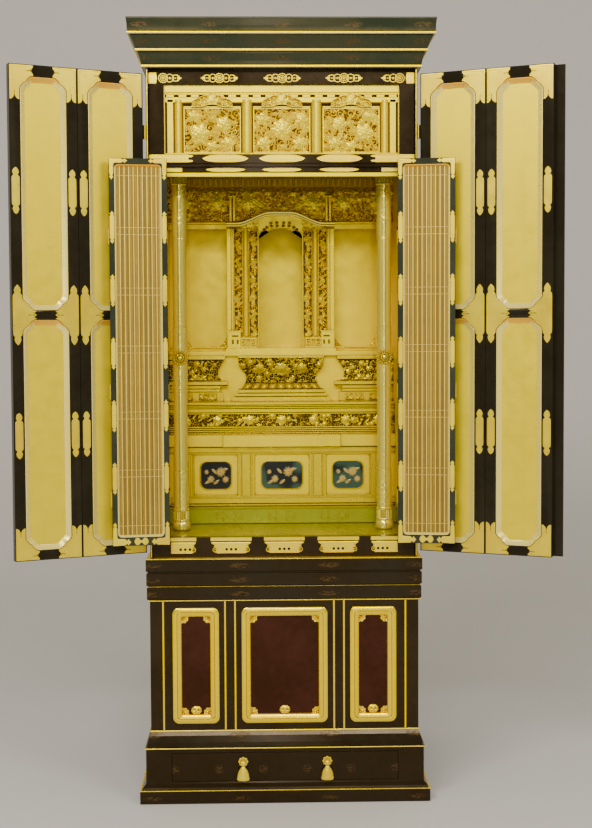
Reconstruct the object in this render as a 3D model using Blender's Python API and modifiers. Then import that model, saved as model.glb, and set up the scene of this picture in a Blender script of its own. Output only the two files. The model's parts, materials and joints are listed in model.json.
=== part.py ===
"""Buddhist home altar: black lacquered cabinet with folding gilt doors, lattice doors, palace and stand.

Units are metres, +Z is up and the altar faces -Y. The origin is on the floor, at the centre of the
base's footprint. Depths are measured back from the front edges of the cabinet's side boards.
"""

import math

import bmesh
import bpy
from mathutils import Euler, Vector

# Clearances
GAP = 0.0003  # between fixed pieces that touch
LEAF_GAP = 0.001  # between door leaves that meet
DRAWER_PLAY = 0.001  # round the drawer in its bay

# Cabinet box
BODY_HALF = 0.296
BODY_DEPTH = 0.54
SIDE_THICK = 0.0215
SIDE_LIP = 0.0047  # thin front edge of a side board, in front of the post
FRAME_RECESS = 0.0135  # front frame behind the side boards' edges
FRAME_THICK = 0.020
POST_WIDTH = 0.0323
BACK_THICK = 0.012
FLOOR_THICK = 0.020
CEILING_THICK = 0.008
CEILING_DROP = 0.004  # ceiling's underside below the lintel's top

# Heights of what is stacked from the ground to the crown
BASE_HEIGHT = 0.0303
BAND_HEIGHT = 0.0892
MOULDING_HEIGHT = 0.0400
STAND_BOX_HEIGHT = 0.2888
CORNICE_HEIGHT = 0.0948
LOWER_RAIL_HEIGHT = 0.0451
OPENING_HEIGHT = 0.7963
LINTEL_HEIGHT = 0.0474
TRANSOM_HEIGHT = 0.1514
UPPER_RAIL_HEIGHT = 0.0317
CROWN_HEIGHT = 0.1020

# Overhangs past the cabinet's sides and front
BASE_OVER = 0.0259
BAND_OVER = 0.0130
MOULDING_OVER = 0.0152
STAND_OVER = 0.0020
CORNICE_OVER = 0.0100
CROWN_OVERS = (0.0077, 0.0160, 0.0195, 0.0320, 0.0355, 0.0393)

GILT_LINE = 0.0030  # height of the stand's gilt lines
CROWN_LINE = 0.0065  # height of the crown's gilt lines
SHELL_WALL = 0.018  # walls of the hollow crown and cornice

# Drawer
DRAWER_HALF = 0.252
DRAWER_HEIGHT = 0.0645
DRAWER_RISE = 0.0167  # drawer bay above the base
DRAWER_DEPTH = 0.420
DRAWER_FRONT_THICK = 0.016
TRAY_WALL = 0.009
PULL_OFFSET = 0.0935
BELL_HALF = 0.0145
BELL_DEPTH = 0.006
BELL_HEIGHT = 0.031
BALL_RADIUS = 0.0065

# Stand panels: centre, half width of the gilt border's outer edge, and half width of the field
STAND_BAYS = {"left": (-0.1970, 0.0516, 0.0310), "centre": (0.0, 0.0955, 0.0750), "right": (0.1970, 0.0516, 0.0310)}
STAND_WALL = 0.016
PANEL_MARGIN_Z = 0.0145  # front frame above and below a panel
PANEL_CORNER = 0.014
BORDER_RISE = 0.004
FIELD_SINK = 0.003
BEAD_X = (0.1098, 0.1320, 0.2690)
BEAD_WIDTH = 0.0045
BEAD_RISE = 0.0012

# Front frame details
LINTEL_BACK = 0.045
LINTEL_STEPS = (0.0100, 0.0210, 0.0283)  # heights of the gilt strip, lower strip and groove
STRIP_SETBACK = 0.015
GROOVE_DEPTH = 0.006
TRANSOM_SETBACK = 0.012
TRANSOM_BACK = 0.053
TRANSOM_PANEL_WIDTH = 0.1262
TRANSOM_PILLAR = 0.0268
TRANSOM_SILL = 0.0045
TRANSOM_PANEL_HEIGHT = 0.0985
TRANSOM_PANEL_BACK = 0.0447
RELIEF_GROUND = 0.0385  # depth of the carved panels' ground
RELIEF_RISE = 0.0110
TRANSOM_GRID = (15, 11)
BRACKET_RISE = 0.0030
BRACKET_GAP_HEIGHT = 0.0100
BRACKET_GAP_WIDTH = 0.0070
BRACKET_GAP_DEPTH = 0.008
FROG_LEG_WIDTH = 0.090
FROG_LEG_HEIGHT = 0.031
FROG_LEG_RISE = 0.005

# Round columns
COLUMN_INSET = 0.0247  # column's centre inside the opening
COLUMN_DEPTH = 0.135
COLUMN_RADIUS = 0.0160
COLUMN_SIDES = 12
COLUMN_CAP_HEIGHT = 0.0204
COLUMN_COLLAR_HEIGHT = 0.028
COLUMN_LOW_SLEEVE = 0.092
COLUMN_TOP_SLEEVE = 0.122
COLUMN_MID_SLEEVE = 0.142
BOSS_HEIGHT = 0.397  # boss centre above the floor
BOSS_RADIUS = 0.019
BOSS_RISE = 0.007

# Altar, from the floor up, and how far each front reaches out from the gilt wall
STEP_HEIGHT = 0.0373
STEP_REACH = 0.264
CUPBOARD_HEIGHT = 0.1432
CUPBOARD_REACH = 0.223
CUPBOARD_THICK = 0.012
CUPBOARD_BAYS = ((-0.159, 0.0530, 0.0370), (0.0, 0.0660, 0.0495), (0.159, 0.0530, 0.0370))
BAY_FIELD_Z = (0.0265, 0.1245)
INSET_Z = (0.0405, 0.1075)
INSET_CORNER = 0.016
BAY_SINK = 0.003
SHELF_HEIGHT = 0.030
SHELF_REACH = 0.242
SHELF_STEP = 0.010
SHELF_CENTRE_HALF = 0.140
BANDS_HEIGHT = 0.0762
BANDS_REACH = 0.215
DAIS_HEIGHT = 0.1109
DAIS_REACH = 0.182
DAIS_HALF = 0.120
TABLE_INNER = 0.1416
TABLE_SLAB_OUT = 0.0162
PLATFORM_HEIGHT = 0.0180
PLATFORM_REACH = 0.167
PLATFORM_CENTRE_HALF = 0.134
PLATFORM_STEP = 0.007

# Palace
SCREEN_REACH = 0.158
SCREEN_THICK = 0.014
SCREEN_HALF = 0.131
NICHE_HALF = 0.0535
NICHE_SHOULDER = 0.020
NICHE_BELOW_BEAM = 0.0132  # niche top below the side beams' top
SIDE_BEAM_HEIGHT = 0.017
CUSP_RISE = 0.026
CUSP_FLAT = 0.023
CUSP_HALF = 0.1066
CUSP_CLEAR = 0.0018  # carved frieze above the cusped beam
FRIEZE_HEIGHT = 0.1164
FRIEZE_REACH = 0.150
FRIEZE_THICK = 0.016
FRIEZE_RISE = 0.012
CARVED_STRIP = (0.0555, 0.0755)
CARVED_COLUMN = (0.0938, 0.1125)
CARVING_RISE = 0.007
PILLAR_BASE_HEIGHT = 0.043
NICHE_WALL = 0.006
NICHE_INNER = 0.078
NICHE_REACH = 0.050
BAY_REACH = 0.100
BAY_PANEL_THICK = 0.007
WALL_SPACE = 0.020  # behind the gilt wall
WALL_THICK = 0.008

# Outer doors
DOOR_EDGE = 0.0005  # hinge edge inside the cabinet's side
DOOR_THICK = 0.018
DOOR_CLEAR = 0.0005  # closed leaf in front of the side boards
DOOR_LOW = 0.0122  # leaf's foot above the cabinet's foot
DOOR_TOP_LOW = 0.0102  # leaf's head below the crown
DOOR_STILE = 0.024
DOOR_TOP_RAIL = 0.0253
DOOR_MID_RAIL = 0.0211
DOOR_MID_LOW = 0.0036  # middle rail's centre below the leaf's middle
DOOR_BOTTOM_RAIL = 0.0220
DOOR_CORNER = 0.013
DOOR_BEVEL = 0.004
DOOR_PANEL_SINK = 0.007
DOOR_PANEL_THICK = 0.0077
DOOR_TONGUE = 0.006
DOOR_PIN_OUT = 0.0025
DOOR_PIN_BACK = 0.006
DOOR_OPEN = 156.0
FOLD_PROUD = 0.0005
ASTRAGAL_REACH = 0.020
ASTRAGAL_LAP = 0.0175
ASTRAGAL_THICK = 0.0047

# Lattice doors
LATTICE_INSET = 0.0445  # hinge edge inside the cabinet's side
LATTICE_THICK = 0.008
LATTICE_SETBACK = 0.0035
LATTICE_LOW = 0.0107  # leaf's foot below the sill
LATTICE_TOP_LOW = 0.0150  # leaf's head below the lintel's top
LATTICE_STILE = 0.012
LATTICE_RAIL = 0.020
LATTICE_BEVEL = 0.0065
LATTICE_BEVEL_DEPTH = 0.004
LATTICE_SHEET = 0.0018
LATTICE_BARS = 9
LATTICE_BAR_WIDTH = 0.003
LATTICE_BAR_RISE = 0.0022
LATTICE_PIN_OUT = 0.001
LATTICE_PIN_FRONT = 0.0065
LATTICE_OPEN = 172.0

# Hinges: round barrels on the pins, as shares of a leaf's height
HINGE_LENGTH = 0.030
HINGE_SIDES = 6
HINGE_PLATE = 0.0025
HINGE_LAP = 0.0110
DOOR_HINGES = (0.10, 0.36, 0.88)
LATTICE_HINGES = (0.12, 0.40, 0.80)
LATTICE_HINGE_RADIUS = 0.0020
FOLD_HINGE_RADIUS = 0.0022
BRACKET_ARM_HEIGHT = 0.008

# Heights worked out from the stack above
BAND_Z = BASE_HEIGHT + GAP
MOULDING_Z = BAND_Z + BAND_HEIGHT + GAP
STAND_Z = MOULDING_Z + MOULDING_HEIGHT + GAP
CORNICE_Z = STAND_Z + STAND_BOX_HEIGHT + GAP
BODY_Z = CORNICE_Z + CORNICE_HEIGHT + GAP
SILL_Z = BODY_Z + LOWER_RAIL_HEIGHT
LINTEL_Z = SILL_Z + GAP + OPENING_HEIGHT + GAP
LINTEL_TOP = LINTEL_Z + LINTEL_HEIGHT
TRANSOM_Z = LINTEL_TOP + GAP
UPPER_RAIL_Z = TRANSOM_Z + TRANSOM_HEIGHT + GAP
CROWN_Z = UPPER_RAIL_Z + UPPER_RAIL_HEIGHT + GAP
CEILING_Z = LINTEL_TOP - CEILING_DROP
STEP_Z = SILL_Z + GAP
CUPBOARD_Z = STEP_Z + STEP_HEIGHT + GAP
SHELF_Z = CUPBOARD_Z + CUPBOARD_HEIGHT + GAP
BANDS_Z = SHELF_Z + SHELF_HEIGHT + GAP
DAIS_Z = BANDS_Z + BANDS_HEIGHT + GAP
PLATFORM_Z = DAIS_Z + DAIS_HEIGHT + GAP
SCREEN_Z = PLATFORM_Z + PLATFORM_HEIGHT + GAP
BAY_Z = SCREEN_Z - PLATFORM_STEP
BEAM_TOP = CEILING_Z - GAP - FRIEZE_HEIGHT - GAP

# Depths and widths worked out from the cabinet box
BACK_Y = (BODY_DEPTH + BASE_OVER) / 2
FRONT_Y = BACK_Y - BODY_DEPTH
INNER_HALF = BODY_HALF - SIDE_THICK - GAP
FRAME_HALF = BODY_HALF - SIDE_LIP - GAP
FRAME_BACK = FRAME_RECESS + FRAME_THICK
OPENING_HALF = FRAME_HALF - POST_WIDTH
WALL_FRONT = BODY_DEPTH - BACK_THICK - WALL_SPACE - WALL_THICK
WALL_BACK = WALL_FRONT - GAP
STEP_FRONT = WALL_FRONT - STEP_REACH
CUPBOARD_FRONT = WALL_FRONT - CUPBOARD_REACH
SHELF_FRONT = WALL_FRONT - SHELF_REACH
BANDS_FRONT = WALL_FRONT - BANDS_REACH
DAIS_FRONT = WALL_FRONT - DAIS_REACH
PLATFORM_FRONT = WALL_FRONT - PLATFORM_REACH
SCREEN_FRONT = WALL_FRONT - SCREEN_REACH
FRIEZE_FRONT = WALL_FRONT - FRIEZE_REACH
NICHE_BACK = WALL_FRONT - NICHE_REACH
BAY_BACK = WALL_FRONT - BAY_REACH
COLUMN_X = OPENING_HALF - COLUMN_INSET

TRANSOM_PITCH = TRANSOM_PANEL_WIDTH + TRANSOM_PILLAR
TRANSOM_BAYS = [
    (index * TRANSOM_PITCH - TRANSOM_PANEL_WIDTH / 2, index * TRANSOM_PITCH + TRANSOM_PANEL_WIDTH / 2)
    for index in (-1, 0, 1)
]

LACQUER = ("black lacquer", (0.012, 0.014, 0.011), 0.16, 0.0)
GILT = ("gold leaf", (0.80, 0.58, 0.09), 0.34, 0.9)
PALE_GILT = ("pale gold leaf", (0.74, 0.62, 0.28), 0.36, 0.85)
COPPER_GILT = ("copper gold", (0.52, 0.36, 0.18), 0.40, 0.6)
MAROON = ("maroon lacquer", (0.045, 0.010, 0.008), 0.20, 0.0)

parts = None
tools = None


def deep(depth):
    """World y of a depth behind the cabinet's front edges."""
    return FRONT_Y + depth


def material(look):
    """A Principled material, made once for each look."""
    name, colour, roughness, metallic = look
    found = bpy.data.materials.get(name)
    if found:
        return found
    made = bpy.data.materials.new(name)
    made.use_nodes = True
    shader = made.node_tree.nodes["Principled BSDF"]
    shader.inputs["Base Color"].default_value = (*colour, 1.0)
    shader.inputs["Roughness"].default_value = roughness
    shader.inputs["Metallic"].default_value = metallic
    return made


def add_object(name, bm, look=None, place=(0, 0, 0)):
    """Turn a bmesh into an object: a part when it has a look, and otherwise a hidden cutter or block."""
    bmesh.ops.recalc_face_normals(bm, faces=bm.faces)
    mesh = bpy.data.meshes.new(name)
    bm.to_mesh(mesh)
    bm.free()
    obj = bpy.data.objects.new(name, mesh)
    obj.location = place
    if look:
        parts.objects.link(obj)
        mesh.materials.append(material(look))
    else:
        tools.objects.link(obj)
        obj.hide_render = True
        obj.display_type = "WIRE"
    return obj


def box(name, low, high, look=None):
    """A block between two corners, with its origin at its centre."""
    low, high = Vector(low), Vector(high)
    size = high - low
    bm = bmesh.new()
    bmesh.ops.create_cube(bm, size=1.0)
    bmesh.ops.scale(bm, vec=size, verts=bm.verts)
    return add_object(name, bm, look, (low + high) / 2)


def prism(name, outline, plane, start, end, look=None):
    """A flat outline carried from start to end, square to its plane: XZ, YZ or XY."""
    turn = {"XZ": (math.pi / 2, 0, 0), "YZ": (math.pi / 2, 0, math.pi / 2), "XY": (0, 0, 0)}[plane]
    along = {"XZ": Vector((0, 1, 0)), "YZ": Vector((1, 0, 0)), "XY": Vector((0, 0, 1))}[plane]
    data = bpy.data.curves.new(name + "_outline", "CURVE")
    data.dimensions = "2D"
    data.fill_mode = "BOTH"
    data.extrude = abs(end - start) / 2
    spline = data.splines.new("POLY")
    spline.points.add(len(outline) - 1)
    for point, (a, b) in zip(spline.points, outline):
        point.co = (a, b, 0, 1)
    spline.use_cyclic_u = True
    curve = bpy.data.objects.new(name + "_outline", data)
    curve.rotation_euler = Euler(turn)
    curve.location = along * (start + end) / 2
    tools.objects.link(curve)
    bpy.context.view_layer.update()
    flat = bpy.data.meshes.new_from_object(curve.evaluated_get(bpy.context.evaluated_depsgraph_get()))
    bm = bmesh.new()
    bm.from_mesh(flat)
    bmesh.ops.remove_doubles(bm, verts=bm.verts, dist=1e-6)
    bmesh.ops.transform(bm, matrix=curve.matrix_world, verts=bm.verts)
    bpy.data.objects.remove(curve)
    bpy.data.meshes.remove(flat)
    return add_object(name, bm, look)


def loft(name, rings, look=None):
    """A closed solid through rings that have the same number of points, capped at both ends."""
    bm = bmesh.new()
    made = [[bm.verts.new(point) for point in ring] for ring in rings]
    count = len(rings[0])
    for lower, upper in zip(made, made[1:]):
        for i in range(count):
            j = (i + 1) % count
            bm.faces.new((lower[i], lower[j], upper[j], upper[i]))
    bm.faces.new(made[0])
    bm.faces.new(made[-1])
    return add_object(name, bm, look)


def turned(name, profile, sides, look=None, place=(0, 0, 0)):
    """A solid turned about Z from (radius, height) pairs that run from its top to its foot."""
    bm = bmesh.new()
    verts = [bm.verts.new((radius, 0, height)) for radius, height in profile]
    for upper, lower in zip(verts, verts[1:]):
        bm.edges.new((upper, lower))
    obj = add_object(name, bm, look, place)
    screw = obj.modifiers.new("turn", "SCREW")
    screw.axis = "Z"
    screw.angle = math.tau
    screw.steps = sides
    screw.render_steps = sides
    screw.use_merge_vertices = True
    screw.merge_threshold = 1e-5
    return obj


def combine(obj, other, operation):
    """Cut a hidden shape out of a part, or join it on."""
    modifier = obj.modifiers.new(other.name, "BOOLEAN")
    modifier.operation = operation
    modifier.solver = "EXACT"
    modifier.object = other
    return obj


def cut(obj, other):
    return combine(obj, other, "DIFFERENCE")


def join(obj, other):
    return combine(obj, other, "UNION")


def rounded(low, high, corner, steps=2):
    """Outline of a rectangle whose corners are arcs, starting at the right of the top right arc."""
    (x0, z0), (x1, z1) = low, high
    centres = ((x1 - corner, z1 - corner), (x0 + corner, z1 - corner), (x0 + corner, z0 + corner), (x1 - corner, z0 + corner))
    points = []
    for quarter, (cx, cz) in enumerate(centres):
        for step in range(steps + 1):
            angle = (quarter + step / steps) * math.pi / 2
            points.append((cx + corner * math.cos(angle), cz + corner * math.sin(angle)))
    return points


def smooth(t):
    """Ease from 0 to 1, flat at both ends."""
    t = min(max(t, 0.0), 1.0)
    return t * t * (3 - 2 * t)


def overhung(name, levels, look, foot, back=BACK_Y):
    """A stepped moulding round the front and sides: levels are (height above foot, overhang)."""
    rings = []
    for height, over in levels:
        half, front = BODY_HALF + over, FRONT_Y - over
        rings.append([(-half, front, foot + height), (half, front, foot + height), (half, back, foot + height), (-half, back, foot + height)])
    return loft(name, rings, look)


def relief(name, grid, surface, back, look=None):
    """A carved block: surface(u, v) gives its front, and its back is flat at the depth given."""
    bm = bmesh.new()
    bmesh.ops.create_grid(bm, x_segments=grid[0], y_segments=grid[1], size=1.0)
    for vert in bm.verts:
        vert.co = surface((vert.co.x + 1) / 2, (vert.co.y + 1) / 2)
    rim = [edge for edge in bm.edges if edge.is_boundary]
    grown = bmesh.ops.extrude_edge_only(bm, edges=rim)["geom"]
    for item in grown:
        if isinstance(item, bmesh.types.BMVert):
            item.co.y = deep(back)
    edges = [item for item in grown if isinstance(item, bmesh.types.BMEdge) and item.is_boundary]
    bmesh.ops.contextual_create(bm, geom=edges)
    return add_object(name, bm, look)


def flower(x, z, cx, cz, radius, petals):
    """Height, 0 to 1, of a domed flower whose rim is cut into petals."""
    dx, dz = x - cx, z - cz
    rim = radius * (1 + 0.16 * math.cos(petals * math.atan2(dz, dx)))
    reach = math.hypot(dx, dz) / rim
    return math.sqrt(max(0.0, 1 - reach * reach))


def wave(x, pitch):
    """Rounded lobes of one pitch, 0 between lobes and 1 on top."""
    return abs(math.sin(math.pi * x / pitch))


def make_stand():
    """Plinth, drawer band, moulding, box with its three panels, and cornice."""
    edge = 0.002
    overhung(
        "stand_base",
        [(0, BASE_OVER - edge), (edge, BASE_OVER), (BASE_HEIGHT, BASE_OVER)],
        LACQUER,
        0,
    )
    flare = BASE_OVER - 0.003
    surround = overhung(
        "drawer_surround",
        [(0, flare), (0.005, flare - 0.002), (0.012, BAND_OVER + 0.001), (0.016, BAND_OVER), (BAND_HEIGHT, BAND_OVER)],
        LACQUER,
        BAND_Z,
    )
    band_front = FRONT_Y - BAND_OVER
    bay_low = BASE_HEIGHT + DRAWER_RISE
    bay_back = band_front + DRAWER_DEPTH + 2 * DRAWER_PLAY
    bay = box(
        "drawer_bay",
        (-DRAWER_HALF, FRONT_Y - BASE_OVER - 0.01, bay_low),
        (DRAWER_HALF, bay_back, bay_low + DRAWER_HEIGHT),
    )
    cut(surround, bay)
    make_drawer(band_front, bay_low)
    overhung(
        "stand_lower_moulding",
        [
            (0, MOULDING_OVER),
            (GILT_LINE, MOULDING_OVER),
            (GILT_LINE + 0.001, MOULDING_OVER - 0.004),
            (0.014, MOULDING_OVER - 0.0055),
            (0.028, STAND_OVER + 0.0035),
            (MOULDING_HEIGHT - GILT_LINE - 0.001, STAND_OVER),
            (MOULDING_HEIGHT - GILT_LINE, STAND_OVER + 0.0008),
            (MOULDING_HEIGHT, STAND_OVER + 0.0008),
        ],
        LACQUER,
        MOULDING_Z,
    )
    make_stand_box()
    layer = CORNICE_HEIGHT / 3
    groove = 0.0035
    levels = []
    for index in range(3):
        over = CORNICE_OVER - 0.001 * (2 - index)
        start = index * layer
        levels += [(start, over - 0.004), (start + groove, over - 0.004), (start + groove + 0.001, over), (start + layer - 0.001, over)]
    levels.append((CORNICE_HEIGHT, CORNICE_OVER - 0.002))
    cornice = overhung("stand_cornice", levels, LACQUER, CORNICE_Z)
    inside = BODY_HALF - SHELL_WALL
    hollow = box(
        "cornice_hollow",
        (-inside, deep(SHELL_WALL), CORNICE_Z - 0.01),
        (inside, BACK_Y - SHELL_WALL, CORNICE_Z + CORNICE_HEIGHT - SHELL_WALL),
    )
    cut(cornice, hollow)


def make_drawer(front, low):
    """Drawer front, open tray and the two bell pulls, closed in the band."""
    bottom = low + DRAWER_PLAY
    top = low + DRAWER_HEIGHT - DRAWER_PLAY
    half = DRAWER_HALF - DRAWER_PLAY
    tray_y = front + DRAWER_FRONT_THICK + GAP
    box("drawer_front", (-half, front, bottom), (half, front + DRAWER_FRONT_THICK, top), LACQUER)
    tray = box("drawer_tray", (-half, tray_y, bottom), (half, front + DRAWER_DEPTH, top - 0.004), LACQUER)
    room = box(
        "tray_room",
        (-half + TRAY_WALL, tray_y + TRAY_WALL, bottom + TRAY_WALL),
        (half - TRAY_WALL, front + DRAWER_DEPTH - TRAY_WALL, top + 0.01),
    )
    cut(tray, room)
    for side, sign in (("left", -1), ("right", 1)):
        make_pull("drawer_pull_" + side, sign * PULL_OFFSET, front - GAP, bottom)


def make_pull(name, x, face, bottom):
    """A knob with a bell-shaped drop below it, on a small back plate."""
    foot = bottom + 0.002
    neck = foot + BELL_HEIGHT
    ball = neck + BALL_RADIUS
    profile = [(0, ball + BALL_RADIUS)]
    profile += [(BALL_RADIUS * math.sin(a), ball + BALL_RADIUS * math.cos(a)) for a in (0.8, 1.57, 2.4)]
    profile += [(0.0035, neck - 0.003), (0.0085, neck - 0.008), (BELL_HALF * 0.93, foot + 0.012), (BELL_HALF, foot + 0.007)]
    profile += [(BELL_HALF * 0.86, foot), (0, foot)]
    bell = turned(name, profile, 12, PALE_GILT)
    flat = BELL_DEPTH / BELL_HALF
    for vert in bell.data.vertices:
        vert.co.y *= flat
    bell.scale = (1, flat, 1)
    bell.location = (x, face - BELL_DEPTH - 0.002, 0)
    plate = prism(
        name + "_plate",
        rounded((x - 0.010, neck - 0.004), (x + 0.010, ball + 0.012), 0.005),
        "XZ",
        face - 0.0015,
        face,
    )
    stem = box(name + "_stem", (x - 0.003, face - BELL_DEPTH, ball - 0.003), (x + 0.003, face - 0.001, ball + 0.003))
    join(bell, plate)
    join(bell, stem)


def make_stand_box():
    """Sides and back, the front frame with its gilt beads, and three bordered panels."""
    half = BODY_HALF + STAND_OVER
    front = FRONT_Y - STAND_OVER
    behind = front + STAND_WALL + GAP
    top = STAND_Z + STAND_BOX_HEIGHT
    inner = half - STAND_WALL
    outline = [
        (-half, behind),
        (-half, BACK_Y),
        (half, BACK_Y),
        (half, behind),
        (inner, behind),
        (inner, BACK_Y - STAND_WALL),
        (-inner, BACK_Y - STAND_WALL),
        (-inner, behind),
    ]
    prism("stand_carcass", outline, "XY", STAND_Z, top, LACQUER)
    frame = box("stand_front_frame", (-half, front, STAND_Z), (half, front + STAND_WALL, top), LACQUER)
    low, high = STAND_Z + PANEL_MARGIN_Z, top - PANEL_MARGIN_Z
    for side, (centre, outer, field) in STAND_BAYS.items():
        hole = rounded((centre - outer, low), (centre + outer, high), PANEL_CORNER)
        cut(frame, prism("stand_hole_" + side, hole, "XZ", front - 0.01, front + STAND_WALL + 0.01))
        make_stand_panel(side, centre, outer - GAP, field, low + GAP, high - GAP, front)
    for sign in (-1, 1):
        for x in BEAD_X:
            bead = box(
                f"bead_{sign}_{x}",
                (sign * x - BEAD_WIDTH / 2, front - BEAD_RISE, STAND_Z),
                (sign * x + BEAD_WIDTH / 2, front + 0.002, top),
            )
            join(frame, bead)


def make_stand_panel(side, centre, outer, field, low, high, front):
    """A panel with a thick rounded border round a sunk field: rings shrink towards the field."""
    width = outer - field
    border = [
        (0.0, STAND_WALL),
        (0.0, 0.0),
        (0.12 * width, -0.7 * BORDER_RISE),
        (0.40 * width, -BORDER_RISE),
        (0.75 * width, -0.7 * BORDER_RISE),
        (1.0 * width, FIELD_SINK),
    ]
    rings = []
    for inset, depth in border:
        corner = max(PANEL_CORNER - inset, 0.004)
        ring = rounded((centre - outer + inset, low + inset), (centre + outer - inset, high - inset), corner)
        rings.append([(x, front + depth, z) for x, z in ring])
    loft("stand_panel_" + side, rings, MAROON)


def make_cabinet():
    """Side boards, back, floor, ceiling, front posts and rails."""
    top = CROWN_Z - GAP
    for side, sign in (("left", -1), ("right", 1)):
        outer, inner, lip = sign * BODY_HALF, sign * (BODY_HALF - SIDE_THICK), sign * (BODY_HALF - SIDE_LIP)
        step = deep(FRAME_BACK + GAP)
        outline = [(outer, FRONT_Y), (lip, FRONT_Y), (lip, step), (inner, step), (inner, BACK_Y), (outer, BACK_Y)]
        prism("cabinet_side_" + side, outline, "XY", BODY_Z, top, LACQUER)
        box(
            "front_post_" + side,
            (min(sign * FRAME_HALF, sign * OPENING_HALF), deep(FRAME_RECESS), SILL_Z + GAP),
            (max(sign * FRAME_HALF, sign * OPENING_HALF), deep(FRAME_BACK), LINTEL_Z - GAP),
            LACQUER,
        )
    box("cabinet_back", (-INNER_HALF, BACK_Y - BACK_THICK, BODY_Z), (INNER_HALF, BACK_Y, top), LACQUER)
    behind = BACK_Y - BACK_THICK - GAP
    box(
        "cabinet_floor",
        (-INNER_HALF, deep(FRAME_BACK) + GAP, SILL_Z - FLOOR_THICK),
        (INNER_HALF, behind, SILL_Z),
        LACQUER,
    )
    box(
        "ceiling_board",
        (-INNER_HALF, deep(TRANSOM_BACK) + GAP, CEILING_Z),
        (INNER_HALF, behind, CEILING_Z + CEILING_THICK),
        LACQUER,
    )
    box(
        "lower_front_rail",
        (-FRAME_HALF, deep(FRAME_RECESS), BODY_Z),
        (FRAME_HALF, deep(FRAME_BACK), SILL_Z),
        LACQUER,
    )
    box(
        "upper_front_rail",
        (-FRAME_HALF, deep(FRAME_RECESS), UPPER_RAIL_Z),
        (FRAME_HALF, deep(FRAME_BACK), UPPER_RAIL_Z + UPPER_RAIL_HEIGHT),
        LACQUER,
    )
    make_lintel()
    make_crown()


def make_lintel():
    """The main lintel: a front strip over a groove, a set back lower strip and a gilt strip."""
    gilt, lower, groove = (LINTEL_Z + height for height in LINTEL_STEPS)
    face, strip = FRAME_RECESS, FRAME_RECESS + STRIP_SETBACK
    back = deep(LINTEL_BACK)
    outline = [
        (deep(strip + 0.004), LINTEL_Z),
        (back, LINTEL_Z),
        (back, CEILING_Z - GAP),
        (deep(FRAME_BACK), CEILING_Z - GAP),
        (deep(FRAME_BACK), LINTEL_TOP),
        (deep(face), LINTEL_TOP),
        (deep(face), groove),
        (deep(face + GROOVE_DEPTH), groove),
        (deep(face + GROOVE_DEPTH), lower),
        (deep(strip), lower),
        (deep(strip), gilt),
        (deep(strip + 0.004), gilt),
    ]
    lintel = prism("main_lintel", outline, "YZ", -FRAME_HALF, FRAME_HALF, LACQUER)
    for sign in (-1, 1):
        far, near = sign * (FRAME_HALF + 0.01), sign * (INNER_HALF)
        cut(
            lintel,
            box(
                f"lintel_end_{sign}",
                (min(far, near), deep(FRAME_BACK), LINTEL_Z - 0.01),
                (max(far, near), back + 0.01, LINTEL_TOP + 0.01),
            ),
        )


def make_crown():
    """Three flared tiers, each with a gilt line at its foot, hollow underneath."""
    third, second, first = CROWN_LINE, 0.0360 + CROWN_LINE / 2, 0.0695 + CROWN_LINE / 2
    o = CROWN_OVERS
    levels = [
        (0, o[0]),
        (third, o[0]),
        (third + 0.0005, o[0] + 0.0012),
        (second - CROWN_LINE - 0.0005, o[1]),
        (second - CROWN_LINE, o[2]),
        (second, o[2]),
        (second + 0.0005, o[2] + 0.0015),
        (first - CROWN_LINE - 0.0005, o[3]),
        (first - CROWN_LINE, o[4]),
        (first, o[4]),
        (first + 0.0005, o[4] + 0.0014),
        (CROWN_HEIGHT - 0.0015, o[5]),
        (CROWN_HEIGHT, o[5] - 0.0015),
    ]
    crown = overhung("crown", levels, LACQUER, CROWN_Z)
    inside = BODY_HALF - SHELL_WALL
    hollow = box(
        "crown_hollow",
        (-inside, deep(FRAME_BACK), CROWN_Z - 0.01),
        (inside, BACK_Y - SHELL_WALL, CROWN_Z + CROWN_HEIGHT - SHELL_WALL),
    )
    cut(crown, hollow)


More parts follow.
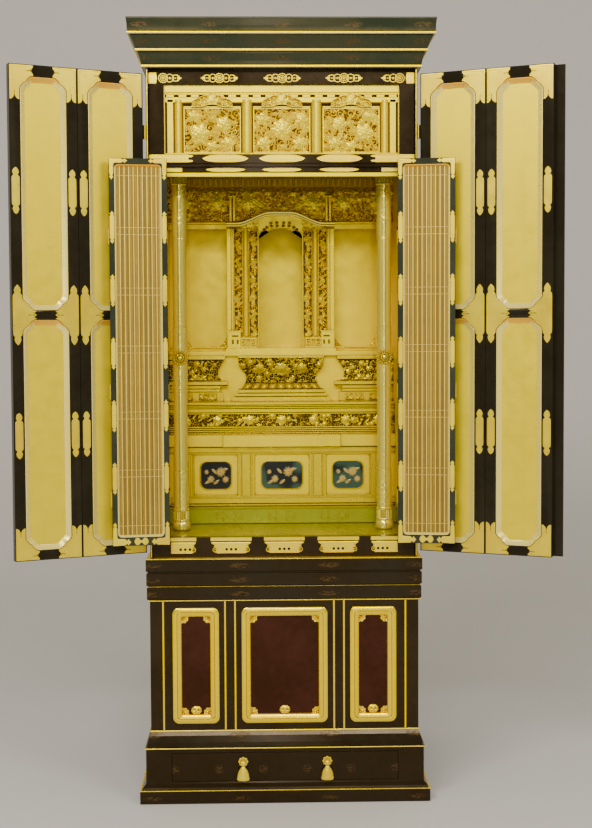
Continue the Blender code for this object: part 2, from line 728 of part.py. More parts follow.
def make_transom():
    """A black frame round a gilt board, with three carved panels under brackets and frog-leg struts."""
    top = TRANSOM_Z + TRANSOM_HEIGHT
    face = FRAME_RECESS + TRANSOM_SETBACK
    low = TRANSOM_Z + TRANSOM_SILL
    high = low + TRANSOM_PANEL_HEIGHT
    frame = box(
        "transom_frame",
        (-FRAME_HALF, deep(FRAME_RECESS), TRANSOM_Z),
        (FRAME_HALF, deep(FRAME_BACK), top),
        GILT,
    )
    board = box("transom_board", (-INNER_HALF, deep(FRAME_BACK) - 0.001, TRANSOM_Z), (INNER_HALF, deep(TRANSOM_BACK), top))
    join(frame, board)
    sunk = box("transom_sunk", (-OPENING_HALF, deep(0), TRANSOM_Z - 0.01), (OPENING_HALF, deep(face), top + 0.01))
    cut(frame, sunk)
    for index, (x0, x1) in enumerate(TRANSOM_BAYS):
        pocket = box(f"transom_pocket_{index}", (x0, deep(0), low), (x1, deep(TRANSOM_PANEL_BACK) + GAP, high))
        cut(frame, pocket)
        make_brackets(frame, index, x0, x1, high + BRACKET_RISE, face)
        make_frog_leg(frame, index, (x0 + x1) / 2, high + GAP, face)
    blooms = {
        "left": ((-0.45, -0.1, 0.42, 6), (0.40, 0.30, 0.34, 5), (0.55, -0.55, 0.30, 6), (-0.65, 0.65, 0.28, 5), (0.0, -0.7, 0.26, 5)),
        "centre": ((0.0, 0.05, 0.46, 8), (-0.68, 0.50, 0.30, 5), (0.68, 0.50, 0.30, 5), (-0.62, -0.55, 0.32, 6), (0.62, -0.55, 0.32, 6)),
        "right": ((0.45, -0.1, 0.42, 6), (-0.40, 0.30, 0.34, 5), (-0.55, -0.55, 0.30, 6), (0.65, 0.65, 0.28, 5), (0.0, -0.7, 0.26, 5)),
    }
    for (side, flowers), (x0, x1) in zip(blooms.items(), TRANSOM_BAYS):
        make_transom_panel(side, flowers, x0 + GAP, x1 - GAP, low + GAP, high - GAP)


def make_brackets(frame, index, x0, x1, z, face):
    """A row of gaps between small bracket arms, over one carved panel."""
    count = 7
    pitch = (x1 - x0) / count
    for slot in range(count):
        x = x0 + (slot + 0.5) * pitch
        if abs(x - (x0 + x1) / 2) < FROG_LEG_WIDTH / 2:
            continue
        gap = box(
            f"bracket_gap_{index}_{slot}",
            (x - BRACKET_GAP_WIDTH / 2, deep(0), z),
            (x + BRACKET_GAP_WIDTH / 2, deep(face + BRACKET_GAP_DEPTH), z + BRACKET_GAP_HEIGHT),
        )
        cut(frame, gap)


def make_frog_leg(frame, index, centre, foot, face):
    """A spreading strut with two curled feet, between the panel and the beam."""
    half = FROG_LEG_WIDTH / 2
    outline = []
    for step in range(9):
        t = step / 8 * 2 - 1
        outline.append((centre + half * t, foot + FROG_LEG_HEIGHT * (0.30 + 0.70 * (1 - abs(t)) ** 0.7)))
    outline += [(centre + half, foot), (centre + half * 0.55, foot), (centre, foot + FROG_LEG_HEIGHT * 0.22)]
    outline += [(centre - half * 0.55, foot), (centre - half, foot)]
    join(frame, prism(f"frog_leg_{index}", outline, "XZ", deep(face - FROG_LEG_RISE), deep(face + 0.004)))


def make_transom_panel(side, flowers, x0, x1, z0, z1):
    """Carved flowers and cloud swirls on a ground, with a plain rim."""
    cx, cz, half_x, half_z = (x0 + x1) / 2, (z0 + z1) / 2, (x1 - x0) / 2, (z1 - z0) / 2

    def surface(u, v):
        x, z = x0 + (x1 - x0) * u, z0 + (z1 - z0) * v
        a, b = (x - cx) / half_x, (z - cz) / half_z
        height = max(flower(a, b, *bloom) for bloom in flowers)
        cloud = 0.35 + 0.25 * math.sin(7 * a + 2.5 * math.sin(5 * b)) * math.cos(6 * b - a)
        rim = 0.5 if max(abs(a), abs(b)) > 0.96 else 0.0
        return x, deep(RELIEF_GROUND - RELIEF_RISE * max(height, cloud, rim)), z

    relief("transom_panel_" + side, TRANSOM_GRID, surface, TRANSOM_PANEL_BACK, GILT)


def make_column(side, sign):
    """A round column with fluted collars at its ends, engraved sleeves and a flower boss."""
    foot, head = SILL_Z + GAP, CEILING_Z - GAP
    collar, sleeve, plain = COLUMN_RADIUS + 0.0022, COLUMN_RADIUS + 0.0010, COLUMN_RADIUS
    low_collar = foot + COLUMN_CAP_HEIGHT
    low_sleeve = low_collar + COLUMN_COLLAR_HEIGHT
    boss = SILL_Z + BOSS_HEIGHT
    mid = COLUMN_MID_SLEEVE / 2
    collar_top = LINTEL_Z + LINTEL_STEPS[1]
    collar_foot = collar_top - COLUMN_COLLAR_HEIGHT
    levels = [
        (foot, plain + 0.001, 0),
        (foot + 0.3 * COLUMN_CAP_HEIGHT, plain + 0.0045, 0),
        (low_collar - 0.25 * COLUMN_CAP_HEIGHT, plain + 0.0045, 0),
        (low_collar, plain, 0),
        (low_collar + 0.001, collar, 1),
        (low_sleeve, collar, 1),
        (low_sleeve + 0.001, sleeve, 0),
        (low_sleeve + COLUMN_LOW_SLEEVE, sleeve, 0),
        (low_sleeve + COLUMN_LOW_SLEEVE + 0.001, plain, 0),
        (boss - mid, plain, 0),
        (boss - mid + 0.001, sleeve, 0),
        (boss + mid, sleeve, 0),
        (boss + mid + 0.001, plain, 0),
        (collar_foot - COLUMN_TOP_SLEEVE, plain, 0),
        (collar_foot - COLUMN_TOP_SLEEVE + 0.001, sleeve, 0),
        (collar_foot, sleeve, 0),
        (collar_foot + 0.001, collar, 1),
        (collar_top, collar, 1),
        (collar_top + 0.001, plain, 0),
        (head, plain, 0),
    ]
    x, y = sign * COLUMN_X, deep(COLUMN_DEPTH)
    rings = []
    for z, radius, fluted in levels:
        ring = []
        for index in range(COLUMN_SIDES):
            angle = math.tau * index / COLUMN_SIDES
            reach = radius * (1 - 0.08 * fluted * (index % 2))
            ring.append((x + reach * math.cos(angle), y + reach * math.sin(angle), z))
        rings.append(ring)
    column = loft("column_" + side, rings, GILT)
    petals = 8
    rim = []
    for index in range(2 * petals):
        angle = math.pi * index / petals
        reach = BOSS_RADIUS * (1 - 0.09 * (index % 2))
        rim.append((x + reach * math.cos(angle), boss + reach * math.sin(angle)))
    front = y - COLUMN_RADIUS
    rings = [[(px, y - COLUMN_RADIUS * 0.35, pz) for px, pz in rim]]
    for share, rise in ((1.0, 0.2), (0.86, 0.75), (0.45, 1.0)):
        rings.append([(x + (px - x) * share, front - BOSS_RISE * rise, boss + (pz - boss) * share) for px, pz in rim])
    join(column, loft(f"boss_{side}", rings))


def make_altar():
    """Step, cupboard front, shelf, banded plinth, dais, side tables and the palace's platform."""
    back = deep(WALL_BACK)
    step = box(
        "front_step",
        (-INNER_HALF, deep(STEP_FRONT), STEP_Z),
        (INNER_HALF, back, STEP_Z + STEP_HEIGHT),
        GILT,
    )
    nosing = step.modifiers.new("nosing", "BEVEL")
    nosing.width = 0.0015
    nosing.segments = 1
    make_cupboard()
    half, out = SHELF_CENTRE_HALF, SHELF_FRONT
    inn = SHELF_FRONT + SHELF_STEP
    outline = [(-INNER_HALF, deep(inn)), (-half, deep(inn)), (-half, deep(out)), (half, deep(out)), (half, deep(inn)), (INNER_HALF, deep(inn))]
    outline += [(INNER_HALF, back), (-INNER_HALF, back)]
    prism("altar_shelf", outline, "XY", SHELF_Z, SHELF_Z + SHELF_HEIGHT, GILT)
    make_bands()
    make_dais()
    for side, sign in (("left", -1), ("right", 1)):
        make_side_table(side, sign)
    low, high = PLATFORM_Z, PLATFORM_Z + PLATFORM_HEIGHT
    side_top = high - PLATFORM_STEP
    centre = PLATFORM_CENTRE_HALF
    outline = [(-INNER_HALF, low), (INNER_HALF, low), (INNER_HALF, side_top), (centre, side_top), (centre, high), (-centre, high)]
    outline += [(-centre, side_top), (-INNER_HALF, side_top)]
    prism("palace_platform", outline, "XZ", deep(PLATFORM_FRONT), back, GILT)


def make_cupboard():
    """A front board with three sunk fields, each holding an inset panel with cut corners."""
    front = CUPBOARD_FRONT
    board = box(
        "cupboard_front",
        (-INNER_HALF, deep(front), CUPBOARD_Z),
        (INNER_HALF, deep(front + CUPBOARD_THICK), CUPBOARD_Z + CUPBOARD_HEIGHT),
        GILT,
    )
    for side, (centre, field, inset) in zip(("left", "centre", "right"), CUPBOARD_BAYS):
        low, high = (CUPBOARD_Z + z for z in BAY_FIELD_Z)
        cut(board, box("cupboard_field_" + side, (centre - field, deep(front) - 0.01, low), (centre + field, deep(front + BAY_SINK), high)))
        low, high = (CUPBOARD_Z + z for z in INSET_Z)
        hole = rounded((centre - inset, low), (centre + inset, high), INSET_CORNER)
        cut(board, prism("cupboard_hole_" + side, hole, "XZ", deep(front) - 0.01, deep(front + CUPBOARD_THICK) + 0.01))
        panel = rounded((centre - inset + GAP, low + GAP), (centre + inset - GAP, high - GAP), INSET_CORNER - GAP)
        prism("cupboard_inset_" + side, panel, "XZ", deep(front + BAY_SINK + 0.001), deep(front + CUPBOARD_THICK), LACQUER)


def make_bands():
    """A stepped plinth: plain lines, a band of carved lobes, a gilt band and more lines."""
    steps = [
        (0.0000, 0.000),
        (0.0070, 0.000),
        (0.0070, 0.003),
        (0.0166, 0.003),
        (0.0166, 0.008),
        (0.0486, 0.008),
        (0.0486, 0.001),
        (0.0616, 0.001),
        (0.0616, -0.003),
        (0.0686, -0.003),
        (0.0686, 0.001),
        (BANDS_HEIGHT, 0.001),
    ]
    outline = [(deep(BANDS_FRONT + depth), BANDS_Z + height) for height, depth in steps]
    outline += [(deep(WALL_BACK), BANDS_Z + BANDS_HEIGHT), (deep(WALL_BACK), BANDS_Z)]
    bands = prism("altar_bands", outline, "YZ", -INNER_HALF, INNER_HALF, GILT)
    low, high = BANDS_Z + 0.0195, BANDS_Z + 0.0460
    half = INNER_HALF - 0.002
    lobes = 12

    def surface(u, v):
        x = -half + 2 * half * u
        rise = 0.3 + 0.7 * wave(u, 1 / lobes) * math.sin(math.pi * v)
        return x, deep(BANDS_FRONT + 0.0075 - 0.007 * rise), low + (high - low) * v

    join(bands, relief("carved_band", (3 * lobes, 2), surface, BANDS_FRONT + 0.012))


def make_dais():
    """A waisted dais: lotus petals over and under a narrow neck, between stepped slabs."""
    shares = [(0.0, 1.0), (0.185, 1.0), (0.20, 0.93), (0.34, 0.87), (0.37, 0.74), (0.53, 0.70), (0.60, 0.74), (0.72, 0.80), (0.94, 0.865), (1.0, 0.865)]

    def half_at(v):
        place = v * (len(shares) - 1)
        index = min(int(place), len(shares) - 2)
        (z0, h0), (z1, h1) = shares[index], shares[index + 1]
        part = place - index
        return z0 + (z1 - z0) * part, DAIS_HALF * (h0 + (h1 - h0) * part)

    def surface(u, v):
        height, half = half_at(v)
        x = half * (2 * u - 1)
        petal = 0.004 * wave(u, 1 / 8) if 0.2 < height < 0.35 or 0.55 < height < 0.93 else 0.0
        return x, deep(DAIS_FRONT + 0.6 * (DAIS_HALF - half) - petal), DAIS_Z + DAIS_HEIGHT * height

    relief("dais_centre", (16, len(shares) - 1), surface, WALL_BACK, GILT)


def make_side_table(side, sign):
    """A table beside the dais: a base, a projecting slab and a carved upper part."""
    levels = [(0.0, 0.0, 0.0), (0.20, 0.0, 0.0), (0.205, -0.5, 0.004), (0.345, -0.5, 0.004)]
    levels += [(0.35, -1.0, -0.003), (0.45, -1.0, -0.003), (0.455, 0.0, 0.003), (0.91, 0.0, 0.003), (0.92, -0.3, -0.001), (1.0, -0.3, -0.001)]

    def surface(u, v):
        height, out, set_back = levels[round(v * (len(levels) - 1))]
        inner = TABLE_INNER + out * TABLE_SLAB_OUT
        x = inner + (INNER_HALF - inner) * u
        carved = 0.005 * wave(u, 1 / 5) if 0.45 < height < 0.92 else 0.0
        return sign * x, deep(DAIS_FRONT + 0.004 + set_back - carved), DAIS_Z + DAIS_HEIGHT * height

    relief("side_table_" + side, (10, len(levels) - 1), surface, WALL_BACK, GILT)


def beam_top(x):
    """Top of the cusped beam: it rises from the side beams to a flat centre."""
    share = (abs(x) - CUSP_FLAT) / (CUSP_HALF - CUSP_FLAT)
    return BEAM_TOP + CUSP_RISE * (1 - smooth(share))


def niche_arch(top):
    """Right half of the niche's cusped arch, from its springing to its crown."""
    r = NICHE_SHOULDER
    centre = (NICHE_HALF - r, top - r - 0.006)
    points = [(centre[0] + r * math.cos(a), centre[1] + r * math.sin(a)) for a in (0.0, 0.52, 1.05, 1.57)]
    points += [(NICHE_HALF - r - 0.004, top - 0.009), (0.018, top - 0.003), (0.0, top)]
    return points


def make_palace():
    """Pierced screen with the niche, frieze over it, niche shell, side bay panels and the gilt wall."""
    front, back = deep(SCREEN_FRONT), deep(SCREEN_FRONT + SCREEN_THICK)
    arch = niche_arch(BEAM_TOP - NICHE_BELOW_BEAM)
    side_low = BEAM_TOP - SIDE_BEAM_HEIGHT
    right = [(NICHE_HALF, SCREEN_Z), (SCREEN_HALF, SCREEN_Z), (SCREEN_HALF, side_low), (INNER_HALF, side_low), (INNER_HALF, BEAM_TOP)]
    steps = 8
    right += [(CUSP_HALF - (CUSP_HALF - CUSP_FLAT) * i / steps, 0) for i in range(steps + 1)]
    right = [(x, z if z else beam_top(x)) for x, z in right]
    left = [(-x, z) for x, z in reversed(right)]
    opening = [(-x, z) for x, z in arch] + [(x, z) for x, z in reversed(arch[:-1])]
    screen = prism("palace_screen", right + left + opening, "XZ", front, back, GILT)
    for sign in (-1, 1):
        for label, (inner, outer) in (("strip", CARVED_STRIP), ("column", CARVED_COLUMN)):
            join(screen, make_climbing_carving(f"carved_{label}_{sign}", sign, inner, outer))
        inner, outer = sign * (SCREEN_HALF - 0.019), sign * SCREEN_HALF
        base = box(
            f"pillar_base_{sign}",
            (min(inner, outer), front - CARVING_RISE, SCREEN_Z),
            (max(inner, outer), front + 0.002, SCREEN_Z + PILLAR_BASE_HEIGHT),
        )
        join(screen, base)
    make_frieze()
    wall_foot = SCREEN_Z
    outer = NICHE_INNER + NICHE_WALL
    y0, y1 = deep(FRIEZE_FRONT + FRIEZE_THICK) + GAP, deep(NICHE_BACK)
    outline = [(-outer, y0), (-NICHE_INNER, y0), (-NICHE_INNER, y1), (NICHE_INNER, y1), (NICHE_INNER, y0), (outer, y0)]
    outline += [(outer, y1 + NICHE_WALL), (-outer, y1 + NICHE_WALL)]
    prism("niche_shell", outline, "XY", wall_foot, CEILING_Z - GAP, GILT)
    for side, sign in (("left", -1), ("right", 1)):
        near, far = sign * (outer + GAP), sign * INNER_HALF
        panel = box(
            "side_bay_" + side,
            (min(near, far), deep(BAY_BACK), SCREEN_Z),
            (max(near, far), deep(BAY_BACK + BAY_PANEL_THICK), CEILING_Z - GAP),
            GILT,
        )
        skirt_near = sign * (PLATFORM_CENTRE_HALF + GAP)
        skirt = box(
            f"bay_skirt_{side}",
            (min(skirt_near, far), deep(BAY_BACK), BAY_Z),
            (max(skirt_near, far), deep(BAY_BACK + BAY_PANEL_THICK), SCREEN_Z + 0.001),
        )
        join(panel, skirt)
    box(
        "gilt_back_wall",
        (-INNER_HALF, deep(WALL_FRONT), SILL_Z + GAP),
        (INNER_HALF, deep(WALL_FRONT + WALL_THICK), CEILING_Z - GAP),
        GILT,
    )


def make_climbing_carving(name, sign, inner, outer):
    """A strip of carving: lobes that wind from side to side as they climb."""
    low, high = SCREEN_Z + 0.004, BEAM_TOP - SIDE_BEAM_HEIGHT
    turns = 7

    def surface(u, v):
        sway = 0.5 + 0.28 * math.sin(math.tau * turns * v / 2)
        body = math.exp(-(((u - sway) / 0.30) ** 2))
        x = inner + (outer - inner) * u
        return sign * x, deep(SCREEN_FRONT - CARVING_RISE * (0.35 + 0.65 * body)), low + (high - low) * v

    return relief(name, (3, 2 * turns), surface, SCREEN_FRONT + 0.004)


def make_frieze():
    """The carved frieze over the palace: flowers among clouds, following the cusped beam below."""
    pitch = 2 * INNER_HALF / 7

    def surface(u, v):
        x = -INNER_HALF + 2 * INNER_HALF * u
        low = beam_top(x) + (CUSP_CLEAR if abs(x) < CUSP_HALF else GAP)
        high = CEILING_Z - GAP
        z = low + (high - low) * v
        centre = (round(x / pitch)) * pitch
        middle = BEAM_TOP + 0.45 * FRIEZE_HEIGHT
        height = flower(x, z, centre, middle, 0.036, 5)
        cloud = 0.40 + 0.30 * math.sin(90 * x + 2 * math.sin(110 * z)) * math.cos(95 * z)
        shade = 1 - smooth((v - 0.68) / 0.12)
        return x, deep(FRIEZE_FRONT - FRIEZE_RISE * shade * max(height, cloud)), z

    relief("palace_frieze", (32, 5), surface, FRIEZE_FRONT + FRIEZE_THICK, GILT)


def empty_at(name, place, turn, parent=None):
    """An empty on a hinge's axis, turned by the angle that the hinge stands at."""
    pin = bpy.data.objects.new(name, None)
    pin.rotation_euler = (0, 0, math.radians(turn))
    pin.location = place
    if parent:
        pin.parent = parent
    parts.objects.link(pin)
    return pin


def hang(pin, pin_place, objects):
    """Hang shapes made in the closed position on their hinge's empty."""
    for obj in objects:
        obj.parent = pin
        obj.location = Vector(obj.location) - Vector(pin_place)


def panel_cutter(name, low, high, corner, face, into, bevel, bevel_depth, through):
    """A cutter for a framed opening: its sides slope by the bevel, then run straight through."""
    over = 0.001
    slope = bevel * (1 + over / bevel_depth)
    rings = []
    for grow, depth in ((slope, -over), (0.0, bevel_depth), (0.0, through)):
        ring = rounded((low[0] - grow, low[1] - grow), (high[0] + grow, high[1] + grow), corner + grow)
        rings.append([(x, face + into * depth, z) for x, z in ring])
    return loft(name, rings)


def barrel(name, place, z, radius, length=HINGE_LENGTH):
    """A hinge's barrel on an upright pin."""
    bm = bmesh.new()
    bmesh.ops.create_cone(bm, cap_ends=True, segments=HINGE_SIDES, radius1=radius, radius2=radius, depth=length)
    return add_object(name, bm, None, (place[0], place[1], z))


def hinge_heights(low, high, shares):
    return [low + (high - low) * share for share in shares]


def add_fold_hinges(first, second, place, heights):
    """Barrels let into the edge of one leaf, in notches in the edge of the other."""
    fixed, free = [], []
    for index, z in enumerate(heights):
        pin = barrel(f"{first.name}_fold_barrel_{index}", place, z, FOLD_HINGE_RADIUS)
        join(first, pin)
        fixed.append(pin)
        room = barrel(f"{second.name}_fold_notch_{index}", place, z, FOLD_HINGE_RADIUS + 2 * GAP, HINGE_LENGTH + 2 * GAP)
        cut(second, room)
        free.append(room)
    return fixed, free


def add_door_hinges(frame, sign, pin, inner_face, hinge_edge, heights):
    """Barrels beside the cabinet's side, each on a cranked plate let into the leaf's hinge edge."""
    radius = DOOR_PIN_OUT - GAP
    added = []
    for index, z in enumerate(heights):
        clear = BODY_HALF + 2 * GAP
        outline = [
            (hinge_edge - 0.001, inner_face - HINGE_LAP),
            (clear + HINGE_PLATE, inner_face - HINGE_LAP),
            (clear + HINGE_PLATE, pin[1]),
            (clear, pin[1]),
            (clear, inner_face - GAP),
            (hinge_edge - 0.001, inner_face - GAP),
        ]
        start, end = z - HINGE_LENGTH / 2, z + HINGE_LENGTH / 2
        plate = prism(f"{frame.name}_hinge_plate_{index}", [(sign * x, y) for x, y in outline], "XY", start, end)
        tube = barrel(f"{frame.name}_hinge_barrel_{index}", pin, z, radius)
        join(frame, plate)
        join(frame, tube)
        added += [plate, tube]
    return added


def add_lattice_hinges(frame, side, sign, pin, face, hinge_edge, heights):
    """Barrels in front of the leaf on small plates, and brackets on the post that reach to the same pins."""
    radius = LATTICE_HINGE_RADIUS
    added = []
    post = bpy.data.objects["front_post_" + side]
    y0, y1 = pin[1] - 0.0015, pin[1] + 0.0015
    x = abs(pin[0])
    post_x = OPENING_HALF + GAP
    for index, z in enumerate(heights):
        outline = [
            (hinge_edge - 0.0035, y0),
            (x, y0),
            (x, y1),
            (hinge_edge - 0.001, y1),
            (hinge_edge - 0.001, face + 0.001),
            (hinge_edge - 0.0035, face + 0.001),
        ]
        start, end = z - HINGE_LENGTH / 2, z + HINGE_LENGTH / 2
        plate = prism(f"{frame.name}_hinge_plate_{index}", [(sign * a, b) for a, b in outline], "XY", start, end)
        tube = barrel(f"{frame.name}_hinge_barrel_{index}", pin, z, radius)
        join(frame, plate)
        join(frame, tube)
        added += [plate, tube]
        outline = [(x, y0), (post_x + HINGE_PLATE, y0), (post_x + HINGE_PLATE, deep(FRAME_RECESS) + 0.001)]
        outline += [(post_x, deep(FRAME_RECESS) + 0.001), (post_x, y1), (x, y1)]
        start = end + GAP
        arm = prism(f"post_{side}_arm_{index}", [(sign * a, b) for a, b in outline], "XY", start, start + BRACKET_ARM_HEIGHT)
        join(post, arm)
        join(post, barrel(f"post_{side}_knuckle_{index}", pin, start + BRACKET_ARM_HEIGHT / 2, radius, BRACKET_ARM_HEIGHT))
    return added


def make_outer_doors():
    """Two hinged pairs of leaves. Each is a black frame round one long board, gilt inside."""
    hinge_edge = BODY_HALF - DOOR_EDGE
    width = (hinge_edge - LEAF_GAP / 2 - LEAF_GAP) / 2
    low, high = BODY_Z + DOOR_LOW, CROWN_Z - DOOR_TOP_LOW
    inner_face = deep(-DOOR_CLEAR)
    outer_face = inner_face - DOOR_THICK
    for side, sign in (("left", -1), ("right", 1)):
        pin = (sign * (BODY_HALF + DOOR_PIN_OUT), deep(DOOR_PIN_BACK), 0)
        fold = (sign * (hinge_edge - width - LEAF_GAP / 2), outer_face - FOLD_PROUD, 0)
        first = empty_at(f"door_{side}_hinge", pin, sign * DOOR_OPEN)
        second = empty_at(f"door_{side}_fold", Vector(fold) - Vector(pin), 0, first)
        inner = make_outer_leaf(f"door_{side}_inner", sign, hinge_edge, width, low, high, inner_face, outer_face)
        free_start = hinge_edge - width - LEAF_GAP
        outer = make_outer_leaf(f"door_{side}_outer", sign, free_start, width, low, high, inner_face, outer_face)
        heights = hinge_heights(low, high, DOOR_HINGES)
        inner += add_door_hinges(inner[0], sign, pin, inner_face, hinge_edge, heights)
        fixed, free = add_fold_hinges(inner[0], outer[0], fold, heights)
        if side == "right":
            outer.append(add_astragal(outer[0], outer_face, low, high))
        hang(first, pin, inner + fixed)
        hang(second, fold, outer + free)


def make_outer_leaf(name, sign, edge, width, low, high, inner_face, outer_face):
    """One leaf in its closed place: the frame, its board and the shapes that cut the frame."""
    x0, x1 = sorted((sign * edge, sign * (edge - width)))
    frame = box(name + "_frame", (x0, outer_face, low), (x1, inner_face, high), LACQUER)
    left, right = x0 + DOOR_STILE, x1 - DOOR_STILE
    bottom, top = low + DOOR_BOTTOM_RAIL, high - DOOR_TOP_RAIL
    middle = (bottom + top) / 2 - DOOR_MID_LOW
    shapes = [frame]
    for label, z0, z1 in (("lower", bottom, middle - DOOR_MID_RAIL / 2), ("upper", middle + DOOR_MID_RAIL / 2, top)):
        cutter = panel_cutter(
            f"{name}_{label}_hole",
            (left, z0),
            (right, z1),
            DOOR_CORNER,
            inner_face,
            -1,
            DOOR_BEVEL,
            DOOR_BEVEL,
            DOOR_PANEL_SINK + 0.001,
        )
        cut(frame, cutter)
        shapes.append(cutter)
    pocket_face = inner_face - DOOR_PANEL_SINK
    tongue = DOOR_TONGUE
    pocket = box(
        name + "_pocket",
        (left - tongue, outer_face - 0.01, bottom - tongue),
        (right + tongue, pocket_face, top + tongue),
    )
    cut(frame, pocket)
    play = GAP
    panel = box(
        name + "_panel",
        (left - tongue + play, pocket_face - play - DOOR_PANEL_THICK, bottom - tongue + play),
        (right + tongue - play, pocket_face - play, top + tongue - play),
        PALE_GILT,
    )
    return shapes + [pocket, panel]


def add_astragal(frame, outer_face, low, high):
    """A cover strip on the outside of the right pair, which laps over the left pair when shut."""
    free_edge = LEAF_GAP / 2
    inside = free_edge + 0.0002
    face = outer_face - GAP
    outline = [
        (free_edge - ASTRAGAL_REACH, face - ASTRAGAL_THICK),
        (free_edge + ASTRAGAL_LAP, face - ASTRAGAL_THICK),
        (free_edge + ASTRAGAL_LAP, outer_face + 0.001),
        (inside, outer_face + 0.001),
        (inside, face),
        (free_edge - ASTRAGAL_REACH, face),
    ]
    strip = prism("door_cover_strip", outline, "XY", low + 0.0005, high - 0.0005)
    join(frame, strip)
    return strip


def make_lattice_doors():
    """Two hinged pairs of lattice leaves, folded open in front of each other."""
    hinge_edge = BODY_HALF - LATTICE_INSET
    width = (hinge_edge - LEAF_GAP / 2 - LEAF_GAP) / 2
    low, high = SILL_Z - LATTICE_LOW, LINTEL_TOP - LATTICE_TOP_LOW
    face = deep(LATTICE_SETBACK)
    back = face + LATTICE_THICK
    for side, sign in (("left", -1), ("right", 1)):
        pin = (sign * (hinge_edge + LATTICE_PIN_OUT), face - LATTICE_PIN_FRONT, 0)
        fold = (sign * (hinge_edge - width - LEAF_GAP / 2), back + FOLD_PROUD, 0)
        first = empty_at(f"lattice_{side}_hinge", pin, sign * LATTICE_OPEN)
        second = empty_at(f"lattice_{side}_fold", Vector(fold) - Vector(pin), -sign * 180, first)
        inner = make_lattice_leaf(f"lattice_{side}_inner", sign, hinge_edge, width, low, high, face, back)
        free_start = hinge_edge - width - LEAF_GAP
        outer = make_lattice_leaf(f"lattice_{side}_outer", sign, free_start, width, low, high, face, back)
        heights = hinge_heights(low, high, LATTICE_HINGES)
        inner += add_lattice_hinges(inner[0], side, sign, pin, face, hinge_edge, heights)
        fixed, free = add_fold_hinges(inner[0], outer[0], fold, heights)
        hang(first, pin, inner + fixed)
        hang(second, fold, outer + free)


def make_lattice_leaf(name, sign, edge, width, low, high, face, back):
    """One lattice leaf in its closed place: a bevelled frame round a sheet with upright bars."""
    x0, x1 = sorted((sign * edge, sign * (edge - width)))
    frame = box(name, (x0, face, low), (x1, back, high), COPPER_GILT)
    left, right = x0 + LATTICE_STILE + LATTICE_BEVEL, x1 - LATTICE_STILE - LATTICE_BEVEL
    bottom, top = low + LATTICE_RAIL, high - LATTICE_RAIL
    hole = panel_cutter(
        name + "_hole",
        (left, bottom),
        (right, top),
        0.004,
        face,
        1,
        LATTICE_BEVEL,
        LATTICE_BEVEL_DEPTH,
        LATTICE_THICK + 0.01,
    )
    cut(frame, hole)
    sheet_back, sheet_front = back - 0.001, back - 0.001 - LATTICE_SHEET
    lap = 0.003
    pitch = (right - left) / LATTICE_BARS
    outline = [(left - lap, sheet_back), (left - lap, sheet_front)]
    for bar in range(LATTICE_BARS):
        centre = left + (bar + 0.5) * pitch
        for dx, rise in ((-1, 0), (-1, 1), (1, 1), (1, 0)):
            outline.append((centre + dx * LATTICE_BAR_WIDTH / 2, sheet_front - rise * LATTICE_BAR_RISE))
    outline += [(right + lap, sheet_front), (right + lap, sheet_back)]
    grille = prism(name + "_grille", outline, "XY", bottom - lap, top + lap)
    join(frame, grille)
    return [frame, hole, grille]


def main():
    global parts, tools
    for obj in list(bpy.data.objects):
        bpy.data.objects.remove(obj)
    parts = bpy.data.collections.new("buddhist_home_altar")
    tools = bpy.data.collections.new("cutters_and_blocks")
    bpy.context.scene.collection.children.link(parts)
    bpy.context.scene.collection.children.link(tools)
    make_stand()
    make_cabinet()
    make_transom()
    for side, sign in (("left", -1), ("right", 1)):
        make_column(side, sign)
    make_altar()
    make_palace()
    make_outer_doors()
    make_lattice_doors()


main()
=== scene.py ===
"""Buddhist home altar: lacquer, gold leaf, fittings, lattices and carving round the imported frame.

Units are metres, +Z is up and the altar faces -Y. Every new piece is a surface worked out with numpy.
Most shapes are laid out flat, as x, z and a height h off a face, and a surface function then puts
that flat drawing on its real face, which for a door leaf is turned about its hinge.
"""

import json
import math

import bpy
import numpy as np
from mathutils import Matrix, Vector

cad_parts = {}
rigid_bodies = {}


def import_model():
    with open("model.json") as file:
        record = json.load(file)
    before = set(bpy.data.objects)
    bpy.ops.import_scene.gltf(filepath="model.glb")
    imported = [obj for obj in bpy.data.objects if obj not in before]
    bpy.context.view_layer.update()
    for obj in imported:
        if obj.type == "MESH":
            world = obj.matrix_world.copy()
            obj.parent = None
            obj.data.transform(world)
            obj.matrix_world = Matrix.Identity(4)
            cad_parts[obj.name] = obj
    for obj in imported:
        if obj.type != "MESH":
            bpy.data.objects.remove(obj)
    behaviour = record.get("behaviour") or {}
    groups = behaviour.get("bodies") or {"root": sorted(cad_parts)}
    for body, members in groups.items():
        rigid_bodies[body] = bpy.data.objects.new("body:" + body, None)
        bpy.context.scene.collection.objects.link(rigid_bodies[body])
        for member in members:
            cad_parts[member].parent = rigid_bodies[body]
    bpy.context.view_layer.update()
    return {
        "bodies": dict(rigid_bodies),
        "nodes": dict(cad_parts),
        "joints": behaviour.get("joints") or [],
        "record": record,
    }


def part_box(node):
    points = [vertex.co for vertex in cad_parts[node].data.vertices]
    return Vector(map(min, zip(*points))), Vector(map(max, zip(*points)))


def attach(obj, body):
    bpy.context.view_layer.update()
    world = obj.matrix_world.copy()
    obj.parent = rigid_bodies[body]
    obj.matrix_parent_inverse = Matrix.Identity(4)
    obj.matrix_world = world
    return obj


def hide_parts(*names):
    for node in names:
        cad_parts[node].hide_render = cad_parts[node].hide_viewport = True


bl_info = {
    "name": "Buddhist home altar",
    "version": (1, 0, 0),
    "blender": (4, 5, 0),
    "location": "3D View > Sidebar > Altar",
    "description": "Lacquer, gold leaf, fittings, lattices and carving of a home altar",
    "category": "Add Mesh",
}

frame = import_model()


def node_low(node):
    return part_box(node)[0]


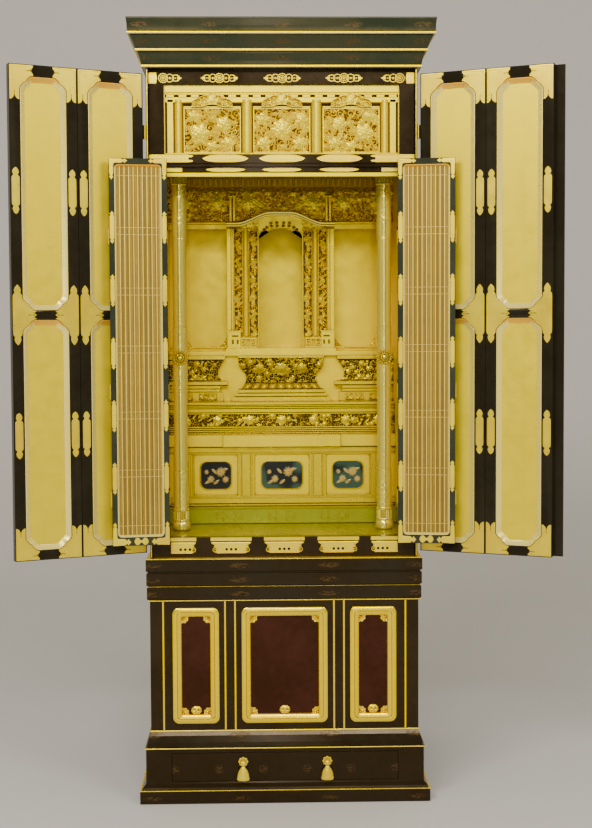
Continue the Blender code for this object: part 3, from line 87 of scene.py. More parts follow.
def node_high(node):
    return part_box(node)[1]


def flat_box(node):
    """A node's two corners, as x and z."""
    low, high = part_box(node)
    return (low.x, low.z), (high.x, high.z)


def across(sign, near, far):
    """Two places across on one side of the middle line, the lower first."""
    return sorted((sign * near, sign * far))


# Main faces, read from the frame
BODY_HALF = node_high("cabinet_side_right").x
FRONT_Y = node_low("cabinet_side_right").y
BACK_Y = node_high("cabinet_back").y
FRAME_FACE = node_low("lower_front_rail").y
FRAME_HALF = node_high("lower_front_rail").x
FRAME_BACK = node_high("lower_front_rail").y
POST_WIDTH = 0.0323
OPENING_HALF = FRAME_HALF - POST_WIDTH
INNER_HALF = node_high("gilt_back_wall").x
WIDE = INNER_HALF - 0.0006  # half width of what fills the altar's room
BODY_Z = node_low("lower_front_rail").z
SILL_Z = node_high("lower_front_rail").z
LINTEL_Z = node_low("main_lintel").z
LINTEL_TOP = node_high("main_lintel").z
TRANSOM_Z = node_low("transom_frame").z
TRANSOM_TOP = node_high("transom_frame").z
CROWN_Z = node_low("crown").z
CROWN_TOP = node_high("crown").z
CEILING_Z = node_low("ceiling_board").z
GAP = 0.0003
FRAME_DEPTH = FRAME_FACE - FRONT_Y
FRAME_BACK_DEPTH = FRAME_BACK - FRONT_Y

# Camera: place, and the way it looks, from the photograph's perspective
CAMERA_PLACE = (-0.0476, -3.3409, 1.0229)
CAMERA_YAW = 0.0244
CAMERA_DIP = 0.0517
CAMERA_ROLL = -0.0047
CAMERA_LENS = 60.87

# Repeats across the front
BAY_PITCH = 0.153
CORNICE_PITCH = 0.197


def length_property(name, description, default, low, high):
    return bpy.props.FloatProperty(
        name=name, description=description, default=default, min=low, max=high, unit="LENGTH"
    )


def power_property(name, description, default):
    return bpy.props.FloatProperty(name=name, description=description, default=default, min=0.0, unit="POWER")


def colour_property(name, description, default):
    return bpy.props.FloatVectorProperty(
        name=name, description=description, default=default, min=0.0, max=1.0, size=3, subtype="COLOR"
    )


class AltarSizes(bpy.types.PropertyGroup):
    """Sizes of the applied work that a maker would change."""

    fitting: length_property("Fitting thickness", "Metal of the rail fittings", 0.0009, 0.0003, 0.002)
    leaf_fitting: length_property(
        "Door fitting thickness", "Metal of the fittings on the leaves", 0.00042, 0.0002, 0.00045
    )
    carving: length_property("Carving depth", "Depth of the transom's carvings", 0.011, 0.004, 0.014)
    carving_step: length_property(
        "Carving step", "Spacing of the points that they are worked out on", 0.001, 0.0006, 0.003
    )
    flutes: bpy.props.IntProperty(
        name="Flutes", description="Flutes round a column's collar", default=24, min=8, max=48
    )
    bars: bpy.props.IntProperty(
        name="Lattice bars", description="Upright bars in a lattice leaf", default=9, min=5, max=15
    )
    bar_width: length_property("Bar width", "Width of a lattice bar", 0.0019, 0.001, 0.004)


class AltarColours(bpy.types.PropertyGroup):
    """Colours of the finishes."""

    lacquer: colour_property("Lacquer", "Black lacquer", (0.0150, 0.0085, 0.0024))
    green_lacquer: colour_property("Crown lacquer", "Green-black lacquer of the crown", (0.022, 0.034, 0.019))
    maroon: colour_property(
        "Field lacquer", "Dark red lacquer of the stand's fields", (0.026, 0.0042, 0.0010)
    )
    clouds: colour_property("Painted clouds", "Gold powder motifs on the lacquer", (0.105, 0.060, 0.020))
    leaf: colour_property("Gold leaf", "Bright gold leaf", (0.94, 0.75, 0.0))
    # Shaded leaf: painted shade in the carving's hollows, and the darker tone of the mottling and the leaf
    # squares.
    leaf_shade_and_tone: colour_property("Shaded leaf", "Gold leaf in the hollows of the carving", (0.76, 0.50, 0.0))
    # Deep ground: painted shade on the ground behind the carving and in crevices.
    ground_painted_shade: colour_property("Deep ground", "Ground behind the carving", (0.085, 0.055, 0.002))
    board: colour_property("Door boards", "Pale leaf on the outer doors", (0.97, 0.77, 0.004))
    brass: colour_property("Fittings", "Gilt brass fittings", (1.0, 0.82, 0.040))
    copper: colour_property("Lattice ground", "Gauze behind the lattice", (0.40, 0.25, 0.020))
    bar: colour_property("Lattice bars", "Gilt bars of the lattice", (1.0, 0.76, 0.16))


class AltarStudio(bpy.types.PropertyGroup):
    """Floor and lights, which are not part of the altar."""

    floor: colour_property("Floor", "Pale floor and backdrop", (0.78, 0.77, 0.75))
    key: power_property("Key light", "Upper left light", 84.0)
    centre: power_property("Centre light", "Narrow upright light on the middle line", 17.0)
    fill: power_property("Fill light", "Right hand light", 38.0)
    front: power_property("Front light", "Light over the camera", 112.0)
    sky: bpy.props.FloatProperty(
        name="Room light", description="Even light from all round", default=0.40, min=0.0
    )


def sizes():
    return bpy.context.scene.altar_sizes


def colours():
    return bpy.context.scene.altar_colours


# Forms: points, faces, and how deep each point lies in a carving


class Form:
    """Points, quads, triangles and a hollow value from 0, on top, to 1, at the bottom of the carving. The
    gilt finishes paint shade by it.
    """

    def __init__(self, points, quads, triangles=None, hollow=None):
        self.points = np.asarray(points, float).reshape(-1, 3)
        self.quads = np.asarray(quads, int).reshape(-1, 4)
        self.triangles = np.asarray([] if triangles is None else triangles, int).reshape(-1, 3)
        self.hollow = np.zeros(len(self.points)) if hollow is None else np.asarray(hollow, float).ravel()


def gather(forms):
    """One form out of several: each one's faces are renumbered by the points before it."""
    forms = list(forms)
    starts = np.cumsum([0] + [len(form.points) for form in forms[:-1]])
    return Form(
        np.concatenate([form.points for form in forms]),
        np.concatenate([form.quads + start for form, start in zip(forms, starts)]),
        np.concatenate([form.triangles + start for form, start in zip(forms, starts)]),
        np.concatenate([form.hollow for form in forms]),
    )


def outward(form):
    """Turn a closed form's faces outwards: its signed volume is a sixth of the sum of the triple products."""
    p = form.points - form.points.mean(0)
    corners = np.concatenate([form.quads[:, [0, 1, 2]], form.quads[:, [0, 2, 3]], form.triangles])
    a, b, c = (p[corners[:, index]] for index in range(3))
    if np.einsum("ij,ij->i", a, np.cross(b, c)).sum() < 0:
        form.quads = form.quads[:, ::-1]
        form.triangles = form.triangles[:, ::-1]
    return form


def welded(form):
    """Join points that fall together, and drop the faces that lose their area."""
    first, index = np.unique(np.round(form.points, 6), axis=0, return_index=True, return_inverse=True)[1:]
    index = index.ravel()
    quads, triangles = index[form.quads], index[form.triangles]
    same = quads == np.roll(quads, -1, axis=1)
    whole = ~same.any(1)
    once = same.sum(1) == 1
    short = quads[once]
    spare = np.argmax(same[once], axis=1)
    order = (spare[:, None] + np.array([1, 2, 3])) % 4
    triangles = np.concatenate([triangles, np.take_along_axis(short, order, axis=1)])
    good = (triangles != np.roll(triangles, -1, axis=1)).all(1)
    quads = quads[whole]
    crossed = (quads[:, 0] == quads[:, 2]) | (quads[:, 1] == quads[:, 3])
    return Form(form.points[first], quads[~crossed], triangles[good], form.hollow[first])


def make_piece(name, forms, look, slot, nodes=(), body="cabinet", sharp=38.0):
    """Put forms into a mesh object with a finish. It rides on a body, and may stand for CAD nodes."""
    form = welded(gather(forms if isinstance(forms, (list, tuple)) else [forms]))
    mesh = bpy.data.meshes.new(name)
    corners = np.concatenate([form.quads.ravel(), form.triangles.ravel()])
    counts = np.concatenate([np.full(len(form.quads), 4), np.full(len(form.triangles), 3)])
    mesh.vertices.add(len(form.points))
    mesh.vertices.foreach_set("co", form.points.astype(np.float32).ravel())
    mesh.loops.add(len(corners))
    mesh.loops.foreach_set("vertex_index", corners.astype(np.int32))
    mesh.polygons.add(len(counts))
    mesh.polygons.foreach_set("loop_start", (np.cumsum(counts) - counts).astype(np.int32))
    mesh.update(calc_edges=True)
    mesh.polygons.foreach_set("use_smooth", np.ones(len(counts), bool))
    mesh.set_sharp_from_angle(angle=math.radians(sharp))
    hollow = mesh.attributes.new("hollow", "FLOAT", "POINT")
    hollow.data.foreach_set("value", form.hollow.astype(np.float32))
    mesh.materials.append(bpy.data.materials[look])
    piece = bpy.data.objects.new(name, mesh)
    bpy.context.scene.collection.objects.link(piece)
    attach(piece, body)
    if nodes:
        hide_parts(*nodes)
    return piece


def grid_quads(rows, columns, wrap_rows=False, wrap_columns=False):
    """Quads of a grid numbered row by row. A wrapped side joins its last line to its first."""
    r = np.arange(rows if wrap_rows else rows - 1)
    c = np.arange(columns if wrap_columns else columns - 1)
    r, c = np.meshgrid(r, c, indexing="ij")
    below, beside = (r + 1) % rows, (c + 1) % columns
    return np.stack(
        [r * columns + c, r * columns + beside, below * columns + beside, below * columns + c], -1
    ).reshape(-1, 4)


def loft(rings, round_trip=False, hollow=None):
    """A solid through rings of points. It is capped by a fan at each end, or comes back to its first ring."""
    rings = np.asarray(rings, float)
    count, around = rings.shape[:2]
    points = rings.reshape(-1, 3)
    values = np.zeros(len(points)) if hollow is None else np.asarray(hollow, float).ravel()
    triangles = None
    if not round_trip:
        points = np.vstack([points, rings[0].mean(0), rings[-1].mean(0)])
        values = np.concatenate([values, values[:1], values[-1:]])
        one = np.arange(around)
        two = (one + 1) % around
        last = (count - 1) * around
        foot = np.stack([np.full(around, count * around), two, one], -1)
        head = np.stack([np.full(around, count * around + 1), last + one, last + two], -1)
        triangles = np.concatenate([foot, head])
    return outward(Form(points, grid_quads(count, around, round_trip, True), triangles, values))


def front_face(y):
    """Surface function of a face that looks to -Y: a height h stands forward of y."""

    def put(x, z, h):
        return np.stack(np.broadcast_arrays(x, y - h, z), -1)

    return put


def rounded(low, high, corner, steps=6):
    """Outline of a rectangle with arcs at its corners, as an array of x and z."""
    turn = np.arange(steps + 1) / steps * math.pi / 2
    angle = np.concatenate([turn + quarter * math.pi / 2 for quarter in range(4)])
    cx = np.repeat([high[0] - corner, low[0] + corner, low[0] + corner, high[0] - corner], steps + 1)
    cz = np.repeat([high[1] - corner, high[1] - corner, low[1] + corner, low[1] + corner], steps + 1)
    return np.stack([cx + corner * np.cos(angle), cz + corner * np.sin(angle)], -1)


def cusp_reach(corner, angle):
    """Distance from a cut corner's centre: a straight cut of equal legs, with two bulges and a cusp
    between them."""
    return corner / (np.cos(angle) + np.sin(angle)) + 0.07 * corner * np.abs(np.sin(4 * angle)) ** 0.8


def cusped(low, high, corner, steps=6):
    """Outline of a rectangle whose corners are cut off with a cusp, as an array of x and z."""
    angle = np.arange(steps + 1) / steps * math.pi / 2
    reach = cusp_reach(corner, angle)
    corners = []
    for quarter, (cx, cz) in enumerate(((1, 1), (0, 1), (0, 0), (1, 0))):
        centre = (high[0] - corner if cx else low[0] + corner, high[1] - corner if cz else low[1] + corner)
        turned_by = angle + quarter * math.pi / 2
        corners.append(
            np.stack([centre[0] + reach * np.cos(turned_by), centre[1] + reach * np.sin(turned_by)], -1)
        )
    return np.concatenate(corners)


def ring_frame(levels, surface, steps=6, round_trip=True, hollow=None):
    """A frame or a raised panel: each level is (low, high, corner, h), a rounded rectangle at a height. A
    negative corner is cut off with a cusp."""
    rings = []
    for low, high, corner, h in levels:
        flat = rounded(low, high, corner, steps) if corner >= 0 else cusped(low, high, -corner, steps)
        rings.append(surface(flat[:, 0], flat[:, 1], np.full(len(flat), h)))
    values = None if hollow is None else np.repeat(hollow, 4 * (steps + 1))
    return loft(rings, round_trip, values)


def grown(low, high, by):
    """A rectangle's corners moved out by a distance."""
    return (low[0] - by, low[1] - by), (high[0] + by, high[1] + by)


SUNK = 0.0002  # how far a plate's walls run into the face below it


def plate(x, z, h, surface, hollow=None):
    """A thin plate from grids of x, z and h. Walls run down from its rim, and strips between its first
    and last rows, with a fan at each end, close it underneath."""
    top = surface(x, z, h)
    rows, columns = x.shape
    foot = surface(x, z, np.full_like(h, -SUNK))
    index = np.arange(rows * columns).reshape(rows, columns)
    loop = np.concatenate([index[0, :], index[1:, -1], index[-1, -2::-1], index[-2:0:-1, 0]])
    following = np.roll(loop, -1)
    base = rows * columns
    ring = np.arange(len(loop))
    walls = np.stack([loop, following, base + np.roll(ring, -1), base + ring], -1)
    place = np.zeros(base, int)
    place[loop] = base + ring
    first, last = place[index[0]], place[index[-1]]
    under = np.stack([first[:-1], last[:-1], last[1:], first[1:]], -1)
    fans = []
    for column in (0, -1):
        edge = place[index[:, column]]
        fans.append(
            np.stack([np.full(rows - 2, edge[0]), edge[1:-1], edge[2:]], -1)[:, :: 1 if column == 0 else -1]
        )
    points = np.concatenate([top.reshape(-1, 3), foot.reshape(-1, 3)[loop]])
    values = np.zeros(x.shape) if hollow is None else hollow
    values = np.concatenate([values.ravel(), values.ravel()[loop]])
    quads = np.concatenate([grid_quads(rows, columns), walls[:, ::-1], under[:, ::-1]])
    return outward(Form(points, quads, np.concatenate(fans), values))


PLATE_ROWS = np.array([-1.0, -0.90, -0.80, -0.40, 0.0, 0.40, 0.80, 0.90, 1.0])
PLATE_RISE = np.array([0.55, 1.0, 0.92, 1.0, 1.05, 1.0, 0.92, 1.0, 0.55])
PLATE_LINE = np.array([0.15, 0.0, 0.55, 0.0, 0.0, 0.0, 0.55, 0.0, 0.15])


def fitting(centre, length, width, outline, surface, thick, upright=False, stations=61):
    """A strip of metal with an engraved line inside its edge. Its half width at each share of its length,
    from -1 to 1, is the outline's value there, as (share, width) pairs joined by straight runs."""
    share = np.linspace(-1, 1, stations)
    known = np.array(outline, float)
    half = np.interp(np.abs(share) if known[0, 0] >= 0 else share, known[:, 0], known[:, 1]) * width / 2
    along = np.broadcast_to(share * length / 2, (len(PLATE_ROWS), stations))
    across = PLATE_ROWS[:, None] * np.maximum(half, 0.00005)
    h = PLATE_RISE[:, None] * thick * np.ones(stations)
    hollow = PLATE_LINE[:, None] * np.ones(stations)
    x, z = (across, along) if upright else (along, across)
    return plate(centre[0] + x, centre[1] + z, h, surface, hollow)


GOURD = (
    (0.0, 1.0), (0.52, 1.0), (0.60, 0.93), (0.655, 0.55), (0.68, 0.50), (0.72, 0.72), (0.79, 0.82),
    (0.88, 0.66), (0.95, 0.42), (1.0, 0.0)
)
LENS = ((0.0, 1.0), (0.45, 0.97), (0.66, 0.84), (0.82, 0.60), (0.93, 0.32), (1.0, 0.0))


def tube(path, radius, surface, sides=8, closed=False, flat=1.0, hollow=0.0):
    """A round rod along a flat path of (x, z, h): rings stand square to the path, squeezed in height."""
    path = np.asarray(path, float)
    if closed:
        run = np.roll(path, -1, axis=0) - np.roll(path, 1, axis=0)
    else:
        run = np.gradient(path, axis=0)
    run = run[:, :2] / np.maximum(np.linalg.norm(run[:, :2], axis=1, keepdims=True), 1e-9)
    radius = np.broadcast_to(radius, len(path))
    turn = np.arange(sides) / sides * math.tau
    x = path[:, 0, None] + radius[:, None] * np.cos(turn) * -run[:, 1, None]
    z = path[:, 1, None] + radius[:, None] * np.cos(turn) * run[:, 0, None]
    h = path[:, 2, None] + radius[:, None] * np.sin(turn) * flat
    return loft(surface(x, z, h), closed, np.full(x.size, hollow))


def ring_path(cx, cz, radius, h, count=20):
    """A circle as a closed path."""
    turn = np.arange(count) / count * math.tau
    return np.stack([cx + radius * np.cos(turn), cz + radius * np.sin(turn), np.full(count, h)], -1)


def curl_path(cx, cz, radius, turns, start, sense, h, count=28, inner=0.18):
    """A spiral that winds in from its radius to a share of it."""
    t = np.linspace(0, 1, count)
    reach = radius * (1 - (1 - inner) * t)
    angle = start + sense * turns * math.tau * t
    return np.stack([cx + reach * np.cos(angle), cz + reach * np.sin(angle), np.full(count, h)], -1)


def bars(lows, highs, surface, chamfer=0.0003):
    """Straight bars between pairs of (x, z, h) corners, with the long front edges taken off."""
    forms = []
    for low, high in zip(lows, highs):
        low, high = np.array(low, float), np.array(high, float)
        upright = high[1] - low[1] > high[0] - low[0]
        side = 0 if upright else 1
        c = min(chamfer, (high[side] - low[side]) * 0.3, (high[2] - low[2]) * 0.5)
        a = np.array([low[side], low[side], low[side] + c, high[side] - c, high[side], high[side]])
        h = np.array([low[2], high[2] - c, high[2], high[2], high[2] - c, low[2]])
        rings = []
        for end in (low[1 - side], high[1 - side]):
            flat = (a, np.full(6, end)) if upright else (np.full(6, end), a)
            rings.append(surface(flat[0], flat[1], h))
        forms.append(loft(rings))
    return forms


def moulding(levels, back=BACK_Y, half=BODY_HALF, front=FRONT_Y):
    """A moulding round the front and both sides, mitred at the corners: levels are (z, overhang)."""
    rings = []
    for z, over in levels:
        x, y = half + over, front - over
        rings.append([(-x, y, z), (x, y, z), (x, back, z), (-x, back, z)])
    return loft(rings)


def edge_strip(low_z, high_z, over, rise, back=BACK_Y - 0.001):
    """A thin half-round line round the front and sides, standing out by a rise."""
    t = np.linspace(0, math.pi, 7)
    levels = [(low_z, over - 0.002)]
    levels += [
        (low_z + (high_z - low_z) * (1 - math.cos(a)) / 2, over + rise * math.sin(a) ** 0.6) for a in t
    ]
    levels.append((high_z, over - 0.002))
    return moulding(levels, back)


def turned(profile, centre, sides=32, flat=1.0):
    """A lathe form about an upright axis: (radius, z) pairs from one pole to the other."""
    profile = np.array(profile, float)
    turn = np.arange(sides) / sides * math.tau
    x = centre[0] + profile[:, 0, None] * np.cos(turn)
    y = centre[1] + profile[:, 0, None] * np.sin(turn) * flat
    z = np.broadcast_to(profile[:, 1, None], x.shape)
    return loft(np.stack([x, y, z], -1))


def relief(x, z, y, back, hollow=None):
    """A carved block: grids of the front's points, sides that run back to a depth, and a fan that closes
    it behind."""
    px, pz, py = (np.pad(grid, 1, mode="edge") for grid in (x, z, y))
    py[0, :] = py[-1, :] = py[:, 0] = py[:, -1] = back
    values = np.pad(np.zeros_like(x) if hollow is None else hollow, 1, mode="edge")
    rows, columns = px.shape
    index = np.arange(rows * columns).reshape(rows, columns)
    loop = np.concatenate([index[0, :], index[1:, -1], index[-1, -2::-1], index[-2:0:-1, 0]])
    points = np.stack([px, py, pz], -1).reshape(-1, 3)
    centre = points[loop].mean(0)
    points = np.vstack([points, centre])
    fan = np.stack([np.full(len(loop), len(points) - 1), np.roll(loop, -1), loop], -1)
    return outward(Form(points, grid_quads(rows, columns), fan, np.append(values, 0.5)))


def even_grid(low, high, step):
    """Grids of x and z over a rectangle, spaced as near a step as fits."""
    nx = max(2, round((high[0] - low[0]) / step) + 1)
    nz = max(2, round((high[1] - low[1]) / step) + 1)
    return np.meshgrid(np.linspace(low[0], high[0], nx), np.linspace(low[1], high[1], nz))


# Carving: heights from 0 on the ground to 1 on top


def bloom(x, z, radius, petals, turn):
    """An open flower: two rings of grooved petals round a button, each a dome whose rim is cut by a
    cosine."""
    reach, angle = np.hypot(x, z) / radius, np.arctan2(z, x) + turn
    height = np.zeros_like(reach)
    for size, base, rise, shift in (
        (1.0, 0.30, 0.45, 0.0), (0.64, 0.55, 0.35, math.pi / petals), (0.26, 0.85, 0.15, 0.0)
    ):
        petal = np.abs(np.cos((angle + shift) * petals / 2))
        rim = size * (0.80 + 0.20 * petal)
        dome = np.sqrt(np.clip(1 - (reach / rim) ** 2, 0, 1))
        mound = base * np.minimum(1, 4 * dome) + rise * dome * (0.55 + 0.45 * petal)
        height = np.maximum(height, np.where(reach < rim, mound, 0))
    return height


def leaf(x, z, radius, petals, turn):
    """A pointed leaf with a sunk midrib and side veins: it is widest at a third of its length."""
    along = (x * np.cos(turn) + z * np.sin(turn)) / radius
    across = (-x * np.sin(turn) + z * np.cos(turn)) / radius
    width = 0.42 * np.clip(1 - along**2, 0, 1) ** 0.8 * (1 - 0.25 * along) + 1e-6
    side = np.abs(across) / width
    body = np.sqrt(np.clip(1 - side**2, 0, 1)) * np.where(np.abs(along) < 1, 1, 0)
    veins = 0.12 * np.abs(np.sin(9 * along + 5 * side))
    height = 0.35 + 0.5 * body - veins - 0.25 * np.exp(-((side / 0.18) ** 2))
    return np.where(side < 1, height, 0) * (body > 0)


def curl(x, z, radius, petals, turn):
    """A scroll: the ridge of an Archimedean spiral of one and a half turns."""
    reach, angle = np.hypot(x, z) / radius, np.arctan2(z, x) + turn
    place = reach * 1.7 - petals * angle / math.tau
    off = np.abs(place - np.round(place)) / 1.7
    ridge = np.sqrt(np.clip(1 - (off / 0.20) ** 2, 0, 1))
    return ridge * (0.45 + 0.30 * (1 - reach)) * (reach < 1)


# Each motif takes its own x and z, radius, petals and turn. A leaf has one petal, and a curl's petals are the
# sense that it winds in
MOTIFS = {"bloom": bloom, "leaf": leaf, "curl": curl}


def carve(x, z, motifs):
    """Highest motif at each point. A motif is (kind, x, z, radius, petals or sense, turn, lift)."""
    height = np.zeros_like(x)
    for kind, cx, cz, radius, petals, turn, lift in motifs:
        near = (np.abs(x - cx) < 1.05 * radius) & (np.abs(z - cz) < 1.05 * radius)
        if near.any():
            found = MOTIFS[kind](x[near] - cx, z[near] - cz, radius, petals, turn)
            height[near] = np.maximum(height[near], np.where(found > 0.02, found * (1 - lift) + lift, 0))
    return height


def foliage(seed, low, high, pitch, kinds=("curl", "leaf", "leaf", "bloom"), size=0.62):
    """Small motifs on a jittered triangular lattice, so that they crowd without lining up."""
    rng = np.random.default_rng(seed)
    motifs = []
    rows = max(1, int((high[1] - low[1]) / (pitch * 0.86)))
    columns = max(1, int((high[0] - low[0]) / pitch))
    for row in range(rows + 1):
        for column in range(columns + 1):
            cx = low[0] + (high[0] - low[0]) * (column + 0.5 * (row % 2)) / columns
            cx += rng.uniform(-0.2, 0.2) * pitch
            cz = low[1] + (high[1] - low[1]) * row / rows + rng.uniform(-0.2, 0.2) * pitch
            kind = kinds[rng.integers(len(kinds))]
            sense = 1 if rng.random() < 0.5 else -1
            count = {"curl": sense, "leaf": 1, "bloom": 5 + rng.integers(3)}[kind]
            grow = rng.uniform(0.8, 1.25)
            motifs.append((kind, cx, cz, size * pitch * grow, count, rng.uniform(0, math.tau), 0.0))
    return motifs


def shade(height, depth=1.0):
    """Hollow value of a carved height, for painted shade: the top stays clear and the ground is dark."""
    return np.clip((1 - height) * 1.15 - 0.12, 0, 1) * depth


# Shader groups, each built once and placed in the materials with its own values


def feed(tree, socket, value):
    """Set a socket to a value, or link it to another socket."""
    if isinstance(value, bpy.types.NodeSocket):
        tree.links.new(value, socket)
    else:
        socket.default_value = value


def add_node(tree, kind, inputs=None, **settings):
    made = tree.nodes.new("ShaderNode" + kind)
    for key, value in settings.items():
        setattr(made, key, value)
    for key, value in (inputs or {}).items():
        feed(tree, made.inputs[key], value)
    return made


def calc(tree, operation, *values, clamp=False):
    """A Math node's result."""
    made = add_node(tree, "Math", operation=operation, use_clamp=clamp)
    for socket, value in zip(made.inputs, values):
        feed(tree, socket, value)
    return made.outputs[0]


def fade(tree, value, start, end):
    """0 below start, 1 above end, and a smooth step between; start may be the larger one."""
    ends = {"From Min": min(start, end), "From Max": max(start, end)}
    rise = add_node(tree, "MapRange", {"Value": value, **ends}, interpolation_type="SMOOTHSTEP").outputs[0]
    return rise if start < end else calc(tree, "SUBTRACT", 1.0, rise)


def blend(tree, factor, one, two):
    """Colour one where the factor is 0 and colour two where it is 1."""
    made = add_node(tree, "Mix", data_type="RGBA")
    for index, item in ((0, factor), (6, one), (7, two)):
        feed(
            tree, made.inputs[index],
            item if isinstance(item, (float, bpy.types.NodeSocket)) else (*item, 1.0)
        )
    return made.outputs[2]


def new_group(name, inputs, outputs):
    """A shader group with its sockets: inputs are (name, kind, default), outputs are (name, kind)."""
    tree = bpy.data.node_groups.new(name, "ShaderNodeTree")
    for label, kind, value in inputs:
        socket = tree.interface.new_socket(label, in_out="INPUT", socket_type="NodeSocket" + kind)
        if value is not None:
            socket.default_value = value
    for label, kind in outputs:
        tree.interface.new_socket(label, in_out="OUTPUT", socket_type="NodeSocket" + kind)
    return tree, tree.nodes.new("NodeGroupInput").outputs, tree.nodes.new("NodeGroupOutput").inputs


def mottling_group():
    """Soft patches: noise at one scale with a finer one over it, stretched to fill 0 to 1."""
    tree, given, result = new_group(
        "Mottling", [("Point", "Vector", None), ("Scale", "Float", 20.0)], [("Value", "Float")]
    )
    broad = add_node(tree, "TexNoise", {"Vector": given["Point"], "Scale": given["Scale"], "Detail": 3.0})
    fine = add_node(
        tree, "TexNoise",
        {"Vector": given["Point"], "Scale": calc(tree, "MULTIPLY", given["Scale"], 7.0), "Detail": 2.0}
    )
    both = calc(
        tree, "ADD", calc(tree, "MULTIPLY", broad.outputs[0], 0.7),
        calc(tree, "MULTIPLY", fine.outputs[0], 0.3)
    )
    feed(tree, result["Value"], fade(tree, both, 0.34, 0.66))


def leaf_squares_group():
    """Squares of beaten leaf: each square has its own tone, and its overlapped edges show as a fine seam."""
    inputs = [("Point", "Vector", None), ("Square", "Float", 0.05)]
    tree, given, result = new_group("Leaf squares", inputs, [("Tone", "Float"), ("Seam", "Float")])
    scaled = add_node(
        tree, "VectorMath", {0: given["Point"], "Scale": calc(tree, "DIVIDE", 1.0, given["Square"])},
        operation="SCALE"
    )
    cell = add_node(tree, "VectorMath", {0: scaled.outputs[0]}, operation="FLOOR")
    tone = add_node(tree, "TexWhiteNoise", {"Vector": cell.outputs[0]}, noise_dimensions="3D")
    axes = add_node(tree, "SeparateXYZ", {0: scaled.outputs[0]})
    away = [calc(tree, "PINGPONG", axes.outputs[axis], 0.5) for axis in (0, 2)]
    feed(tree, result["Tone"], tone.outputs["Value"])
    feed(tree, result["Seam"], fade(tree, calc(tree, "MINIMUM", *away), 0.020, 0.004))


def carving_shade_group():
    """Painted shade by depth: leaf bright on top, orange in the hollows and dark on the ground."""
    inputs = [
        ("Hollow", "Float", 0.0), ("Top", "Color", (1, 1, 1, 1)), ("Deep", "Color", (1, 1, 1, 1)),
        ("Dark", "Color", (0, 0, 0, 1))
    ]
    tree, given, result = new_group("Carving shade", inputs, [("Color", "Color"), ("Depth", "Float")])
    first = blend(tree, fade(tree, given["Hollow"], 0.22, 0.78), given["Top"], given["Deep"])
    depth = fade(tree, given["Hollow"], 0.66, 1.0)
    feed(tree, result["Color"], blend(tree, depth, first, given["Dark"]))
    feed(tree, result["Depth"], depth)


def painted_crevice_shade_group():
    """Painted shade where surfaces meet closely, from ambient occlusion: 1 in the depth of a groove, 0 in the
    open.
    """
    tree, given, result = new_group("Painted crevice shade", [("Reach", "Float", 0.01)], [("Mask", "Float")])
    openness = add_node(tree, "AmbientOcclusion", {"Distance": given["Reach"]}, samples=4).outputs["AO"]
    feed(tree, result["Mask"], fade(tree, openness, 0.94, 0.42))


def painted_clouds_group():
    """Gold powder clouds: patches on a pitch across the front and in rows, broken up by a flat noise."""
    inputs = [
        ("Point", "Vector", None), ("Pitch", "Float", 0.15), ("Shift", "Float", 0.0),
        ("Half width", "Float", 0.02)
    ]
    inputs += [("Row", "Float", 0.0), ("Row pitch", "Float", 1.0), ("Row half", "Float", 0.006)]
    tree, given, result = new_group("Painted clouds", inputs, [("Mask", "Float")])
    axes = add_node(tree, "SeparateXYZ", {0: given["Point"]})
    across = calc(
        tree, "PINGPONG", calc(tree, "ADD", axes.outputs[0], given["Shift"]),
        calc(tree, "MULTIPLY", given["Pitch"], 0.5)
    )
    up = calc(
        tree, "PINGPONG", calc(tree, "SUBTRACT", axes.outputs[2], given["Row"]),
        calc(tree, "MULTIPLY", given["Row pitch"], 0.5)
    )
    wide = calc(tree, "DIVIDE", across, given["Half width"])
    tall = calc(tree, "DIVIDE", up, given["Row half"])
    reach = calc(
        tree, "SQRT",
        calc(tree, "ADD", calc(tree, "MULTIPLY", wide, wide), calc(tree, "MULTIPLY", tall, tall))
    )
    flat = add_node(tree, "Mapping", {"Vector": given["Point"], "Scale": (130.0, 130.0, 330.0)})
    noise = add_node(tree, "TexNoise", {"Vector": flat.outputs[0], "Scale": 1.0, "Detail": 2.5})
    feed(
        tree, result["Mask"],
        calc(tree, "MULTIPLY", fade(tree, reach, 1.0, 0.45), fade(tree, noise.outputs[0], 0.44, 0.56))
    )


def rounded_edge_group():
    """A normal that rolls over a sharp edge, and a mask of where it does, for planed boards."""
    tree, given, result = new_group(
        "Rounded edge", [("Radius", "Float", 0.001)], [("Normal", "Vector"), ("Edge", "Float")]
    )
    rolled = add_node(tree, "Bevel", {"Radius": given["Radius"]}, samples=4)
    plain = add_node(tree, "NewGeometry")
    along = add_node(
        tree, "VectorMath", {0: rolled.outputs[0], 1: plain.outputs["Normal"]}, operation="DOT_PRODUCT"
    )
    feed(tree, result["Normal"], rolled.outputs[0])
    feed(tree, result["Edge"], fade(tree, along.outputs["Value"], 0.999, 0.90))


def start_material(name):
    """An empty material: its tree, Principled shader and Object coordinates."""
    made = bpy.data.materials.new(name)
    made.use_nodes = True
    tree = made.node_tree
    point = add_node(tree, "TexCoord").outputs["Object"]
    return tree, tree.nodes["Principled BSDF"].inputs, point


def use_group(tree, name, inputs):
    made = add_node(tree, "Group", node_tree=bpy.data.node_groups[name])
    for key, value in inputs.items():
        feed(
            tree, made.inputs[key],
            value if not isinstance(value, tuple) or len(value) != 3 else (*value, 1.0)
        )
    return made.outputs


def mottled(tree, point, scale):
    return use_group(tree, "Mottling", {"Point": point, "Scale": scale})["Value"]


def fine_noise(tree, point, scale, detail):
    return add_node(tree, "TexNoise", {"Vector": point, "Scale": scale, "Detail": detail}).outputs[0]


def bumped(tree, height, distance, strength=1.0, normal=None):
    inputs = {"Height": height, "Distance": distance, "Strength": strength}
    if normal is not None:
        inputs["Normal"] = normal
    return add_node(tree, "Bump", inputs).outputs[0]


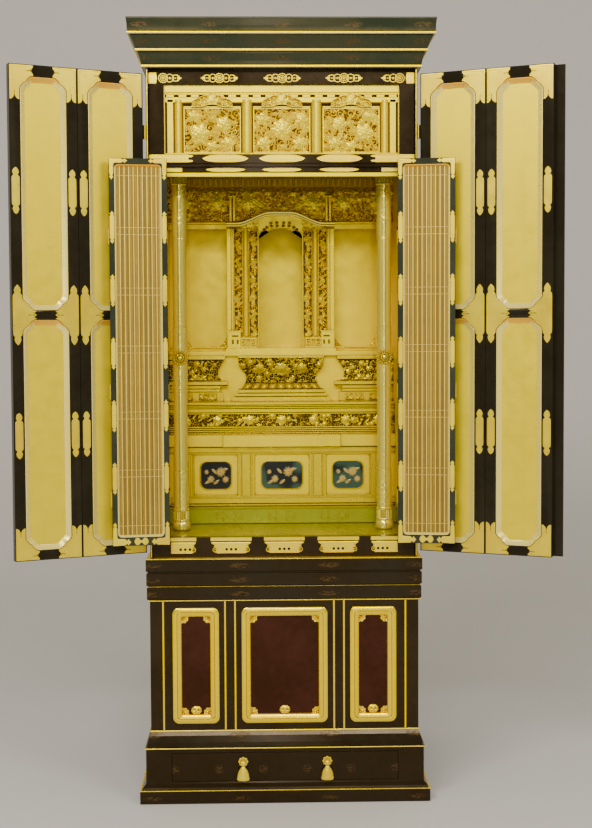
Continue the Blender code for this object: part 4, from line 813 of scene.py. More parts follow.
def gilt_material(
    name, top, deep, dark, rough, metal, square=0.0, grain=420.0, edges=0.0, shade_in_crevices=0.88, drift=0.0
):
    """Gold leaf or gilt metal: painted shade by depth and in crevices, tone by square of leaf and by soft
    mottling, with a fine grain.
    """
    top, deep, dark = tuple(top), tuple(deep), tuple(dark)
    tree, shader, point = start_material(name)
    hollow = add_node(tree, "Attribute", attribute_name="hollow").outputs["Fac"]
    # Painted shade: ambient occlusion raises the hollow value where surfaces meet closely, by the weight
    # given for crevices, and so darkens the leaf.
    close = use_group(tree, "Painted crevice shade", {"Reach": 0.009})["Mask"]
    hollow = calc(tree, "MAXIMUM", hollow, calc(tree, "MULTIPLY", close, shade_in_crevices))
    tone = use_group(tree, "Carving shade", {"Hollow": hollow, "Top": top, "Deep": deep, "Dark": dark})
    soft = mottled(tree, point, 34.0)
    dimmer = blend(tree, calc(tree, "MULTIPLY", soft, 0.14), tone["Color"], deep)
    if square:
        leafed = use_group(tree, "Leaf squares", {"Point": point, "Square": square})
        dimmer = blend(tree, calc(tree, "MULTIPLY", leafed["Tone"], 0.10), dimmer, deep)
        dimmer = blend(tree, calc(tree, "MULTIPLY", leafed["Seam"], 0.16), dimmer, deep)
    if drift:
        broad = mottled(tree, point, 5.0)
        dimmer = blend(tree, calc(tree, "MULTIPLY", broad, drift), dimmer, deep)
    feed(tree, shader["Base Color"], dimmer)
    matt = calc(tree, "MULTIPLY_ADD", soft, 0.12, rough)
    feed(tree, shader["Roughness"], calc(tree, "MULTIPLY_ADD", tone["Depth"], 0.30, matt, clamp=True))
    feed(
        tree, shader["Metallic"], calc(tree, "MULTIPLY_ADD", tone["Depth"], -0.55 * metal, metal, clamp=True)
    )
    shader["Specular Tint"].default_value = (1.0, 0.78, 0.20, 1.0)
    noise = fine_noise(tree, point, grain, 2.0)
    normal = use_group(tree, "Rounded edge", {"Radius": edges})["Normal"] if edges else None
    feed(tree, shader["Normal"], bumped(tree, noise, 0.00025, 0.35, normal))


CLOUD_INPUTS = ("Pitch", "Shift", "Half width", "Row", "Row pitch", "Row half")


def lacquer_material(name, colour, sheen, clouds=None, edges=0.0008, rough=0.13, powder=None):
    """Polished lacquer: a faint waviness from the brush, a second tone in patches, and painted clouds, whose
    values stand in the order of CLOUD_INPUTS."""
    tree, shader, point = start_material(name)
    soft = mottled(tree, point, 9.0)
    base = blend(tree, calc(tree, "MULTIPLY", soft, 0.6), tuple(colour), tuple(sheen))
    matt = calc(tree, "MULTIPLY_ADD", soft, 0.06, rough)
    if clouds:
        mask = use_group(tree, "Painted clouds", {"Point": point, **dict(zip(CLOUD_INPUTS, clouds))})["Mask"]
        base = blend(tree, calc(tree, "MULTIPLY", mask, 0.70), base, tuple(powder or colours().clouds))
        matt = calc(tree, "MULTIPLY_ADD", mask, 0.25, matt)
        feed(tree, shader["Metallic"], calc(tree, "MULTIPLY", mask, 0.5))
    feed(tree, shader["Base Color"], base)
    feed(tree, shader["Roughness"], matt)
    shader["Coat Weight"].default_value = 0.04
    shader["Specular Tint"].default_value = (1.0, 0.74, 0.42, 1.0)
    shader["Specular IOR Level"].default_value = 0.24
    shader["Coat Roughness"].default_value = 0.06
    wave = fine_noise(tree, point, 26.0, 1.0)
    normal = use_group(tree, "Rounded edge", {"Radius": edges})["Normal"] if edges else None
    feed(tree, shader["Normal"], bumped(tree, wave, 0.0006, 0.18, normal))


def painted_inset_material():
    """Lacquer whose flowers are drawn in gold: the hollow value says where the gold lies."""
    tree, shader, point = start_material("painted inset")
    gold = add_node(tree, "Attribute", attribute_name="hollow").outputs["Fac"]
    soft = mottled(tree, point, 60.0)
    powder = blend(tree, soft, (0.66, 0.50, 0.10), (0.80, 0.46, 0.09))
    patch = fine_noise(tree, point, 17.0, 1.0)
    ground = blend(tree, fade(tree, patch, 0.44, 0.58), (0.006, 0.009, 0.006), (0.040, 0.095, 0.060))
    feed(tree, shader["Base Color"], blend(tree, gold, ground, powder))
    feed(tree, shader["Roughness"], calc(tree, "MULTIPLY_ADD", gold, 0.30, 0.10))
    feed(tree, shader["Metallic"], calc(tree, "MULTIPLY", gold, 0.6))
    feed(tree, shader["Normal"], bumped(tree, gold, 0.0003, 0.6))


def gauze_material():
    """Copper gauze: crossed wires as two fine waves, over a warm ground."""
    tree, shader, point = start_material("lattice gauze")
    copper = colours().copper
    flat = add_node(tree, "SeparateXYZ", {0: point})
    wires = [
        calc(tree, "PINGPONG", calc(tree, "MULTIPLY", flat.outputs[axis], 420.0), 0.5) for axis in (0, 2)
    ]
    weave = fade(tree, calc(tree, "MINIMUM", *wires), 0.08, 0.26)
    soft = mottled(tree, point, 22.0)
    bright = blend(tree, soft, tuple(copper), tuple(min(1.0, 1.5 * value) for value in copper))
    bands = fade(tree, calc(tree, "PINGPONG", calc(tree, "MULTIPLY", flat.outputs[0], 82.0), 0.5), 0.10, 0.40)
    bright = blend(tree, calc(tree, "MULTIPLY", bands, 0.75), bright, (0.15, 0.12, 0.020))
    feed(tree, shader["Base Color"], blend(tree, weave, bright, tuple(0.55 * value for value in copper)))
    feed(tree, shader["Roughness"], calc(tree, "MULTIPLY_ADD", soft, 0.15, 0.42))
    shader["Metallic"].default_value = 0.55
    feed(tree, shader["Normal"], bumped(tree, weave, 0.0004, 0.4))


def make_finishes():
    """Every shader group and material of the altar."""
    for build in (
        mottling_group, leaf_squares_group, carving_shade_group, painted_crevice_shade_group, painted_clouds_group,
        rounded_edge_group
    ):
        build()
    tint = colours()
    deep, dark = tint.leaf_shade_and_tone, tint.ground_painted_shade
    gilt_material("gold leaf", tint.leaf, deep, dark, 0.28, 0.62, 0.055, edges=0.0010)
    gilt_material("carved leaf", tint.leaf, deep, dark, 0.26, 0.50, shade_in_crevices=0.66)
    # Altar leaf: a darker copy of the gold leaf for the cupboard, plinth, dais and side tables, which paints
    # shade on these low parts, with full crevice shade.
    gilt_material(
        "altar leaf with painted shade", (0.76, 0.60, 0.0), (0.42, 0.25, 0.004), (0.050, 0.030, 0.004), 0.26, 0.62, shade_in_crevices=1.0
    )
    gilt_material("inner wall leaf", (0.92, 0.72, 0.0), (0.76, 0.53, 0.0), dark, 0.40, 0.66, 0.060, shade_in_crevices=0.45)
    gilt_material("door board leaf", tint.board, (0.80, 0.58, 0.02), dark, 0.36, 0.62, 0.074, grain=260.0)
    gilt_material(
        "gilt brass", tint.brass, (0.80, 0.46, 0.012), (0.09, 0.05, 0.02), 0.27, 0.62, grain=700.0,
        drift=0.45
    )
    # Moulding leaf: pale cream leaf, lightened to stand for the bevels' highlights; its orange deep tone
    # paints shade on the top bevels, which face down.
    gilt_material("moulding leaf", (1.0, 0.88, 0.24), (0.90, 0.42, 0.0), dark, 0.24, 0.34, shade_in_crevices=0.4)
    gilt_material("gold line", (1.0, 0.74, 0.035), (0.60, 0.38, 0.02), dark, 0.24, 0.66)
    gilt_material("lattice bars", tint.bar, (0.52, 0.33, 0.06), dark, 0.30, 0.55)
    # Pillar leaf: a paler, brighter copy of the gold leaf, which paints part of the highlight on the columns
    # and the cusped beam.
    gilt_material("pillar leaf with painted highlight", (1.0, 0.88, 0.14), (0.88, 0.66, 0.01), dark, 0.13, 0.66)
    gilt_material(
        "step leaf", (0.33, 0.37, 0.020), (0.40, 0.30, 0.012), (0.15, 0.11, 0.01), 0.26, 0.50, 0.062
    )
    gilt_material("border leaf", (1.0, 0.76, 0.0), (0.90, 0.36, 0.0), dark, 0.18, 0.66)
    grey = (0.030, 0.020, 0.009)
    lacquer_material("black lacquer", tint.lacquer, grey)
    tiers = (BAY_PITCH, 0.0, 0.026, CROWN_Z + 0.0195, 0.0335, 0.0075)
    lacquer_material("crown lacquer", tint.green_lacquer, (0.046, 0.048, 0.022), tiers)
    half_pitch = CORNICE_PITCH / 2
    rows = (CORNICE_PITCH, half_pitch, 0.030, node_low("stand_cornice").z + 0.0165, 0.0316, 0.0080)
    lacquer_material("cornice lacquer", tint.lacquer, (0.020, 0.018, 0.012), rows)
    foot = (CORNICE_PITCH, half_pitch, 0.026, node_low("stand_base").z + 0.013, 0.1225, 0.0060)
    lacquer_material("plinth lacquer", tint.lacquer, (0.022, 0.015, 0.009), foot)
    drawer = (0.098, 0.049, 0.012, node_low("drawer_front").z + 0.026, 1.0, 0.012)
    lacquer_material("drawer lacquer", tint.lacquer, (0.022, 0.015, 0.009), drawer)
    lacquer_material("maroon lacquer", tint.maroon, (0.060, 0.013, 0.010), rough=0.20)
    lacquer_material("leaf lacquer", (0.013, 0.011, 0.006), (0.024, 0.022, 0.013))
    lacquer_material("lattice lacquer", (0.026, 0.034, 0.020), (0.045, 0.055, 0.034))
    painted_inset_material()
    gauze_material()


def dress(nodes, name):
    """Give kept CAD nodes a finish."""
    for node in nodes:
        slots = frame["nodes"][node].data.materials
        slots.clear()
        slots.append(bpy.data.materials[name])


# Crown, rails and cabinet boards

CROWN_LINE = 0.0065
CROWN_TIERS = ((0.0, 0.0077, 0.0160), (0.03275, 0.0195, 0.0320), (0.06625, 0.0355, 0.0393))
LACQUERED = [
    "cabinet_side_left", "cabinet_side_right", "cabinet_back", "front_post_left", "front_post_right",
    "main_lintel", "lower_front_rail", "upper_front_rail", "stand_carcass", "drawer_tray", "ceiling_board",
]


def make_boards():
    """The lacquered boards keep their CAD nodes. Thin gilt lines run down the cabinet's front edges."""
    dress(LACQUERED, "black lacquer")
    dress(["gilt_back_wall", "side_bay_left", "side_bay_right", "niche_shell"], "inner wall leaf")
    dress(["altar_shelf", "palace_platform", "cupboard_front"], "gold leaf")
    dress(["cabinet_floor"], "step leaf")
    edges = [sign * (BODY_HALF - 0.0024) for sign in (-1, 1)]
    lows = [(x - 0.0011, BODY_Z + 0.002, -0.0005) for x in edges]
    highs = [(x + 0.0011, CROWN_Z - 0.002, 0.00005) for x in edges]
    make_piece("side_edge_lines", bars(lows, highs, front_face(FRONT_Y)), "border leaf", "gold_leaf")
    edges = [sign * (OPENING_HALF + 0.0012) for sign in (-1, 1)]
    lows = [(x - 0.0011, SILL_Z + 0.001, -0.0005) for x in edges]
    highs = [(x + 0.0011, LINTEL_Z - 0.001, 0.0005) for x in edges]
    make_piece("post_edge_lines", bars(lows, highs, front_face(FRAME_FACE)), "gold line", "gold_leaf")
    near, far = FRAME_BACK + 0.001, node_low("gilt_back_wall").y - GAP
    walls = []
    for sign in (-1, 1):
        a, b = sign * (WIDE + 0.0005), sign * WIDE
        outline = [(a, near), (b, near), (b, far), (a, far)]
        walls.append(upright_prism(outline, SILL_Z + 0.0005, CEILING_Z - 0.0005))
    make_piece("inner_side_leaf", walls, "inner wall leaf", "gold_leaf")


def make_crown():
    """Three flared tiers of green-black lacquer, each over a gilt line."""
    levels = [(CROWN_Z, CROWN_TIERS[0][1])]
    lines = []
    for index, (foot, inner, outer) in enumerate(CROWN_TIERS):
        top = CROWN_TIERS[index + 1][0] if index < 2 else CROWN_TOP - CROWN_Z
        lines.append(edge_strip(CROWN_Z + foot + 0.0002, CROWN_Z + foot + CROWN_LINE - 0.0004, inner, 0.0014))
        levels += [(CROWN_Z + foot, inner - 0.0010), (CROWN_Z + foot + CROWN_LINE, inner - 0.0010)]
        start = foot + CROWN_LINE + 0.0005
        for share in (0.0, 0.25, 0.5, 0.75, 0.93, 1.0):
            sag = 0.0010 * math.sin(math.pi * share)
            lip = 0.0008 if share == 1.0 else 0.0
            over = inner + 0.0012 + (outer - inner - 0.0012) * share - sag - lip
            levels.append((CROWN_Z + start + (top - start) * share, over))
    make_piece("crown_tiers", moulding(levels), "crown lacquer", "black_lacquer", ["crown"])
    make_piece("crown_gilt_lines", lines, "gold line", "gold_leaf")


def rosette(cx, cz, radius, petals, rise, surface, around=48):
    """A flower boss: its rim is cut into petals by a cosine, and it steps up to a button. Its hollow values
    paint shade between the petals and round the button's foot.
    """
    turn = np.arange(around) / around * math.tau
    cut = 0.5 + 0.5 * np.cos(petals * turn)
    rings, hollow = [], []
    levels = (
        (1.0, 0.0, 0.4), (0.98, 0.55, 0.15), (0.80, 0.85, 0.0), (0.56, 0.62, 0.75), (0.50, 0.95, 0.1),
        (0.30, 0.85, 0.1), (0.26, 0.60, 0.8), (0.22, 1.0, 0.0), (0.06, 1.15, 0.0)
    )
    for share, h, depth in levels:
        reach = radius * share * (1 - 0.14 * (1 - cut) * (share > 0.5))
        lift = rise * h * (1 - 0.35 * (1 - cut) * (0.3 < share < 0.99))
        rings.append(surface(cx + reach * np.cos(turn), cz + reach * np.sin(turn), lift * np.ones(around)))
        hollow.append(np.clip(depth + 0.45 * (1 - cut) * (0.3 < share < 0.99), 0, 1))
    return loft(rings, False, np.array(hollow))


def linked_rings(cx, cz, surface, thick, side=0):
    """A row of linked rings with a flower in the middle ring and two horns at each open end."""
    radii = (0.0098, 0.0084, 0.0068)
    wire = 0.0011

    def ring(x, radius, thickness=wire, count=20):
        return tube(ring_path(x, cz, radius, 0.0, count), thickness, surface, 6, True, 0.8)

    forms = [ring(cx, radii[0], count=28), ring(cx, radii[0] * 0.62, wire * 0.8)]
    forms.append(rosette(cx, cz, radii[0] * 0.40, 6, thick * 1.2, surface, 24))
    for sign in (-1, 1):
        if side and sign != side:
            continue
        place = 0.0
        for one, two in zip(radii, radii[1:]):
            place += (one + two) * 0.80
            forms.append(ring(cx + sign * place, two))
            forms.append(rosette(cx + sign * place, cz, two * 0.36, 5, thick, surface, 20))
        tip = place + radii[-1]
        for up in (-1, 1):
            horn = np.linspace(0, 1, 9)
            x = cx + sign * (tip - 0.0035 + 0.0105 * horn)
            path = np.stack([x, cz + up * (0.0062 * np.cos(horn * 1.9)), np.zeros(9)], -1)
            forms.append(tube(path, wire * 1.25 * (1 - 0.7 * horn), surface, 6, False, 0.8))
        forms.append(
            fitting((cx + sign * (tip + 0.0015), cz), 0.010, 0.0045, LENS, surface, thick, stations=17)
        )
    return forms


def make_rail_fittings():
    """Gilt brass on the upper rail: three rows of linked rings, and a plate with rings at each end."""
    surface = front_face(FRAME_FACE)
    thick = sizes().fitting
    z = node_low("upper_front_rail").z + 0.0128
    forms = []
    for cx in (-0.1360, 0.0013, 0.1368):
        forms += linked_rings(cx, z, surface, thick)
    plain = ((-1.0, 1.0), (0.80, 1.0), (0.86, 0.8), (1.0, 0.0))
    for sign in (-1, 1):
        forms += linked_rings(sign * 0.2590, z, surface, thick, -sign)
        outline = plain if sign < 0 else tuple((-share, half) for share, half in reversed(plain))
        forms.append(fitting((sign * 0.2815, z), 0.0185, 0.0245, outline, surface, thick, stations=21))
    make_piece("upper_rail_fittings", forms, "gilt brass", "gilt_brass")


LINTEL_GILT = 0.0100
LINTEL_STRIP = 0.0210
LINTEL_GROOVE = 0.0283
STRIP_SETBACK = 0.015


def make_lintel_fittings():
    """Pointed brass lenses on the lintel's two strips, forked plates at its ends, and the gilt strip."""
    thick = sizes().fitting
    upper = front_face(FRAME_FACE)
    lower = front_face(FRAME_FACE + STRIP_SETBACK)
    z = (LINTEL_Z + LINTEL_GROOVE + LINTEL_TOP) / 2
    low_z = LINTEL_Z + (LINTEL_GILT + LINTEL_STRIP) / 2
    forms = []
    for cx in (-0.1243, 0.0, 0.1263):
        forms.append(fitting((cx, z), 0.101, 0.0168, LENS, upper, thick))
        forms.append(fitting((cx, low_z), 0.088, 0.0092, LENS, lower, thick))
    square = ((-1.0, 1.0), (1.0, 1.0))
    for sign in (-1, 1):
        forms.append(fitting((sign * 0.2480, z), 0.0855, 0.0172, square, upper, thick))
        forms.append(fitting((sign * 0.2400, low_z), 0.0400, 0.0092, square, lower, thick))
        for up in (-1, 1):
            forms.append(
                fitting((sign * 0.2040, z + up * 0.0052), 0.018, 0.0052, LENS, upper, thick, stations=21)
            )
    make_piece("lintel_fittings", forms, "gilt brass", "gilt_brass")
    low = (-OPENING_HALF, LINTEL_Z + 0.0004, -0.0004)
    high = (OPENING_HALF, LINTEL_Z + LINTEL_GILT - 0.0003, 0.0012)
    strip = bars([low], [high], front_face(FRAME_FACE + STRIP_SETBACK + 0.004), 0.0006)
    make_piece("lintel_gilt_strip", strip, "gold leaf", "gold_leaf")


def cloud_plate(cx, half, low_z, high_z, surface, thick, cut=0):
    """A plate that narrows downwards in scallops, with a scroll at each lower end. A cut end is straight."""
    share = np.linspace(0, 1, 25)
    edge = np.interp(
        share, (0, 0.10, 0.30, 0.42, 0.60, 0.72, 0.90, 1.0), (0.70, 0.84, 0.84, 0.74, 0.88, 0.82, 0.98, 1.0)
    )
    u = np.concatenate([[-1, -0.985, -0.955], np.linspace(-0.9, 0.9, 13), [0.955, 0.985, 1]])
    spread = np.where(u[None, :] * cut > 0, 1.0, edge[:, None])
    x = cx + u[None, :] * half * spread
    z = low_z + (high_z - low_z) * share[:, None] * np.ones(len(u))
    near = np.minimum((1 - np.abs(u)) * 0.5, np.minimum(share, 1 - share)[:, None])
    h = thick * np.where(near < 0.004, 0.6, 1.0)
    line = np.where((near > 0.015) & (near < 0.05), 0.5, 0.0)
    forms = [plate(x, z, h, surface, line)]
    for sign in (-1, 1):
        if sign * cut > 0:
            continue
        path = curl_path(cx + sign * half * 0.80, low_z + 0.0070, 0.0058, 1.3, math.pi / 2, -sign, thick)
        forms.append(tube(path, 0.0009, surface, 6, False, 0.8))
    return forms


def make_sill_fittings():
    """Five brass plates on the lower rail: a bar along the top edge, a scalloped plate, and punched dots."""
    surface = front_face(FRAME_FACE)
    thick = sizes().fitting
    lifted = front_face(FRAME_FACE - thick)
    forms, dots = [], []
    places = (
        (-0.2235, 0.0275, -1), (-0.1175, 0.0445, 0), (0.0006, 0.0442, 0), (0.1209, 0.0452, 0),
        (0.2240, 0.0293, 1)
    )
    low_z, high_z = SILL_Z - 0.0362, SILL_Z - 0.0118
    for cx, half, cut in places:
        forms += cloud_plate(cx, half, low_z, high_z, surface, thick, cut)
        bar_low = (cx - half - 0.001, SILL_Z - 0.0092, 0.0)
        bar_high = (cx + half + 0.001, SILL_Z - 0.0006, 0.0015)
        forms += bars([bar_low], [bar_high], surface, 0.0008)
        for step in (-1, 0, 1):
            at = cx - cut * 0.0040 + step * 0.0102
            dots.append(rosette(at, low_z + 0.0088, 0.0031, 0, 0.0002, lifted, 16))
            if step and step * cut <= 0:
                at = cx + step * half * 0.80
                dots.append(rosette(at, low_z + 0.0072, 0.0022, 0, 0.0002, lifted, 16))
    make_piece("lower_rail_fittings", forms, "gilt brass", "gilt_brass")
    make_piece("lower_rail_punched_dots", dots, "black lacquer", "black_lacquer")


# Folding doors. Leaves are drawn shut, then turned about their pins to where they stand at rest. STARTS
# holds how far each leaf begins from the middle line

DOOR_FACE = FRONT_Y - 0.0005
DOOR_THICK = 0.018
DOOR_PIN = (BODY_HALF + 0.0025, FRONT_Y + 0.006)
DOOR_TURN = math.radians(156.0)
DOOR_LOW, DOOR_HIGH = BODY_Z + 0.0122, CROWN_Z - 0.0102
DOOR_STILE, DOOR_TOP_RAIL, DOOR_MID_RAIL, DOOR_BOTTOM_RAIL = 0.024, 0.0253, 0.0211, 0.0220
DOOR_SINK = 0.0073
DOOR_WIDTH = 0.147
DOOR_STARTS = {"outer": 0.0005, "inner": 0.1485}
DOOR_MIDDLE = (DOOR_LOW + DOOR_BOTTOM_RAIL + DOOR_HIGH - DOOR_TOP_RAIL) / 2 + 0.0012

LATTICE_FACE = FRONT_Y + 0.0035
LATTICE_THICK = 0.008
LATTICE_PIN = (BODY_HALF - 0.0435, LATTICE_FACE - 0.0065)
LATTICE_FOLD = (0.1260, LATTICE_FACE + LATTICE_THICK + 0.0005)
LATTICE_TURN = math.radians(172.0)
LATTICE_LOW, LATTICE_HIGH = SILL_Z - 0.0107, LINTEL_TOP - 0.0150
LATTICE_STILE, LATTICE_RAIL, LATTICE_FOOT_RAIL, LATTICE_BEVEL = 0.012, 0.020, 0.0255, 0.0065
LATTICE_WIDTH = 0.125
LATTICE_STARTS = {"outer": 0.0005, "inner": 0.1265}


def spun(points, pin, angle):
    """Points turned about an upright pin."""
    c, s = math.cos(angle), math.sin(angle)
    x, y = points[..., 0] - pin[0], points[..., 1] - pin[1]
    return np.stack([pin[0] + c * x - s * y, pin[1] + s * x + c * y, points[..., 2]], -1)


def door_spin(sign):
    return lambda points: spun(points, (sign * DOOR_PIN[0], DOOR_PIN[1]), sign * DOOR_TURN)


def lattice_spin(sign, outer):
    def spin(points):
        if outer:
            points = spun(points, (sign * LATTICE_FOLD[0], LATTICE_FOLD[1]), -sign * math.pi)
        return spun(points, (sign * LATTICE_PIN[0], LATTICE_PIN[1]), sign * LATTICE_TURN)

    return spin


def leaf_face(spin, y, facing):
    """Surface function of a leaf's face: h stands off y, towards +Y where facing is 1."""

    def put(x, z, h):
        return spin(np.stack(np.broadcast_arrays(x, y + facing * h, z), -1))

    return put


def barrel(place, low, high, radius, spin, sides=16):
    """A hinge barrel: a rod with a small ball at each end and two joints across it."""
    third = (high - low) / 3
    profile = [
        (radius * 0.5, low - 0.0012), (radius, low), (radius, low + third - 0.0002),
        (radius * 0.86, low + third), (radius, low + third + 0.0002), (radius, high - third - 0.0002),
        (radius * 0.86, high - third), (radius, high - third + 0.0002), (radius, high),
        (radius * 0.5, high + 0.0012),
    ]
    form = turned(profile, place, sides)
    form.points = spin(form.points)
    return form


# How far an arm's end is cut back, by distance across from its middle line as a share of its width
NOTCH = (
    (0.0, 0.0125), (0.035, 0.0105), (0.05, 0.0070), (0.12, 0.0060), (0.14, 0.0034), (0.24, 0.0028),
    (0.28, 0.0008), (0.5, 0.0)
)
# Widths of an arm by distance back from its tip, as shares of the whole
OVAL_TIP = (
    (0.0, 0.03), (0.0020, 0.22), (0.0060, 0.52), (0.0100, 0.68), (0.0140, 0.70), (0.0175, 0.58),
    (0.0185, 0.62), (0.0200, 0.84), (0.0235, 0.97), (0.0300, 1.0)
)
SPIKE = (
    (0.0, 0.5), (0.25, 0.36), (0.36, 0.5), (0.44, 1.0), (0.56, 1.0), (0.64, 0.5), (0.75, 0.36), (1.0, 0.5)
)
SPIKE_TOP = 0.00044
ARROW_TIP = (
    (0.0, 0.03), (0.0035, 0.55), (0.0052, 0.86), (0.0066, 0.86), (0.0080, 0.45), (0.0092, 0.40),
    (0.0104, 0.62), (0.0125, 0.88), (0.0150, 0.92)
)
ACROSS = (0.0, 0.03, 0.08, 0.12, 0.17, 0.22, 0.26, 0.36, 0.38, 0.45, 0.465)


def corner_plate(centre, reach, inner, corner, ends, direction, surface, thick, tips=(None, None)):
    """A plate round a cut corner. Its inner edge runs straight, round the cut and straight again, and its
    outer edge follows the leaf's own corner. Each arm ends in a notch, or in a tip whose width is tabled."""
    angle = np.linspace(0, math.pi / 2, 17)
    edge = cusp_reach(corner, angle) * inner / corner if corner > 0.01 else np.full(len(angle), inner)
    tan = np.tan(np.clip(angle, 1e-6, math.pi / 2 - 1e-6))
    v = np.array([*ACROSS, 0.5, *(1 - np.array(ACROSS[::-1]))])[:, None]
    notch = np.interp(np.abs(v - 0.5), *np.array(NOTCH).T)
    arms = []
    for length, tip in zip(ends, tips):
        back = np.concatenate([np.linspace(0, 1, 30) ** 1.4, [1.0]])[:-1] if tip else np.linspace(0, 1, 8)
        run = (length if tip else length - notch) * (1 - back)
        width = np.interp(length - run, *np.array(tip).T) if tip else np.ones_like(run)
        arms.append([np.broadcast_to(grid, (len(v), len(back))) for grid in (run, width)])
    (run_a, wide_a), (run_b, wide_b) = arms
    run_b, wide_b = run_b[:, ::-1], wide_b[:, ::-1]
    across_a = 0.5 + (v - 0.5) * wide_a[:, :-1]
    across_b = 0.5 + (v - 0.5) * wide_b[:, 1:]
    inner_a, inner_b = edge * np.sin(angle), edge * np.cos(angle)
    outer_a, outer_b = reach[0] * np.minimum(1, tan), reach[1] * np.minimum(1, 1 / tan)
    a = np.concatenate(
        [-run_a[:, :-1], inner_a + (outer_a - inner_a) * v, inner + (reach[0] - inner) * across_b], 1
    )
    b = np.concatenate(
        [inner + (reach[1] - inner) * across_a, inner_b + (outer_b - inner_b) * v, -run_b[:, 1:]], 1
    )
    rim = v if tips[0] is None and tips[1] is not None else np.minimum(v, 1 - v)
    groove = np.abs(rim - 0.12) < 0.01
    h = thick * np.where(rim < 0.01, 0.6, np.where(groove, 0.7, 1.0)) * np.ones_like(a)
    line = np.where(rim < 0.01, 0.2, np.where(groove, 0.6, 0.0)) * np.ones_like(a)
    return plate(centre[0] + direction[0] * a, centre[1] + direction[1] * b, h, surface, line)


def leaf_maker(side, kind, which):
    """Makes a leaf's pieces: it puts the leaf into each name, and the piece rides on the leaf's body."""
    leaf_name = f"{side}_{kind}_{which}"

    def make(part, forms, look, slot, nodes=(), sharp=38.0):
        make_piece(f"{leaf_name}_{part}", forms, look, slot, nodes, leaf_name + "_leaf", sharp)

    return make


def upright_prism(outline, z0, z1, spin=np.asarray):
    """A solid with one (x, y) outline from z0 to z1. On a leaf, it is turned with it."""
    ring = np.array([(x, y, 0.0) for x, y in outline])
    return loft(spin(np.stack([ring + [0, 0, z] for z in (z0, z1)])))


def leaf_cells(x0, x1):
    """The two openings of an outer leaf, as (low, high) corners."""
    left, right = x0 + DOOR_STILE, x1 - DOOR_STILE
    return (
        ((left, DOOR_LOW + DOOR_BOTTOM_RAIL), (right, DOOR_MIDDLE - DOOR_MID_RAIL / 2)),
        ((left, DOOR_MIDDLE + DOOR_MID_RAIL / 2), (right, DOOR_HIGH - DOOR_TOP_RAIL)),
    )


DOOR_CUT = 0.025  # legs of the cut corners
DOOR_LINE = 0.0017  # black line between a fitting and the gilt moulding
DOOR_MOULDING = 0.0108
# The gilt moulding's section: how far out from the opening, height and hollow value. The hollow values paint
# shade where the section runs down to the board and to the frame
DOOR_PROFILE = (
    (0.0010, -0.0066, 0.8), (0.0001, -0.0060, 0.8), (0.0, -0.0001, 0.5), (-0.0004, 0.00028, 0.0),
    (-0.0014, 0.0003, 0.0), (-0.0024, -0.0008, 0.0), (-0.0100, -0.0062, 0.0),
    (-DOOR_MOULDING, -0.0066, 0.3), (-DOOR_MOULDING, -0.0073, 0.7),
)
EDGE_MARGIN = 0.0018  # from a leaf's edge to its corner plates
DOOR_HINGES = [DOOR_LOW + (DOOR_HIGH - DOOR_LOW) * share for share in (0.10, 0.36, 0.88)]
HALF_BARREL = 0.0150


def leaf_fittings(x0, x1, surface):
    """Corner plates, plates at the middle rail and gourd-shaped plates on the stiles, all thin gilt brass."""
    thick = sizes().leaf_fitting
    forms = []
    inner = DOOR_CUT + DOOR_LINE
    lower, upper = leaf_cells(x0, x1)
    side = DOOR_STILE + DOOR_CUT - EDGE_MARGIN
    half_mid = DOOR_MID_RAIL / 2 + DOOR_CUT
    for direction in (-1, 1):
        corner_x = (upper[1][0] - DOOR_CUT) if direction > 0 else (upper[0][0] + DOOR_CUT)
        plates = (
            (upper[1][1] - DOOR_CUT, 1, DOOR_TOP_RAIL + DOOR_CUT - EDGE_MARGIN, 0.0235, None),
            (lower[0][1] + DOOR_CUT, -1, DOOR_BOTTOM_RAIL + DOOR_CUT - EDGE_MARGIN, 0.0235, None),
            (upper[0][1] + DOOR_CUT, -1, half_mid, 0.0285, OVAL_TIP),
            (lower[1][1] - DOOR_CUT, 1, half_mid, 0.0285, OVAL_TIP),
        )
        for z, up, reach, end, tip in plates:
            shape = ((side, reach), inner, DOOR_CUT, (0.0035, end), (direction, up))
            forms.append(corner_plate((corner_x, z), *shape, surface, thick, (None, tip)))
        stile_x = corner_x + direction * (inner + side) / 2
        for z in (1.3434, 0.8250):
            forms.append(fitting((stile_x, z), 0.0985, 0.0170, GOURD, surface, thick, True))
    return forms


